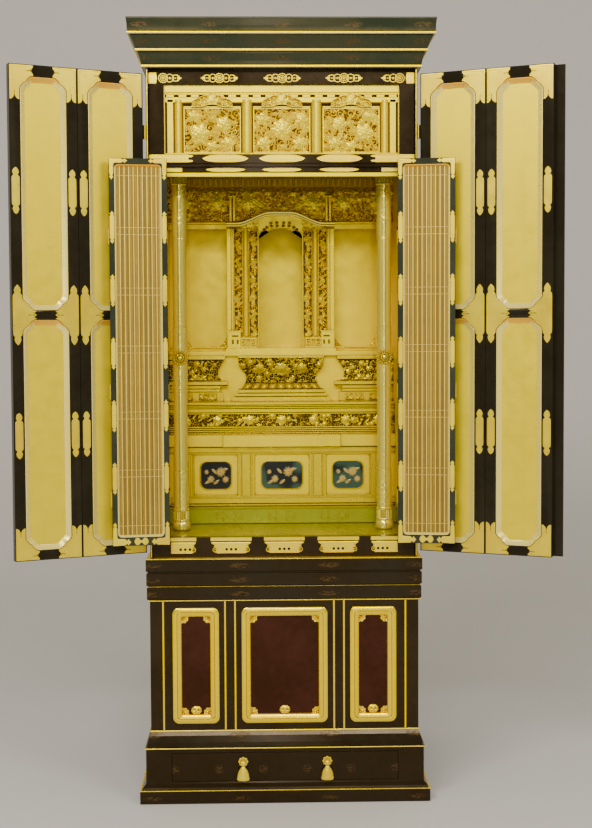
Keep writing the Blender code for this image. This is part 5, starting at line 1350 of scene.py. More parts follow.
def leaf_frame(side, sign, which, x0, x1, spin, inside):
    """The black frame: a front layer with two cut-cornered openings, a back layer round the board's groove,
    hinge plates on the inner leaf and the cover strip on the right outer leaf."""
    forms = []
    cells = leaf_cells(x0, x1)
    outer = ((x0, DOOR_LOW), (x1, DOOR_MIDDLE)), ((x0, DOOR_MIDDLE), (x1, DOOR_HIGH))
    for (cell_low, cell_high), (low, high) in zip(outer, cells):
        levels = [
            (cell_low, cell_high, 0.0, -0.0071), (cell_low, cell_high, 0.0, 0.0),
            (*grown(low, high, 0.0004), -DOOR_CUT, 0.0), (low, high, -DOOR_CUT, -0.0004),
            (low, high, -DOOR_CUT, -0.0071),
        ]
        forms.append(ring_frame(levels, inside, 16))
    pocket = grown(cells[0][0], cells[1][1], 0.006)
    leaf = (x0, DOOR_LOW), (x1, DOOR_HIGH)
    levels = [
        (*leaf, 0.0, -DOOR_THICK), (*leaf, 0.0, -0.0070), (*pocket, 0.0, -0.0070),
        (*pocket, 0.0, -DOOR_THICK)
    ]
    forms.append(ring_frame(levels, inside, 1))
    outer_face = DOOR_FACE - DOOR_THICK
    if which == "inner":
        clear = BODY_HALF + 2 * GAP
        edge = BODY_HALF - 0.0005
        shape = (
            (edge - 0.001, -0.011), (clear + 0.0025, -0.011), (clear + 0.0025, None), (clear, None),
            (clear, -GAP), (edge - 0.001, -GAP)
        )
        outline = [(sign * x, DOOR_PIN[1] if y is None else DOOR_FACE + y) for x, y in shape]
        for z in DOOR_HINGES:
            forms.append(upright_prism(outline, z - HALF_BARREL + 0.0001, z + HALF_BARREL - 0.0001, spin))
    elif side == "right":
        face = outer_face - GAP
        outline = [(-0.0195, face - 0.0047), (0.0180, face - 0.0047), (0.0180, outer_face + 0.001)]
        outline += [(0.0007, outer_face + 0.001), (0.0007, face), (-0.0195, face)]
        forms.append(upright_prism(outline, DOOR_LOW + 0.0005, DOOR_HIGH - 0.0005, spin))
    return forms


def make_door(side, sign, which):
    """One outer leaf: frame, gilt bevels, fittings, dark inlays, hinge barrels and a lacquered back board."""
    make = leaf_maker(side, "door", which)
    spin = door_spin(sign)
    x0, x1 = across(sign, DOOR_STARTS[which], DOOR_STARTS[which] + DOOR_WIDTH)
    inside = leaf_face(spin, DOOR_FACE, 1)
    mouldings, spikes = [], []
    for low, high in leaf_cells(x0, x1):
        levels = [(*grown(low, high, by), -(DOOR_CUT + 0.586 * by), h) for by, h, depth in DOOR_PROFILE]
        form = ring_frame(levels, inside, 16, hollow=[depth for by, h, depth in DOOR_PROFILE])
        # Painted shade: the points of the top bevel, which faces down, get a hollow value of 0.62, so they
        # show the orange deep tone.
        heights = np.concatenate([cusped(*level[:2], -level[2], 16)[:, 1] for level in levels])
        form.hollow = np.maximum(form.hollow, np.where(heights > high[1] - 0.0115, 0.62, 0.0))
        mouldings.append(form)
    corner = DOOR_CUT + (DOOR_LINE + DOOR_STILE - EDGE_MARGIN) / 2
    for direction in (-1, 1):
        corner_x = x1 - DOOR_STILE - DOOR_CUT if direction > 0 else x0 + DOOR_STILE + DOOR_CUT
        for z, up in (
            (DOOR_HIGH - DOOR_TOP_RAIL - DOOR_CUT, 1), (DOOR_LOW + DOOR_BOTTOM_RAIL + DOOR_CUT, -1)
        ):
            places = ((0.0050, up * corner, False), (corner, -up * 0.0115, True))
            for dx, dz, upright in places:
                place = (corner_x + direction * dx, z + dz)
                spikes.append(fitting(place, 0.0150, 0.0026, SPIKE, inside, SPIKE_TOP, upright))
        middle = (corner_x + direction * 0.0060, DOOR_MIDDLE)
        spikes.append(fitting(middle, 0.0170, 0.0030, SPIKE, inside, SPIKE_TOP))
    make("inlay", spikes, "leaf lacquer", "black_lacquer")
    make("mouldings", mouldings, "moulding leaf", "gold_leaf", sharp=25)
    make("fittings", leaf_fittings(x0, x1, inside), "gilt brass", "gilt_brass")
    frame_forms = leaf_frame(side, sign, which, x0, x1, spin, inside)
    make("frame", frame_forms, "leaf lacquer", "black_lacquer", [f"door_{side}_{which}_frame"])
    dress([f"door_{side}_{which}_panel"], "door board leaf")
    outside = leaf_face(spin, DOOR_FACE - DOOR_SINK - 0.0077, -1)
    low = (x0 + DOOR_STILE - 0.0055, DOOR_LOW + DOOR_BOTTOM_RAIL - 0.0055)
    high = (x1 - DOOR_STILE + 0.0055, DOOR_HIGH - DOOR_TOP_RAIL + 0.0055)
    sheet = [(low, high, 0.0, -0.0005), (low, high, 0.0, 0.0004)]
    make("back_board", ring_frame(sheet, outside, 1, False), "black lacquer", "black_lacquer")
    trim = []
    wide_low, wide_high = grown(low, high, 0.0001)
    for inset, h in ((0.0, 0.0), (0.0, 0.0014), (0.0016, 0.0018), (0.0030, 0.0)):
        trim.append((*grown(wide_low, wide_high, -inset), 0.0, h))
    make("back_trim", ring_frame(trim, outside, 1), "gold line", "gold_leaf")
    if which == "inner":
        pin = (sign * DOOR_PIN[0], DOOR_PIN[1])
        rods = []
        for z in DOOR_HINGES:
            rods.append(barrel(pin, z - HALF_BARREL, z + HALF_BARREL, 0.00228, spin))
        make("hinge_barrels", rods, "gilt brass", "gilt_brass")


# Heights of the lattice's level bars: middles of the pairs, and the single ones at its ends
LATTICE_PAIRS = (1.2631, 1.1327, 1.0073, 0.8638, 0.7372)
LATTICE_ENDS = (1.3821, 0.6225)
LATTICE_HINGES = [LATTICE_LOW + (LATTICE_HIGH - LATTICE_LOW) * share for share in (0.12, 0.40, 0.80)]
CROSS_TIP = (
    (0.0, 1.0), (0.62, 1.0), (0.70, 0.86), (0.74, 0.62), (0.765, 0.42), (0.79, 0.44), (0.815, 0.98),
    (0.845, 0.98), (0.90, 0.52), (1.0, 0.0)
)


def lattice_fittings(x0, x1, surface):
    """L plates with lozenge tips, five slim plates on each stile, and an hourglass plate at the foot."""
    thick = 0.0004
    forms = []
    for direction in (-1, 1):
        corner_x = x1 - LATTICE_STILE - 0.001 if direction > 0 else x0 + LATTICE_STILE + 0.001
        for end, rail, up in ((LATTICE_HIGH, LATTICE_RAIL, 1), (LATTICE_LOW, LATTICE_FOOT_RAIL, -1)):
            corner_z = end - up * (rail - LATTICE_BEVEL - 0.0005)
            reach = (LATTICE_STILE + 0.0002, rail - LATTICE_BEVEL - 0.0012)
            shape = (reach, 0.0026, 0.0, (0.0270, 0.0330), (direction, up))
            forms.append(corner_plate((corner_x, corner_z), *shape, surface, thick, (ARROW_TIP, ARROW_TIP)))
        for step in range(5):
            place = (corner_x + direction * 0.0068, 1.2706 - 0.1359 * step)
            forms.append(fitting(place, 0.0700, 0.0098, CROSS_TIP, surface, thick, True))
    waist = (
        (0.0, 0.30), (0.10, 0.34), (0.32, 0.80), (0.44, 1.0), (0.60, 1.0), (0.80, 0.88), (0.92, 0.5),
        (1.0, 0.3)
    )
    forms.append(fitting(((x0 + x1) / 2, LATTICE_LOW + 0.0094), 0.0300, 0.0158, waist, surface, thick))
    return forms


def make_lattice(side, sign, which):
    """One lattice leaf: a lacquered frame, a gilt bevel, copper gauze, thin bars and its fittings."""
    make = leaf_maker(side, "lattice", which)
    spin = lattice_spin(sign, which == "outer")
    x0, x1 = across(sign, LATTICE_STARTS[which], LATTICE_STARTS[which] + LATTICE_WIDTH)
    front = leaf_face(spin, LATTICE_FACE, -1)
    low = (x0 + LATTICE_STILE + LATTICE_BEVEL, LATTICE_LOW + LATTICE_FOOT_RAIL)
    high = (x1 - LATTICE_STILE - LATTICE_BEVEL, LATTICE_HIGH - LATTICE_RAIL)
    leaf_low, leaf_high = (x0, LATTICE_LOW), (x1, LATTICE_HIGH)
    seat = LATTICE_BEVEL - 0.0001
    levels = [
        (leaf_low, leaf_high, 0.0, -LATTICE_THICK),
        (leaf_low, leaf_high, 0.0, -0.0006),
        (*grown(leaf_low, leaf_high, -0.0005), 0.0, 0.0),
        (*grown(low, high, seat), 0.0085, 0.0),
        (*grown(low, high, seat), 0.0085, -0.0058),
        (*grown(low, high, 0.0002), 0.0040, -0.0058),
        (*grown(low, high, 0.0002), 0.0040, -LATTICE_THICK),
    ]
    frame = ring_frame(levels, front, 6)
    make("frame", frame, "lattice lacquer", "black_lacquer", [f"lattice_{side}_{which}"])
    levels = [
        (*grown(low, high, seat), 0.0085, -0.0056),
        (*grown(low, high, seat), 0.0085, 0.00005),
        (*grown(low, high, seat - 0.0012), 0.0073, 0.00005),
        (*grown(low, high, 0.0026), 0.0040, -0.0036),
        (*grown(low, high, 0.0020), 0.0036, -0.0044),
        (*grown(low, high, 0.0020), 0.0036, -0.0060),
        (*grown(low, high, 0.0028), 0.0040, -0.0060),
    ]
    # Painted shade: the bevel's levels that run down get high hollow values, and its top side, which faces
    # down, gets 0.66 and shows orange.
    bevel = ring_frame(levels, front, 6, hollow=[0.8, 0.3, 0.0, 0.0, 0.4, 0.9, 0.9])
    heights = np.concatenate([rounded(*level[:3], 6)[:, 1] for level in levels])
    bevel.hollow = np.maximum(bevel.hollow, np.where(heights > high[1], 0.66, 0.0))
    make("bevel", bevel, "moulding leaf", "copper_gold_lattice", sharp=25)
    sheet_low, sheet_high = grown(low, high, 0.0035)
    gauze = [(sheet_low, sheet_high, 0.0, -0.0070), (sheet_low, sheet_high, 0.0, -0.0052)]
    make("gauze", ring_frame(gauze, front, 1, False), "lattice gauze", "copper_gold_lattice")
    count, width = sizes().bars, sizes().bar_width
    pitch = (high[0] - low[0]) / count
    centres = low[0] + (np.arange(count) + 0.5) * pitch
    lows = [(x - width / 2, low[1] - 0.0023, -0.0053) for x in centres]
    highs = [(x + width / 2, high[1] + 0.0023, -0.0036) for x in centres]
    rows = [z + step for z in LATTICE_PAIRS for step in (-0.0076, 0.0076)] + list(LATTICE_ENDS)
    lows += [(low[0] - 0.0023, z - width / 4, -0.0053) for z in rows]
    highs += [(high[0] + 0.0023, z + width / 4, -0.0042) for z in rows]
    make("bars", bars(lows, highs, front), "lattice bars", "copper_gold_lattice")
    make("fittings", lattice_fittings(x0, x1, front), "gilt brass", "gilt_brass")
    back = leaf_face(spin, LATTICE_FACE + LATTICE_THICK, 1)
    cover = [(*grown(low, high, 0.0001), 0.004, -0.0012), (*grown(low, high, 0.0001), 0.004, -0.0006)]
    make("back_sheet", ring_frame(cover, back, 6, False), "leaf lacquer", "black_lacquer")
    if which == "inner":
        rods = []
        edge = LATTICE_STARTS[which] + LATTICE_WIDTH
        for z in LATTICE_HINGES:
            z0, z1 = z - HALF_BARREL, z + HALF_BARREL
            for pin, radius in ((LATTICE_PIN, 0.0020), (LATTICE_FOLD, 0.0021)):
                rods.append(barrel((sign * pin[0], pin[1]), z0, z1, radius, spin, 12))
            for far, h in ((edge - 0.0010, -0.001), (LATTICE_PIN[0], 0.0050)):
                a, b = across(sign, edge - 0.0035, far)
                rods += bars([(a, z0, h)], [(b, z1, 0.0080)], front)
        make("hinges", rods, "gilt brass", "gilt_brass")


# Stand


def rounded_border(low, high, width, rise, sink, corner):
    """Levels of a border in half-round section that falls to the field, and their hollow values: the line
    along its middle is a dark line, and the hollow values paint shade where it falls to the field.
    """
    levels, hollow = [], []
    for share in (0.0, 0.03, 0.10, 0.20, 0.32, 0.44, 0.47, 0.50, 0.53, 0.60, 0.72, 0.84, 0.93, 1.0):
        inset = share * width
        line = 0.44 < share < 0.53
        h = rise * math.sin(math.pi * (0.06 + 0.94 * share) ** 0.80) ** 0.55 if share < 1 else -sink
        h -= 0.0005 if line else 0.0
        levels.append((*grown(low, high, -inset), max(corner - inset * 0.55, 0.004), h))
        hollow.append(0.95 if line else 0.15 if share < 0.85 else 0.5)
    levels.append((*grown(low, high, -width), max(corner - width * 0.55, 0.004), -sink - 0.001))
    levels.append((low, high, corner, -0.012))
    return levels, hollow + [0.9, 0.9]


def fan(corner_x, corner_z, turn_x, turn_z, surface):
    """A notched corner ornament: ribbed leaves spread from the corner in a quarter circle. Hollow values
    paint shade between the ribs and in the grooves.
    """
    rise = 0.0030
    angle = np.linspace(0, math.pi / 2, 41)[None, :]
    reach = np.linspace(0, 1, 13)[:, None]
    notch = 1 - 0.10 * np.abs(np.sin(angle * 6)) ** 4 - 0.05 * np.cos(angle * 4)
    x = 0.0165 * reach * notch * np.cos(angle)
    z = 0.0165 * reach * notch * np.sin(angle)
    rib = np.abs(np.cos(angle * 6))
    step = np.where(reach < 0.40, 1.0, np.where(reach < 0.70, 0.80, 0.62))
    groove = np.exp(-(((reach - 0.40) / 0.05) ** 2)) + np.exp(-(((reach - 0.70) / 0.05) ** 2))
    h = rise * step * (0.65 + 0.35 * rib) * np.clip(1 - 0.8 * groove * (reach > 0), 0.2, 1)
    hollow = np.clip(0.42 * (1 - rib) * (reach > 0.15) + 0.55 * groove, 0, 1)
    return plate(corner_x + turn_x * x, corner_z + turn_z * z, h, surface, hollow * np.ones_like(x))


def jewel(cx, cz, surface):
    """A domed drop with two small holes, at the foot of a stand panel's border. Hollow values paint shade in
    the holes and at the rim.
    """
    angle = np.linspace(0, math.tau, 49)[None, :-1]
    angle = np.concatenate([angle, angle[:, :1] + math.tau], 1)
    reach = np.linspace(0, 1, 13)[:, None]
    lobe = 1 + 0.05 * np.abs(np.sin(4.5 * (angle - math.pi / 2))) - 0.05
    x, z = 0.0118 * reach * lobe * np.cos(angle), 0.0102 + 0.0098 * reach * lobe * np.sin(angle)
    h = 0.0048 * np.sqrt(np.clip(1 - (0.92 * reach) ** 2, 0, 1)) * np.ones_like(x)
    holes = [np.hypot(x - side * 0.0044, z - 0.0112) for side in (-1, 1)]
    dark = np.clip(np.max([1.5 - away / 0.0022 for away in holes], axis=0), 0, 1)
    return plate(cx + x, cz + z, h - 0.0015 * dark, surface, np.maximum(dark, 0.3 * (reach > 0.9)))


def make_stand_panels():
    """Three panels: a thick gilt border round dark red lacquer, fans in the corners and a jewel below."""
    face = node_low("stand_front_frame").y + 0.0012
    surface = front_face(face)
    fields, ornaments = [], []
    for side, field_half in (("left", 0.0310), ("centre", 0.0750), ("right", 0.0310)):
        node = "stand_panel_" + side
        low, high = flat_box(node)
        width = (high[0] - low[0]) / 2 - field_half
        levels, hollow = rounded_border(low, high, width, 0.0046, 0.0030, 0.014)
        border = ring_frame(levels, surface, 12, hollow=hollow)
        make_piece(f"stand_border_{side}", border, "border leaf", "maroon_lacquer", [node])
        field_low, field_high = grown(low, high, -width + 0.0005)
        levels = [(field_low, field_high, 0.004, -0.011), (field_low, field_high, 0.004, -0.0032)]
        fields.append(ring_frame(levels, surface, 4, False))
        inner_low, inner_high = grown(low, high, -width + 0.0008)
        for sx, x in ((1, inner_low[0]), (-1, inner_high[0])):
            for sz, z in ((1, inner_low[1]), (-1, inner_high[1])):
                ornaments.append(fan(x, z, sx, sz, front_face(face + 0.0032)))
        ornaments.append(jewel((low[0] + high[0]) / 2, inner_low[1] - 0.0008, front_face(face + 0.0028)))
    make_piece("stand_fields", fields, "maroon lacquer", "maroon_lacquer")
    make_piece("stand_ornaments", ornaments, "border leaf", "gold_leaf")


def make_stand():
    """Stand: dressed boards, moulded cornice, gilt beads and lines, painted lacquer."""
    dress(["stand_front_frame"], "black lacquer")
    dress(["stand_base", "drawer_surround"], "plinth lacquer")
    dress(["drawer_front"], "drawer lacquer")
    dress(["stand_cornice", "stand_lower_moulding"], "cornice lacquer")
    face = front_face(FRONT_Y - 0.002)
    low_z, high_z = node_low("stand_front_frame").z, node_high("stand_front_frame").z
    lows, highs = [], []
    for sign in (-1, 1):
        for x in (0.1098, 0.1320, 0.2690):
            lows.append((sign * x - 0.0024, low_z + 0.0004, -0.0004))
            highs.append((sign * x + 0.0024, high_z - 0.0004, 0.0015))
    make_piece("stand_beads", bars(lows, highs, face, 0.0010), "gold line", "gold_leaf")
    foot, top = node_low("stand_cornice").z, node_high("stand_cornice").z
    low, high = node_low("stand_lower_moulding").z, node_high("stand_lower_moulding").z
    base = node_high("stand_base").z
    places = [(top, -0.0016, 0.0002, 0.0086, 0.0012), (foot, 0.0002, 0.0022, 0.0044, 0.0010)]
    places += [(high, -0.0036, -0.0002, 0.0026, 0.0014), (low, 0.0004, 0.0026, 0.0150, 0.0010)]
    places += [(base, -0.0014, 0.0002, 0.0252, 0.0012)]
    places += [(foot + layer * (top - foot) / 3, 0.0006, 0.0016, 0.0046, 0.0006) for layer in (1, 2)]
    lines = [edge_strip(z + start, z + end, over, rise) for z, start, end, over, rise in places]
    make_piece("stand_gilt_lines", lines, "gold line", "gold_leaf")
    make_stand_panels()
    make_pulls()


# The drop pull's section up to its ball: radius, and height over its foot
PULL = (
    (0.0002, 0.0010), (0.0095, 0.0), (0.0130, 0.0010), (0.0145, 0.0048), (0.0142, 0.0066),
    (0.0132, 0.0078), (0.0133, 0.0088), (0.0128, 0.0130), (0.0110, 0.0200), (0.0086, 0.0248),
    (0.0062, 0.0275), (0.0064, 0.0286), (0.0045, 0.0300), (0.0030, 0.0312),
)


def make_pulls():
    """Drop pulls: a lobed back plate, a ball and a bell with a lip and rings round it."""
    front = node_low("drawer_front").y
    for side, sign in (("left", -1), ("right", 1)):
        node = "drawer_pull_" + side
        cx = sign * 0.0935
        foot = node_low(node).z
        profile = [(radius, foot + z) for radius, z in PULL]
        ball = foot + 0.0375
        for angle in np.linspace(0.35, math.pi, 9):
            profile.append((0.0065 * math.sin(angle), ball - 0.0065 * math.cos(angle)))
        profile[-1] = (0.0001, ball + 0.0065)
        bell = turned(profile, (cx, front - 0.0083), 28, 0.42)
        surface = front_face(front - GAP)
        back = [rosette(cx, ball + 0.0030, 0.0112, 8, 0.0014, surface, 64)]
        back += bars([(cx - 0.0022, ball - 0.0010, 0.0)], [(cx + 0.0022, ball + 0.0030, 0.0080)], surface)
        make_piece(f"drawer_pull_{side}_bell", [bell, *back], "gilt brass", "gilt_brass", [node], "drawer")


# Transom

CARVED_FRONT = 0.0385
BRACKETS = 19
STRUT_Z = 1.5385  # foot of the frog-leg struts over the three bays
BAY_HALF = 0.0631


def deep(depth):
    """World y of a depth behind the cabinet's front edges."""
    return FRONT_Y + depth


DEPTHS = front_face(FRONT_Y)  # heights on this surface are minus a depth behind the front edges
ROOM_BACK = 0.4990  # depth that the altar's blocks run back to


def slab(x0, x1, z0, z1, back, front, chamfer=0.0006, hollow=0.0):
    """A plain bar between two places across, two heights and two depths."""
    form = bars([(x0, z0, -back)], [(x1, z1, -front)], DEPTHS, chamfer)[0]
    form.hollow[:] = hollow
    return form


def half_round(x, half, z0, z1, back, front, count=16):
    """An upright pillar in half-round section, with a small cap and base."""
    angle = np.linspace(0, math.pi, count)
    base = ((z0, 1.08), (z0 + 0.0030, 1.08), (z0 + 0.0036, 1.0))
    cap = ((z1 - 0.0056, 1.0), (z1 - 0.0050, 1.10), (z1, 1.10))
    rings = []
    for z, grow in base + cap:
        across = x + half * grow * np.cos(angle)
        y = deep(back) - (back - front) * grow * np.sin(angle) ** 0.8
        rings.append(np.stack([across, y, np.full(count, z)], -1))
    return loft(rings)


def carved_between(x, low_z, high_z, rows, motifs, face, rise, back, rim=0.0, ground=0.0):
    """A carving whose foot and head follow two curves over x; rows are spaced evenly between them."""
    share = np.linspace(0, 1, rows)[:, None]
    low_z, high_z = np.broadcast_to(low_z, x.shape), np.broadcast_to(high_z, x.shape)
    z = low_z + (high_z - low_z) * share
    xs = np.broadcast_to(x, z.shape)
    height = np.maximum(carve(xs, z, motifs), ground)
    if rim:
        height = np.where(np.minimum(z - low_z, high_z - z) < rim, 0.7, height)
    return relief(xs.copy(), z, deep(face) - rise * height, deep(back), shade(height))


def cluster(cx, cz, seed, kinds):
    """A group that reads as one spray: a flower with leaves and scrolls set round it."""
    rng = np.random.default_rng(seed)
    motifs = []
    for kind, count, away, size in kinds:
        for index in range(count):
            angle = math.tau * (index + rng.uniform(-0.25, 0.25)) / count
            place = (cx + away * math.cos(angle), cz + away * 0.8 * math.sin(angle))
            sense = {"leaf": 1, "bloom": 6, "curl": 1 if index % 2 else -1}[kind]
            lift = 0.25 if kind == "bloom" else 0.0
            motifs.append((kind, *place, size * rng.uniform(0.85, 1.15), sense, angle, lift))
    return motifs


def transom_motifs(side, centre):
    """Flowers where the frame's panels have them, over scrolls and leaves."""
    flowers = {
        "left": (
            (-0.45, -0.1, 0.42, 6), (0.40, 0.30, 0.34, 5), (0.55, -0.55, 0.30, 6), (-0.65, 0.65, 0.28, 5),
            (0.0, -0.7, 0.26, 5)
        ),
        "centre": (
            (0.0, 0.05, 0.46, 8), (-0.68, 0.50, 0.30, 5), (0.68, 0.50, 0.30, 5), (-0.62, -0.55, 0.32, 6),
            (0.62, -0.55, 0.32, 6)
        ),
    }
    flip = -1 if side == "right" else 1
    mid_z = TRANSOM_Z + 0.0045 + 0.0985 / 2
    motifs = []
    for a, b, size, petals in flowers["centre" if side == "centre" else "left"]:
        place = (centre + flip * a * BAY_HALF, mid_z + b * 0.049)
        motifs.append(("bloom", *place, size * 0.052, petals, 0.3 * a, 0.30))
        motifs += cluster(*place, int(40 + 9 * a + 31 * b), (("leaf", 5, size * 0.062, 0.0125),))
    low, high = (centre - BAY_HALF, mid_z - 0.049), (centre + BAY_HALF, mid_z + 0.049)
    seed = {"left": 3, "centre": 7, "right": 11}[side]
    motifs += foliage(seed, low, high, 0.0125, ("curl", "leaf", "leaf", "curl", "bloom"), 0.72)
    return motifs


def make_transom():
    """Beam, brackets, half-round pillars and frog-leg struts round three deep carvings."""
    low, high = TRANSOM_Z, TRANSOM_TOP
    posts = [
        slab(*across(sign, OPENING_HALF, FRAME_HALF), low, high, FRAME_BACK_DEPTH, FRAME_DEPTH)
        for sign in (-1, 1)
    ]
    make_piece("transom_posts", posts, "black lacquer", "black_lacquer")
    half = OPENING_HALF - 0.0002
    back = 0.0470
    # Painted shade: the backboard behind the carvings has a hollow value of 0.95, so it shows dark.
    forms = [slab(-INNER_HALF, INNER_HALF, low, high, 0.0530, back, hollow=0.95)]
    beams = ((high - 0.0165, high, 0.0218), (high - 0.0205, high - 0.0163, 0.0252))
    beams += ((1.5490, 1.5604, 0.0290), (low, low + 0.0040, 0.0255))
    forms += [slab(-half, half, z0, z1, back, front) for z0, z1, front in beams]
    pitch = 2 * half / BRACKETS
    for x in -half + (np.arange(BRACKETS) + 0.5) * pitch:
        forms.append(slab(x - pitch * 0.30, x + pitch * 0.30, 1.5600, high - 0.0200, back, 0.0270))
    for sign in (-1, 1):
        forms.append(half_round(sign * 0.0765, 0.0125, low + 0.0038, 1.5545, 0.0440, 0.0250))
        forms.append(half_round(sign * 0.2275, 0.0100, low + 0.0038, 1.5545, 0.0440, 0.0270))
        forms.append(slab(*across(sign, 0.2385, 0.2520), low + 0.0038, 1.5550, back, 0.0290))
        forms.append(slab(*across(sign, 0.2560, half), low, high, back, 0.0205))
    t = np.linspace(-1, 1, 91)
    top = STRUT_Z + 0.031 * (0.32 + 0.68 * (1 - np.abs(t)) ** 0.7)
    foot = STRUT_Z + 0.0050 * np.clip(1 - (np.abs(t) / 0.5) ** 2, 0, 1)
    for centre in (-BAY_PITCH, 0.0, BAY_PITCH):
        a, b = centre - BAY_HALF + 0.0004, centre + BAY_HALF - 0.0004
        forms.append(slab(a, b, 1.5376, 1.5408, back, 0.0300))
        spray = (("bloom", 1, 0.0, 0.0115), ("curl", 2, 0.020, 0.0085), ("leaf", 6, 0.016, 0.0110))
        motifs = cluster(centre, 1.552, 21, spray)
        motifs += [("curl", centre + sign * 0.036, 1.5440, 0.0075, sign, 0.0, 0.2) for sign in (-1, 1)]
        motifs += foliage(5, (centre - 0.045, 1.539), (centre + 0.045, 1.566), 0.0095)
        x = centre + 0.045 * t
        forms.append(carved_between(x, foot, top, 31, motifs, 0.0265, 0.0055, 0.0440, 0.0010, 0.12))
    make_piece("transom_framework", forms, "carved leaf", "gold_leaf", ["transom_frame"])
    for side, centre in (("left", -BAY_PITCH), ("centre", 0.0), ("right", BAY_PITCH)):
        node = "transom_panel_" + side
        x, z = even_grid(*flat_box(node), sizes().carving_step)
        edge = np.minimum.reduce([x - x[0, 0], x[0, -1] - x, z - z[0, 0], z[-1, 0] - z])
        height = np.where(edge < 0.0024, 0.75, np.maximum(carve(x, z, transom_motifs(side, centre)), 0.0))
        panel = relief(x, z, deep(CARVED_FRONT) - sizes().carving * height, deep(0.0447), shade(height))
        make_piece(node + "_carving", panel, "carved leaf", "gold_leaf", [node])


# Columns and the altar


def make_columns():
    """Round columns: fluted collars, sleeves engraved with scrolls, a base, and a flower boss half way up."""
    foot, head = SILL_Z + GAP, CEILING_Z - GAP
    radius, plain_base = 0.0160, 0.0204
    low_collar = foot + plain_base
    low_sleeve = low_collar + 0.028
    boss = SILL_Z + 0.397
    top_collar = LINTEL_Z + LINTEL_STRIP
    spans = [
        (low_sleeve + 0.001, low_sleeve + 0.092), (boss - 0.071, boss + 0.071),
        (top_collar - 0.150, top_collar - 0.028)
    ]
    flute_spans = [(low_collar + 0.001, low_sleeve), (top_collar - 0.028, top_collar)]
    shares = (0.0, 0.04, 0.10, 0.22, 0.40, 0.58, 0.74, 0.86, 0.95, 0.985)
    levels = [foot + plain_base * share for share in shares]
    for z0, z1 in flute_spans:
        for step in (0.0001, 0.0012, 0.0030, 0.0038):
            levels += [z0 + step, z1 - step]
        levels += [*np.linspace(z0 + 0.005, z1 - 0.005, 5)]
    for z0, z1 in spans:
        levels += [*np.arange(z0, z1, 0.0020), z1]
    ends = [*spans[0], *spans[1], *spans[2]][1:5]
    levels += [end + step for end, step in zip(ends, (0.001, -0.001, 0.001, -0.001))]
    z = np.unique(np.round([*levels, top_collar + 0.001, head], 6))
    angle = np.arange(96) / 96 * math.tau
    zz, aa = np.meshgrid(z, angle, indexing="ij")
    reach = np.full(zz.shape, radius)
    hollow = np.zeros(zz.shape)
    share = np.clip((zz - foot) / plain_base, 0, 1)
    swell = 0.0045 * np.sin(math.pi * np.clip(0.12 + 0.80 * share, 0, 1)) ** 0.7
    reach += np.where(zz < low_collar, swell, 0)
    for z0, z1 in flute_spans:
        inside = (zz > z0) & (zz < z1)
        middle = (zz > z0 + 0.0034) & (zz < z1 - 0.0034)
        flute = 0.5 + 0.5 * np.cos(aa * sizes().flutes)
        reach = np.where(inside, radius + 0.0022 - np.where(middle, 0.0016 * (1 - flute), 0), reach)
        # Painted shade in the flutes' hollows.
        hollow = np.where(middle & inside, 0.62 * (1 - flute), hollow)
    for z0, z1 in spans:
        inside = (zz > z0 - 0.0001) & (zz < z1 + 0.0001)
        edge = np.minimum(zz - z0, z1 - zz)
        wave = 0.5 + 0.5 * np.cos(3 * aa + 2.2 * np.sin(zz * 150)) * np.cos(zz * 260 + 1.7 * np.sin(3 * aa))
        cut = np.clip((wave - 0.42) * 6, 0, 1) * (edge > 0.004)
        ring = (edge > 0.0018) & (edge < 0.0034)
        reach = np.where(inside, radius + 0.0010 - 0.00035 * cut - 0.0004 * ring, reach)
        hollow = np.where(inside, 0.30 * cut + 0.6 * ring, hollow)
    for side, sign in (("left", -1), ("right", 1)):
        cx, cy = sign * (OPENING_HALF - 0.0247), deep(0.135)
        shaft = loft(np.stack([cx + reach * np.cos(aa), cy + reach * np.sin(aa), zz], -1), False, hollow)
        surface = front_face(cy - radius + 0.004)
        forms = [shaft, rosette(cx, boss, 0.0190, 16, 0.0110, surface, 96)]
        make_piece(f"column_{side}_shaft", forms, "pillar leaf with painted highlight", "gold_leaf", ["column_" + side])


def bead(x0, x1, z, radius, depth):
    """A thin round line across a face."""
    return tube([(x0, z, -depth), ((x0 + x1) / 2, z, -depth), (x1, z, -depth)], radius, DEPTHS, 8)


def make_step():
    """Step with engraved medallions and a pale upper edge."""
    dress(["front_step"], "step leaf")
    front = node_low("front_step").y - FRONT_Y
    low_z, high_z = node_low("front_step").z, node_high("front_step").z
    reach = INNER_HALF - 0.001
    forms = [slab(-reach, reach, high_z - 0.0026, high_z - 0.0004, front + 0.001, front - 0.0010)]
    for centre in (-0.125, 0.0, 0.125):
        x, z = even_grid((centre - 0.034, low_z + 0.0035), (centre + 0.034, high_z - 0.0042), 0.0009)
        mid = (low_z + high_z) / 2 - 0.0003
        motifs = [("bloom", centre, mid, 0.0105, 8, 0.0, 0.2)]
        motifs += [("bloom", centre + sign * 0.0205, mid, 0.0072, 6, 0.4, 0.1) for sign in (-1, 1)]
        for sx, sz in ((-1, -1), (-1, 1), (1, -1), (1, 1)):
            for dx, dz, radius in ((0.0130, 0.0085, 0.0050), (0.0285, 0.0050, 0.0048)):
                motifs.append(("curl", centre + sx * dx, mid + sz * dz, radius, sx * sz, 0.0, 0.0))
        height = carve(x, z, motifs)
        hollow = 0.95 * ((height > 0.04) & (height < 0.50))
        forms.append(plate(x, z, 0.0004 * height + 0.00005, front_face(deep(front)), hollow))
    make_piece("step_medallions", forms, "step leaf", "gold_leaf")


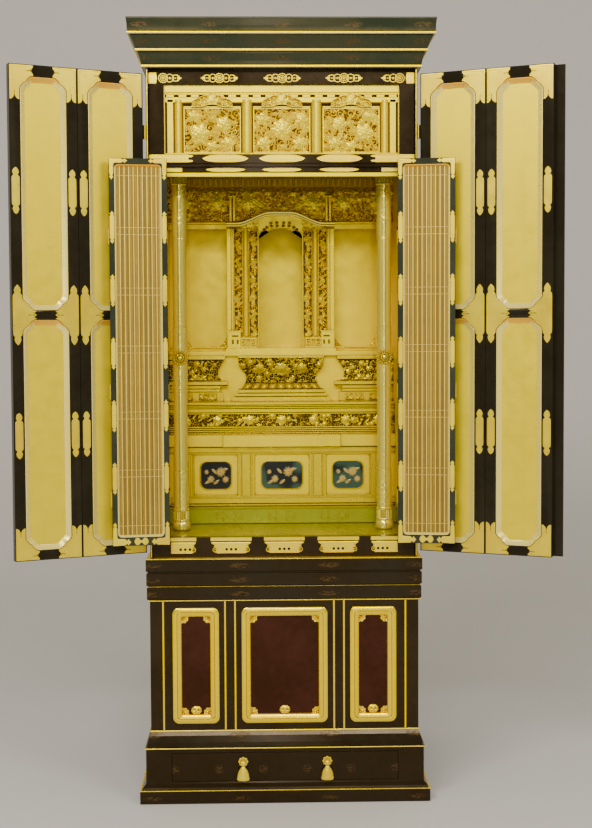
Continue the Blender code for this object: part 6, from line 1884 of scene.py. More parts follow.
# Painted flowers: place across as a share of the inset's half width, height, radius, petals and turn
INSET_BLOOMS = (
    (0.30, 0.008, 0.0125, 9, 0.0), (0.62, -0.010, 0.0085, 8, 0.5),
    (-0.34, -0.009, 0.0095, 7, 0.9), (-0.62, 0.008, 0.0060, 6, 0.2),
)
# Painted leaves: place across as above, height and turn
INSET_LEAVES = ((0.02, -0.016, 0.6), (-0.12, 0.010, 2.4), (0.55, 0.014, 0.2), (-0.55, -0.016, 3.6))


# Pilasters on each side of the cupboard: near and far place across
PILASTERS = ((0.0705, 0.0745), (0.0760, 0.0960), (0.0975, 0.1015), (0.2150, 0.2200), (0.2240, 0.2600))


def make_cupboard():
    """Rails, pilasters and beads of the low cupboard, and its three painted insets."""
    front = node_low("cupboard_front").y - FRONT_Y
    low_z, high_z = node_low("cupboard_front").z, node_high("cupboard_front").z
    forms = [
        slab(-WIDE, WIDE, low_z + 0.0006, low_z + 0.0050, front + 0.001, front - 0.0030),
        slab(-WIDE, WIDE, low_z + 0.0068, low_z + 0.0190, front + 0.001, front - 0.0020),
        slab(-WIDE, WIDE, high_z - 0.0130, high_z - 0.0012, front + 0.001, front - 0.0022),
        bead(-WIDE, WIDE, low_z + 0.0225, 0.0011, front - 0.0005),
        bead(-WIDE, WIDE, high_z - 0.0160, 0.0011, front - 0.0005),
    ]
    # Painted shade: thin slabs in the two grooves, with hollow values of 0.85 and 0.9, show as dark lines.
    groove_shades = [
        slab(-WIDE, WIDE, low_z + 0.0050, low_z + 0.0068, front + 0.001, front - 0.0006, hollow=0.85),
        slab(-WIDE, WIDE, high_z - 0.0013, high_z, front + 0.001, front - 0.0004, hollow=0.9),
    ]
    for sign in (-1, 1):
        for x0, x1 in PILASTERS:
            a, b = across(sign, x0, x1)
            forms.append(slab(a, b, low_z + 0.0245, high_z - 0.0180, front + 0.001, front - 0.0020, 0.0008))
    surface, painted = front_face(deep(front + 0.0030)), front_face(deep(front + 0.0042))
    nodes = ["cupboard_inset_left", "cupboard_inset_centre", "cupboard_inset_right"]
    insets = []
    halves = ((-0.159, 0.053, 0.037), (0.0, 0.066, 0.0495), (0.159, 0.053, 0.037))
    for node, (centre, field, inset) in zip(nodes, halves):
        low, high = flat_box(node)
        ring = [
            (*grown(low, high, 0.0030), 0.0175, -0.0004), (*grown(low, high, 0.0026), 0.0172, 0.0010),
            (*grown(low, high, 0.0008), 0.0160, 0.0012), (*grown(low, high, -0.0010), 0.0150, -0.0006),
        ]
        # Painted shade on the low edges of this frame, and of the field's edge below, through their hollow
        # values.
        forms.append(ring_frame(ring, surface, 8, hollow=[0.5, 0.0, 0.0, 0.6]))
        field_low, field_high = (centre - field, low_z + 0.0265), (centre + field, low_z + 0.1245)
        edge = [
            (*grown(field_low, field_high, 0.0018), 0.0, 0.0026),
            (*grown(field_low, field_high, 0.0014), 0.0, 0.0042),
            (*grown(field_low, field_high, 0.0), 0.0, 0.0042),
            (*grown(field_low, field_high, -0.0016), 0.0, -0.0002),
        ]
        forms.append(ring_frame(edge, surface, 1, hollow=[0.3, 0.0, 0.0, 0.5]))
        x, z = even_grid((low[0] + 0.0006, low[1] + 0.0006), (high[0] - 0.0006, high[1] - 0.0006), 0.0009)
        cx, cz = (low[0] + high[0]) / 2, (low[1] + high[1]) / 2
        cut = np.abs(x - cx) / inset + np.abs(z - cz) / 0.0335
        limit = np.clip(1.56 / np.maximum(cut, 1e-6), 0, 1)
        x, z = cx + (x - cx) * limit, cz + (z - cz) * limit
        motifs = [("bloom", cx + dx * inset, cz + dz, *rest, 0.0) for dx, dz, *rest in INSET_BLOOMS]
        motifs += [("leaf", cx + dx * inset, cz + dz, 0.0085, 1, turn, 0.0) for dx, dz, turn in INSET_LEAVES]
        height = carve(x, z, motifs)
        gold = np.clip((height - 0.30) * 2.2, 0, 1) * np.where(np.abs(np.sin(height * 26)) > 0.35, 1.0, 0.25)
        insets.append(plate(x, z, 0.0003 * gold + 0.0001, painted, gold))
    make_piece("cupboard_mouldings", forms + groove_shades, "altar leaf with painted shade", "gold_leaf")
    boards = []
    for node in nodes:
        levels = [(*flat_box(node), 0.0155, -0.0078), (*flat_box(node), 0.0155, 0.0)]
        boards.append(ring_frame(levels, painted, 8, False))
    make_piece("cupboard_painted_insets", insets + boards, "painted inset", "black_lacquer", nodes)


def make_bands():
    """Shelf edge lines and the plinth above: fine lines, a carved band and a plain gilt band."""
    shelf_low, shelf_high = node_low("altar_shelf").z, node_high("altar_shelf").z
    shelf = node_low("altar_shelf").y - FRONT_Y
    forms = [bead(-0.139, 0.139, z, 0.0010, shelf) for z in (shelf_low + 0.0012, shelf_high - 0.0012)]
    for sign in (-1, 1):
        ends = across(sign, 0.1405, WIDE)
        forms += [bead(*ends, z, 0.0010, shelf + 0.010) for z in (shelf_low + 0.0012, shelf_high - 0.0012)]
    front = node_low("altar_bands").y - FRONT_Y + 0.003
    z0 = node_low("altar_bands").z
    back = ROOM_BACK
    steps = (
        (0.0000, 0.0036, 0.000), (0.0046, 0.0082, 0.002), (0.0092, 0.0128, 0.0035), (0.0138, 0.0176, 0.005),
        (0.0470, 0.0505, 0.003), (0.0515, 0.0606, 0.001), (0.0616, 0.0648, -0.003), (0.0656, 0.0686, -0.001),
        (0.0694, 0.0762, 0.001),
    )
    for start, end, depth in steps:
        forms.append(slab(-WIDE, WIDE, z0 + start, z0 + end, back, front + depth, 0.0007))
    # Painted shade: a dark backing with a hollow value of 0.9 behind the stepped slabs and the carving.
    forms.append(slab(-WIDE, WIDE, z0 + 0.001, z0 + 0.0755, back, front + 0.012, hollow=0.9))
    x = np.linspace(-WIDE, WIDE, 460)
    low, high = z0 + 0.0180, z0 + 0.0466
    kinds = ("curl", "leaf", "curl", "leaf", "bloom")
    motifs = foliage(17, (-WIDE, low + 0.003), (WIDE, high - 0.003), 0.0105, kinds, 0.70)
    for index in range(-3, 4):
        motifs.append(("bloom", index * 0.0775, (low + high) / 2, 0.0125, 7, 0.0, 0.30))
    forms.append(carved_between(x, low, high, 25, motifs, front + 0.0085, 0.0060, back, 0.0, 0.05))
    make_piece("altar_plinth_carving", forms, "altar leaf with painted shade", "gold_leaf", ["altar_bands"])


DAIS_HALVES = (
    (0.0, 0.120), (0.10, 0.120), (0.105, 0.112), (0.17, 0.112), (0.175, 0.104), (0.27, 0.104), (0.28, 0.096),
    (0.36, 0.090), (0.44, 0.086), (0.52, 0.085), (0.62, 0.088), (0.72, 0.098), (0.80, 0.103), (0.86, 0.1035),
    (1.0, 0.1038),
)
TABLE_EDGES = (
    (0.0, 0.1416), (0.20, 0.1416), (0.205, 0.1490), (0.335, 0.1490), (0.34, 0.1300), (0.45, 0.1300),
    (0.455, 0.1440), (0.52, 0.1510), (0.60, 0.1545), (0.70, 0.1530), (0.80, 0.1470), (0.905, 0.1400),
    (0.91, 0.1365), (1.0, 0.1365),
)
DAIS_FRONT = 0.318
DAIS_Z, DAIS_TOP = node_low("dais_centre").z, node_high("dais_centre").z


def outlined_block(outline, columns, carve_at):
    """A block from the dais's foot to its top. Its middle and half width follow the share v of its height,
    u runs across it from -1 to 1, and a function of x, z, u and v gives its depth and hollow value."""
    v, u = np.meshgrid(np.linspace(0, 1, 96), np.linspace(-1, 1, columns), indexing="ij")
    middle, half = outline(v)
    x, z = middle + half * u, DAIS_Z + (DAIS_TOP - DAIS_Z) * v
    depth, hollow = carve_at(x, z, u, v)
    return relief(x, z, deep(depth), deep(ROOM_BACK), hollow)


def within(v, *bands):
    """True where v lies between the two ends of any band."""
    return np.any([(v > low) & (v < high) for low, high in bands], axis=0)


def dais_outline(v):
    return 0.0, np.interp(v, *np.array(DAIS_HALVES).T)


def dais_carving(x, z, u, v):
    """Slabs below, a row of lotus petals, and flowers and leaves on the waist above."""
    kinds = ("curl", "leaf", "curl", "bloom")
    motifs = foliage(23, (-0.105, DAIS_Z + 0.045), (0.105, DAIS_TOP - 0.006), 0.0112, kinds, 0.72)
    motifs += [("bloom", 0.0, DAIS_Z + 0.078, 0.0175, 9, 0.0, 0.35)]
    motifs += [("bloom", sign * 0.052, DAIS_Z + 0.080, 0.0130, 7, 0.2, 0.30) for sign in (-1, 1)]
    slabs = (v < 0.10) * 0.006 + within(v, (0.115, 0.17)) * 0.004
    slabs = slabs + within(v, (0.185, 0.26)) * 0.002 + (v > 0.955) * 0.004
    swell = np.clip(np.sin((v - 0.27) / 0.13 * math.pi), 0, 1) ** 0.5
    lotus = within(v, (0.27, 0.40)) * (0.25 + 0.75 * np.abs(np.cos(u * math.pi * 4.5)) * swell)
    height = np.where(within(v, (0.40, 0.95)), carve(x, z, motifs), lotus)
    flat = (v < 0.27) | (v >= 0.95)
    waist = 0.6 * (0.120 - dais_outline(v)[1])
    depth = DAIS_FRONT + waist + 0.004 - slabs - np.where(flat, 0, 0.0085 * height)
    # Painted shade in the grooves between the slabs, and in the carving by its depth.
    groove = within(v, (0.10, 0.115), (0.17, 0.185), (0.26, 0.275), (0.94, 0.955))
    return depth, np.where(groove, 0.9, np.where(flat, 0.0, shade(height)))


def make_table(side, sign):
    """A side table: slabs and carved bands whose inner edge is a scroll's profile."""
    reach = INNER_HALF - 0.0004

    def outline(v):
        half = (reach - np.interp(v, *np.array(TABLE_EDGES).T)) / 2
        return sign * (reach - half), half

    def carving(x, z, u, v):
        low, high = across(sign, 0.128, INNER_HALF)
        kinds = ("curl", "leaf", "curl", "bloom")
        motifs = foliage(29, (low, DAIS_Z + 0.050), (high, DAIS_TOP - 0.010), 0.0108, kinds, 0.72)
        motifs += foliage(31, (low, DAIS_Z + 0.004), (high, DAIS_Z + 0.018), 0.0135, ("curl", "leaf"), 0.55)
        fine = carve(x, z, motifs)
        upper = within(v, (0.465, 0.90))
        base = within(v, (0.04, 0.17)) & (np.abs(np.abs(u) - 0.45) < 0.32)
        slabs = (v < 0.20) * 0.0020 + within(v, (0.215, 0.27)) * 0.001
        slabs = slabs + within(v, (0.36, 0.44)) * 0.0080 + (v > 0.92) * 0.0050
        height = np.where(upper, fine, np.where(base, 0.55 + 0.45 * fine, 1.0))
        depth = DAIS_FRONT + 0.0085 - slabs - np.where(upper | base, 0.0065 * (height - 0.3), 0.0)
        # Painted shade in the grooves between the slabs, and in the carving by its depth.
        groove = within(v, *((start, start + 0.016) for start in (0.20, 0.27, 0.345, 0.445, 0.905)))
        return depth, np.where(groove, 0.9, np.where(upper | base, shade(height), 0.0))

    table = outlined_block(outline, 100, carving)
    make_piece(f"side_table_{side}_carving", table, "altar leaf with painted shade", "gold_leaf", ["side_table_" + side])


def make_dais():
    """Waisted dais between two plain grounds, and the carved side tables."""
    grounds = [slab(*across(sign, 0.078, 0.160), DAIS_Z, DAIS_TOP, 0.3600, 0.3480) for sign in (-1, 1)]
    make_piece("dais_wing_grounds", grounds, "inner wall leaf", "gold_leaf")
    dais = outlined_block(dais_outline, 190, dais_carving)
    make_piece("dais_carving", dais, "altar leaf with painted shade", "gold_leaf", ["dais_centre"])
    make_table("left", -1)
    make_table("right", 1)


# Palace

SCREEN = 0.342
SCREEN_Z = node_low("palace_screen").z
BEAM_TOP = CEILING_Z - 2 * GAP - 0.1164
BEAM_LOW = BEAM_TOP - 0.017
NICHE_TOP = BEAM_TOP - 0.0132
SCREEN_BACK = SCREEN + 0.014
SCREEN_TOP = BEAM_LOW + 0.001

# Blocks on each half of the screen: near and far place across, foot and head over the screen's foot, how far
# they stand ahead of the screen, chamfer and hollow value. The hollow values paint shade on the blocks that
# stand back
TALL = SCREEN_TOP - SCREEN_Z
UPRIGHTS = (
    (0.0548, 0.1305, 0.0002, TALL, -0.0075, 0.0008, 0.70),
    (0.1210, 0.1310, 0.0002, TALL, -0.001, 0.0008, 0.0),
    (0.1160, 0.1200, 0.0002, TALL, -0.004, 0.0008, 0.15),
    (0.1130, 0.1146, 0.0002, TALL, -0.005, 0.0008, 0.25),
    (0.0530, 0.0556, 0.0002, TALL, 0.0012, 0.0008, 0.0),
)
BALUSTRADE = [(0.0980, 0.1310, 0.0002, 0.0430, 0.0062, 0.0010, 0.0)]
BALUSTRADE += [
    (0.0600, 0.0980, z0, z1, 0.0045, 0.0008, 0.0) for z0, z1 in ((0.0002, 0.0045), (0.0217, 0.0260))
]
BALUSTRADE += [
    (x - 0.0013, x + 0.0013, 0.0002, 0.0255, 0.0040, 0.0006, 0.0) for x in (0.0615, 0.0735, 0.0855, 0.0960)
]
# Painted shade: dark blocks with a hollow value of 1 fill the balustrade's openings.
BALUSTRADE += [(x0, x1, 0.010, 0.0205, 0.0064, 0.0, 1.0) for x0, x1 in ((0.1030, 0.1075), (0.1150, 0.1195))]
BALUSTRADE.append((0.1035, 0.1190, 0.0275, 0.0315, 0.0064, 0.0, 1.0))
NICHE_DOTS = (
    (0.0075, 0.0055), (0.0085, 0.0125), (0.0215, 0.0050), (0.0225, 0.0120), (0.0330, 0.0015),
    (0.0400, -0.0040)
)


def beam_top(x):
    """Top of the cusped beam: a smooth rise of 26 mm from the side beams to a flat centre."""
    share = np.clip((np.abs(x) - 0.023) / (0.1066 - 0.023), 0, 1)
    return BEAM_TOP + 0.026 * (1 - share * share * (3 - 2 * share))


def niche_edge(x):
    """Upper edge of the niche: a quarter circle at each shoulder and a low cusp in the middle."""
    away = np.abs(x)
    shoulder = NICHE_TOP - 0.026 + np.sqrt(np.clip(0.020**2 - np.clip(away - 0.0335, 0, 0.020) ** 2, 0, None))
    heights = [NICHE_TOP - drop for drop in (0.0, 0.003, 0.009, 0.006)]
    middle = np.interp(away, (0.0, 0.018, 0.0295, 0.0335), heights)
    return np.where(away > 0.0335, shoulder, middle)


def jamb_motifs(seed, inner, outer, low, high, sway):
    """A winding stem: flowers and leaves that swing from side to side as they climb."""
    rng = np.random.default_rng(seed)
    width, middle = outer - inner, (inner + outer) / 2
    motifs = []
    steps = int((high - low) / (width * 0.55))
    for index in range(steps + 1):
        z = low + (high - low) * index / steps
        x = middle + sway * width * math.sin(index * 1.35)
        kind = ("bloom", "leaf", "curl", "leaf")[index % 4]
        size = {"bloom": 0.42, "leaf": 0.55, "curl": 0.40}[kind] * width
        count = {"bloom": 6, "leaf": 1, "curl": 1 if index % 8 < 4 else -1}[kind]
        lift = 0.25 if kind == "bloom" else 0.1
        motifs.append((kind, x, z, size * rng.uniform(0.9, 1.15), count, rng.uniform(0, math.tau), lift))
        x = middle - sway * width * math.sin(index * 1.35) * 1.3
        motifs.append(("leaf", x, z + 0.3 * width, 0.38 * width, 1, rng.uniform(0, math.tau), 0.0))
    return motifs


def screen_half(sign):
    """One half of the screen: uprights, carved jambs, balustrade blocks and scrolls, and the side beams."""

    def block(near, far, z0, z1, ahead, chamfer, hollow):
        a, b = across(sign, near, far)
        return slab(a, b, SCREEN_Z + z0, SCREEN_Z + z1, SCREEN_BACK, SCREEN - ahead, chamfer, hollow)

    forms = [block(*row) for row in UPRIGHTS]
    forms.append(
        half_round(sign * 0.0848, 0.0072, SCREEN_Z + 0.030, SCREEN_TOP, SCREEN + 0.0080, SCREEN - 0.0015)
    )
    for inner, outer, seed, sway in ((0.0560, 0.0762, 41, 0.16), (0.0936, 0.1125, 43, 0.22)):
        a, b = across(sign, inner, outer)
        x, z = even_grid((a, SCREEN_Z + 0.028), (b, SCREEN_TOP), 0.0011)
        height = np.maximum(carve(x, z, jamb_motifs(seed, a, b, SCREEN_Z + 0.030, SCREEN_TOP, sway)), 0.0)
        forms.append(relief(x, z, deep(SCREEN + 0.006) - 0.0125 * height, deep(SCREEN_BACK), shade(height)))
    x = sign * np.linspace(0.0535, 0.1066, 60)
    foot = np.full(60, BEAM_LOW - 0.004)
    head = np.maximum(beam_top(x) - 0.0095, foot + 0.004)
    motifs = foliage(47, (min(x), BEAM_LOW - 0.006), (max(x), BEAM_TOP + 0.004), 0.0092)
    forms.append(carved_between(x, foot, head, 22, motifs, SCREEN + 0.0035, 0.0045, SCREEN_BACK, 0.0, 0.50))
    forms += [block(*row) for row in BALUSTRADE]
    forms.append(block(0.0968, 0.1310 if sign > 0 else 0.1322, 0.0390, 0.0430, 0.0072, 0.0008, 0.0))
    for cx, turn in ((0.0680, 1), (0.0915, -1)):
        path = curl_path(sign * cx, SCREEN_Z + 0.0125, 0.0068, 1.1, 0.5, sign * turn, -(SCREEN - 0.0020))
        forms.append(tube(path, 0.0013, DEPTHS, 6, False, 0.8))
    for near, far, lean in ((0.1330, 0.1560, 1), (0.2150, 0.2330, -1)):
        t = np.linspace(0, 1, 25)
        lift = (1 - t) if lean > 0 else t
        head = SCREEN_Z + 0.0035 + 0.0235 * lift**1.7
        scroll = near + (far - near) * (0.30 if lean > 0 else 0.70)
        motifs = [("curl", sign * scroll, SCREEN_Z + 0.0095, 0.0085, sign * lean, 0.0, 0.2)]
        a, b = across(sign, near, far)
        motifs += foliage(53, (a, SCREEN_Z), (b, SCREEN_Z + 0.022), 0.0085)
        x = sign * (near + (far - near) * t)
        forms.append(carved_between(x, SCREEN_Z, head, 18, motifs, 0.3960, 0.004, 0.3995, 0.0010, 0.25))
    ends = across(sign, 0.1312, WIDE)
    forms.append(slab(*ends, BEAM_LOW + 0.0002, BEAM_TOP - 0.0050, SCREEN_BACK, SCREEN - 0.0010))
    forms.append(slab(*ends, BEAM_TOP - 0.0046, BEAM_TOP - 0.0004, SCREEN_BACK, SCREEN - 0.0040))
    forms.append(slab(*ends, SCREEN_Z + 0.0002, SCREEN_Z + 0.0040, 0.3995, 0.3930, 0.0008))
    x = np.sort(sign * np.linspace(0.0534, 0.0536, 4))
    forms.append(carved_between(x, NICHE_TOP - 0.027, NICHE_TOP, 4, [], SCREEN + 0.001, 0.0, SCREEN_BACK))
    return forms


def make_palace():
    """Screen with carved jambs, cusped beam, spandrel, balustrade blocks and the frieze over it."""
    forms = screen_half(-1) + screen_half(1)
    x = np.linspace(-0.0535, 0.0535, 150)
    foot, head = niche_edge(x), beam_top(x) - 0.0100
    z = foot + (head - foot) * np.linspace(0, 1, 26)[:, None]
    xs = np.broadcast_to(x, z.shape).copy()
    hollow = np.zeros(z.shape)
    # Painted shade in the spandrel's sunk dots.
    for cx, drop in [(sign * place, drop) for sign in (-1, 1) for place, drop in NICHE_DOTS]:
        away = np.hypot((xs - cx) / 0.0022, (z - NICHE_TOP - drop) / 0.0017)
        hollow = np.maximum(hollow, np.clip(1.9 - away, 0, 1))
    edge = np.clip(1 - (z - foot) / 0.0022, 0, 1)
    depth = deep(SCREEN + 0.0025) - 0.0040 * (edge > 0.02) + 0.0035 * hollow
    forms.append(relief(xs, z, depth, deep(SCREEN_BACK), hollow))
    ends = np.linspace(0.1066, 0.1310, 6)
    x = np.concatenate([-ends[:0:-1], np.linspace(-0.1066, 0.1066, 160), ends[1:]])
    profile = (
        (-0.0108, 0.010), (-0.0108, -0.0015), (-0.0092, -0.0032), (-0.0075, -0.0036), (-0.0062, -0.0020),
        (-0.0048, -0.0052)
    )
    profile += ((-0.0020, -0.0062), (-0.0006, -0.0050), (-0.0004, 0.010))
    rings = []
    for drop, depth in profile:
        rings.append(np.stack([x, np.full(len(x), deep(SCREEN + depth)), beam_top(x) + drop], -1))
    # Painted shade in the beam's groove and along its back edges, through the hollow values of its section.
    beam = loft(np.stack(rings, 1), False, np.tile([0.3, 0.1, 0.0, 0.0, 0.7, 0.0, 0.0, 0.0, 0.3], len(x)))
    make_piece("palace_screen_carving", forms, "carved leaf", "gold_leaf", ["palace_screen"])
    make_piece("palace_cusped_beam", beam, "pillar leaf with painted highlight", "gold_leaf")
    make_frieze()


def make_frieze():
    """Flowers and clouds over the palace, short posts, and a row of brackets in a painted shadow above."""
    x = np.linspace(-WIDE, WIDE, 420)
    foot = beam_top(x) + 0.0019
    head = np.full_like(x, CEILING_Z - 2 * GAP)
    share = np.linspace(0, 1, 84)[:, None]
    z = foot + (head - foot) * share
    xs = np.broadcast_to(x, z.shape).copy()
    kinds = ("curl", "leaf", "curl", "bloom", "leaf")
    motifs = foliage(61, (-WIDE, BEAM_TOP), (WIDE, BEAM_TOP + 0.082), 0.0125, kinds, 0.75)
    spray = (("leaf", 7, 0.027, 0.0140), ("curl", 5, 0.034, 0.0100))
    pitch = 2 * INNER_HALF / 7
    for index in range(-3, 4):
        if index:
            motifs.append(("bloom", index * pitch, BEAM_TOP + 0.048, 0.0200, 7, 0.3 * index, 0.35))
            motifs += cluster(index * pitch, BEAM_TOP + 0.048, 70 + index, spray)
    for sign in (-1, 1):
        motifs.append(("curl", sign * 0.030, BEAM_TOP + 0.055, 0.0150, sign, 0.0, 0.2))
        motifs.append(("leaf", sign * 0.052, BEAM_TOP + 0.046, 0.0200, 1, 0.6 * sign, 0.2))
    height = carve(xs, z, motifs)
    fade_up = np.clip((BEAM_TOP + 0.086 - z) / 0.012, 0, 1)
    bracket = np.abs(np.mod(xs + 0.0065, 0.0130) - 0.0065) < 0.0034
    bracket &= (z > BEAM_TOP + 0.090) & (z < BEAM_TOP + 0.106)
    height = height * fade_up
    depth = deep(0.350) - 0.0120 * height + 0.004 * (1 - fade_up)
    # Painted shadow: the band above the carving, where it fades out, gets a hollow value of 0.8, and the
    # brackets in that band 0.72, so both show dark.
    hollow = np.maximum(0.80 * (1 - fade_up), 0.66 * shade(height))
    hollow = np.where(bracket, 0.72, hollow)
    depth = np.where(bracket, deep(0.348), depth)
    forms = [relief(xs, z, depth, deep(0.366), hollow)]
    for sign in (-1, 1):
        # Painted shade on the short posts and their cap, through hollow values of 0.35 and 0.2.
        for a, b in ((0.1095, 0.1150), (0.1180, 0.1235)):
            x0, x1 = across(sign, a, b)
            forms.append(slab(x0, x1, BEAM_TOP + 0.0020, BEAM_TOP + 0.0600, 0.351, 0.3345, 0.0008, 0.35))
        x0, x1 = across(sign, 0.1065, 0.1265)
        forms.append(slab(x0, x1, BEAM_TOP + 0.0600, BEAM_TOP + 0.0640, 0.351, 0.3325, 0.0008, 0.2))
    make_piece("palace_frieze_carving", forms, "carved leaf", "gold_leaf", ["palace_frieze"])


# Studio


def make_stage():
    """Pale floor that sweeps up behind, soft lights and the camera."""
    studio = bpy.context.scene.altar_studio
    depth = np.concatenate(
        [np.linspace(-9.0, 2.2, 12), 2.2 + 1.6 * np.sin(np.linspace(0.1, math.pi / 2, 12)), [3.8, 3.8]]
    )
    rise = np.concatenate([np.zeros(12), 1.6 - 1.6 * np.cos(np.linspace(0.1, math.pi / 2, 12)), [4.0, 7.0]])
    x, y = np.meshgrid(np.linspace(-9.0, 9.0, 9), depth)
    z = np.broadcast_to(rise[:, None], x.shape)
    mesh = bpy.data.meshes.new("floor")
    mesh.from_pydata(np.stack([x, y, z], -1).reshape(-1, 3).tolist(), [], grid_quads(*x.shape).tolist())
    mesh.polygons.foreach_set("use_smooth", np.ones(len(mesh.polygons), bool))
    floor = bpy.data.objects.new("floor", mesh)
    bpy.context.scene.collection.objects.link(floor)
    tree, shader, point = start_material("studio floor")
    soft = mottled(tree, point, 1.5)
    tint = tuple(studio.floor)
    shadow = tuple(0.95 * value for value in tint)
    feed(tree, shader["Base Color"], blend(tree, calc(tree, "MULTIPLY", soft, 0.3), tint, shadow))
    feed(tree, shader["Roughness"], calc(tree, "MULTIPLY_ADD", soft, 0.08, 0.72))
    mesh.materials.append(bpy.data.materials["studio floor"])
    world = bpy.data.worlds.new("studio sky")
    world.use_nodes = True
    background = world.node_tree.nodes["Background"]
    background.inputs["Color"].default_value = (1.0, 0.90, 0.70, 1.0)
    background.inputs["Strength"].default_value = studio.sky
    bpy.context.scene.world = world
    lights = (
        ("key_light", (-1.7, -3.4, 3.3), (1.6, 1.0), studio.key, (1.0, 0.96, 0.90)),
        ("fill_light", (2.4, -3.0, 3.1), (1.4, 1.0), studio.fill, (1.0, 0.95, 0.88)),
        ("front_light", (0.0, -5.5, 3.3), (2.6, 0.5), studio.front, (1.0, 0.96, 0.90)),
        ("centre_light", (0.0, -6.5, 1.35), (0.30, 2.0), studio.centre, (1.0, 0.96, 0.90)),
    )
    for name, place, size, power, colour in lights:
        lamp = bpy.data.lights.new(name, "AREA")
        lamp.shape, lamp.size, lamp.size_y = "RECTANGLE", *size
        lamp.energy, lamp.color = power, colour
        light = bpy.data.objects.new(name, lamp)
        light.location = place
        light.rotation_euler = (Vector((0, 0, 1.0)) - light.location).to_track_quat("-Z", "Y").to_euler()
        bpy.context.scene.collection.objects.link(light)
    lens = bpy.data.cameras.new("altar_camera")
    lens.lens, lens.sensor_width = CAMERA_LENS, 36.0
    camera = bpy.data.objects.new("altar_camera", lens)
    ahead = math.cos(CAMERA_DIP)
    forward = Vector((math.sin(CAMERA_YAW) * ahead, math.cos(CAMERA_YAW) * ahead, -math.sin(CAMERA_DIP)))
    level = Vector((math.cos(CAMERA_YAW), -math.sin(CAMERA_YAW), 0))
    above = level.cross(forward)
    right = math.cos(CAMERA_ROLL) * level + math.sin(CAMERA_ROLL) * above
    up = -math.sin(CAMERA_ROLL) * level + math.cos(CAMERA_ROLL) * above
    turned_to = Matrix((right, up, -forward)).transposed().to_4x4()
    camera.matrix_world = Matrix.Translation(CAMERA_PLACE) @ turned_to
    bpy.context.scene.collection.objects.link(camera)
    bpy.context.scene.camera = camera


# Operators, panel and registration


def make_leaves(make):
    """Both pairs of doors or lattices, inner leaf and outer leaf."""
    for side, sign in (("left", -1), ("right", 1)):
        for which in ("inner", "outer"):
            make(side, sign, which)


class MakeFinishes(bpy.types.Operator):
    """Shader groups and materials"""

    bl_idname = "altar.finishes"
    bl_label = "Finishes"

    def execute(self, context):
        make_finishes()
        return {"FINISHED"}


class MakeBoards(bpy.types.Operator):
    """Lacquered boards of the cabinet and stand"""

    bl_idname = "altar.boards"
    bl_label = "Boards"

    def execute(self, context):
        make_boards()
        return {"FINISHED"}


class MakeCrown(bpy.types.Operator):
    """Stepped crown with its gilt beads"""

    bl_idname = "altar.crown"
    bl_label = "Crown"

    def execute(self, context):
        make_crown()
        return {"FINISHED"}


class MakeUpperFittings(bpy.types.Operator):
    """Linked rings along the rail over the transom"""

    bl_idname = "altar.upper_fittings"
    bl_label = "Upper rail fittings"

    def execute(self, context):
        make_rail_fittings()
        return {"FINISHED"}


class MakeLintelFittings(bpy.types.Operator):
    """Brass plates and the gilt strip of the lintel"""

    bl_idname = "altar.lintel_fittings"
    bl_label = "Lintel fittings"

    def execute(self, context):
        make_lintel_fittings()
        return {"FINISHED"}


class MakeSillFittings(bpy.types.Operator):
    """Scalloped brass plates under the opening"""

    bl_idname = "altar.sill_fittings"
    bl_label = "Sill fittings"

    def execute(self, context):
        make_sill_fittings()
        return {"FINISHED"}


class MakeTransom(bpy.types.Operator):
    """Carved panels, pillars and rails over the opening"""

    bl_idname = "altar.transom"
    bl_label = "Transom"

    def execute(self, context):
        make_transom()
        return {"FINISHED"}


class MakeColumns(bpy.types.Operator):
    """Two round gilt columns"""

    bl_idname = "altar.columns"
    bl_label = "Columns"

    def execute(self, context):
        make_columns()
        return {"FINISHED"}


class MakeStep(bpy.types.Operator):
    """Front step with its medallions"""

    bl_idname = "altar.step"
    bl_label = "Step"

    def execute(self, context):
        make_step()
        return {"FINISHED"}


class MakeCupboard(bpy.types.Operator):
    """Low cupboard front with painted insets"""

    bl_idname = "altar.cupboard"
    bl_label = "Cupboard"

    def execute(self, context):
        make_cupboard()
        return {"FINISHED"}


class MakePlinth(bpy.types.Operator):
    """Stepped plinth with its carved band"""

    bl_idname = "altar.plinth"
    bl_label = "Altar plinth"

    def execute(self, context):
        make_bands()
        return {"FINISHED"}


class MakeDais(bpy.types.Operator):
    """Lotus dais and the two side tables"""

    bl_idname = "altar.dais"
    bl_label = "Dais and tables"

    def execute(self, context):
        make_dais()
        return {"FINISHED"}


class MakePalace(bpy.types.Operator):
    """Palace screen with its niche, beam and frieze"""

    bl_idname = "altar.palace"
    bl_label = "Palace"

    def execute(self, context):
        make_palace()
        return {"FINISHED"}


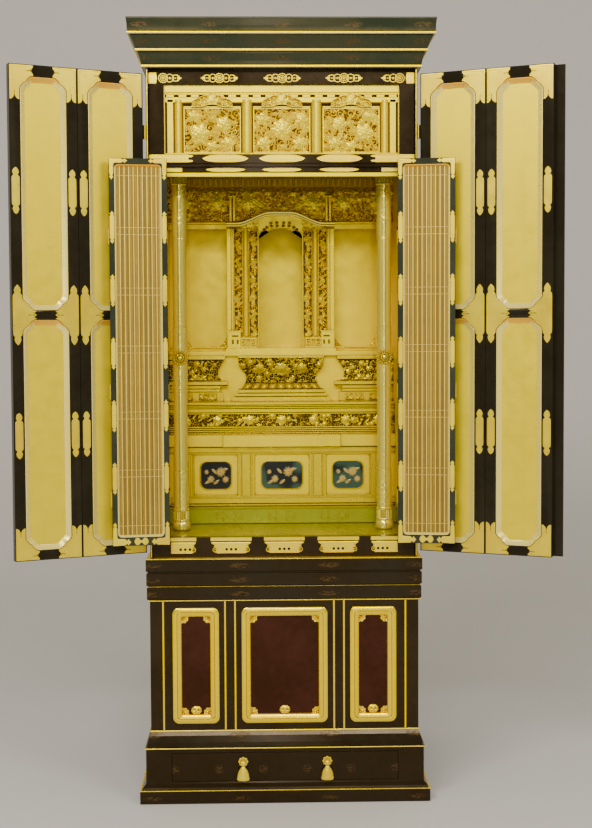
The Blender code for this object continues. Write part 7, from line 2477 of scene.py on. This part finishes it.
class MakeDoors(bpy.types.Operator):
    """Four black and gilt door leaves"""

    bl_idname = "altar.doors"
    bl_label = "Outer doors"

    def execute(self, context):
        make_leaves(make_door)
        return {"FINISHED"}


class MakeLattices(bpy.types.Operator):
    """Four lattice leaves with copper gauze"""

    bl_idname = "altar.lattices"
    bl_label = "Lattice doors"

    def execute(self, context):
        make_leaves(make_lattice)
        return {"FINISHED"}


class MakeStand(bpy.types.Operator):
    """Stand with its framed fields, beads and pulls"""

    bl_idname = "altar.stand"
    bl_label = "Stand"

    def execute(self, context):
        make_stand()
        return {"FINISHED"}


class MakeStudio(bpy.types.Operator):
    """Floor, lights and camera"""

    bl_idname = "altar.studio"
    bl_label = "Studio"

    def execute(self, context):
        make_stage()
        return {"FINISHED"}


OPERATORS = (
    MakeFinishes, MakeBoards, MakeCrown, MakeUpperFittings, MakeLintelFittings, MakeSillFittings,
    MakeTransom, MakeColumns, MakeStep, MakeCupboard, MakePlinth, MakeDais, MakePalace, MakeDoors,
    MakeLattices, MakeStand, MakeStudio,
)


class AltarPanel(bpy.types.Panel):
    """Lists the making steps in order, under the settings they read"""

    bl_idname = "VIEW3D_PT_altar"
    bl_label = "Home altar"
    bl_space_type = "VIEW_3D"
    bl_region_type = "UI"
    bl_category = "Altar"

    def draw(self, context):
        for settings in SETTINGS:
            group = getattr(context.scene, settings)
            box = self.layout.box()
            for key in group.__annotations__:
                box.prop(group, key)
        for operator in OPERATORS:
            self.layout.operator(operator.bl_idname)


SETTINGS = {"altar_sizes": AltarSizes, "altar_colours": AltarColours, "altar_studio": AltarStudio}
CLASSES = (*SETTINGS.values(), *OPERATORS, AltarPanel)


def register():
    for kind in CLASSES:
        bpy.utils.register_class(kind)
    for name, group in SETTINGS.items():
        setattr(bpy.types.Scene, name, bpy.props.PointerProperty(type=group))


def unregister():
    for name in SETTINGS:
        delattr(bpy.types.Scene, name)
    for kind in reversed(CLASSES):
        bpy.utils.unregister_class(kind)


def main():
    register()
    for operator in OPERATORS:
        getattr(bpy.ops.altar, operator.bl_idname.split(".")[1])()


if __name__ == "__main__":
    main()
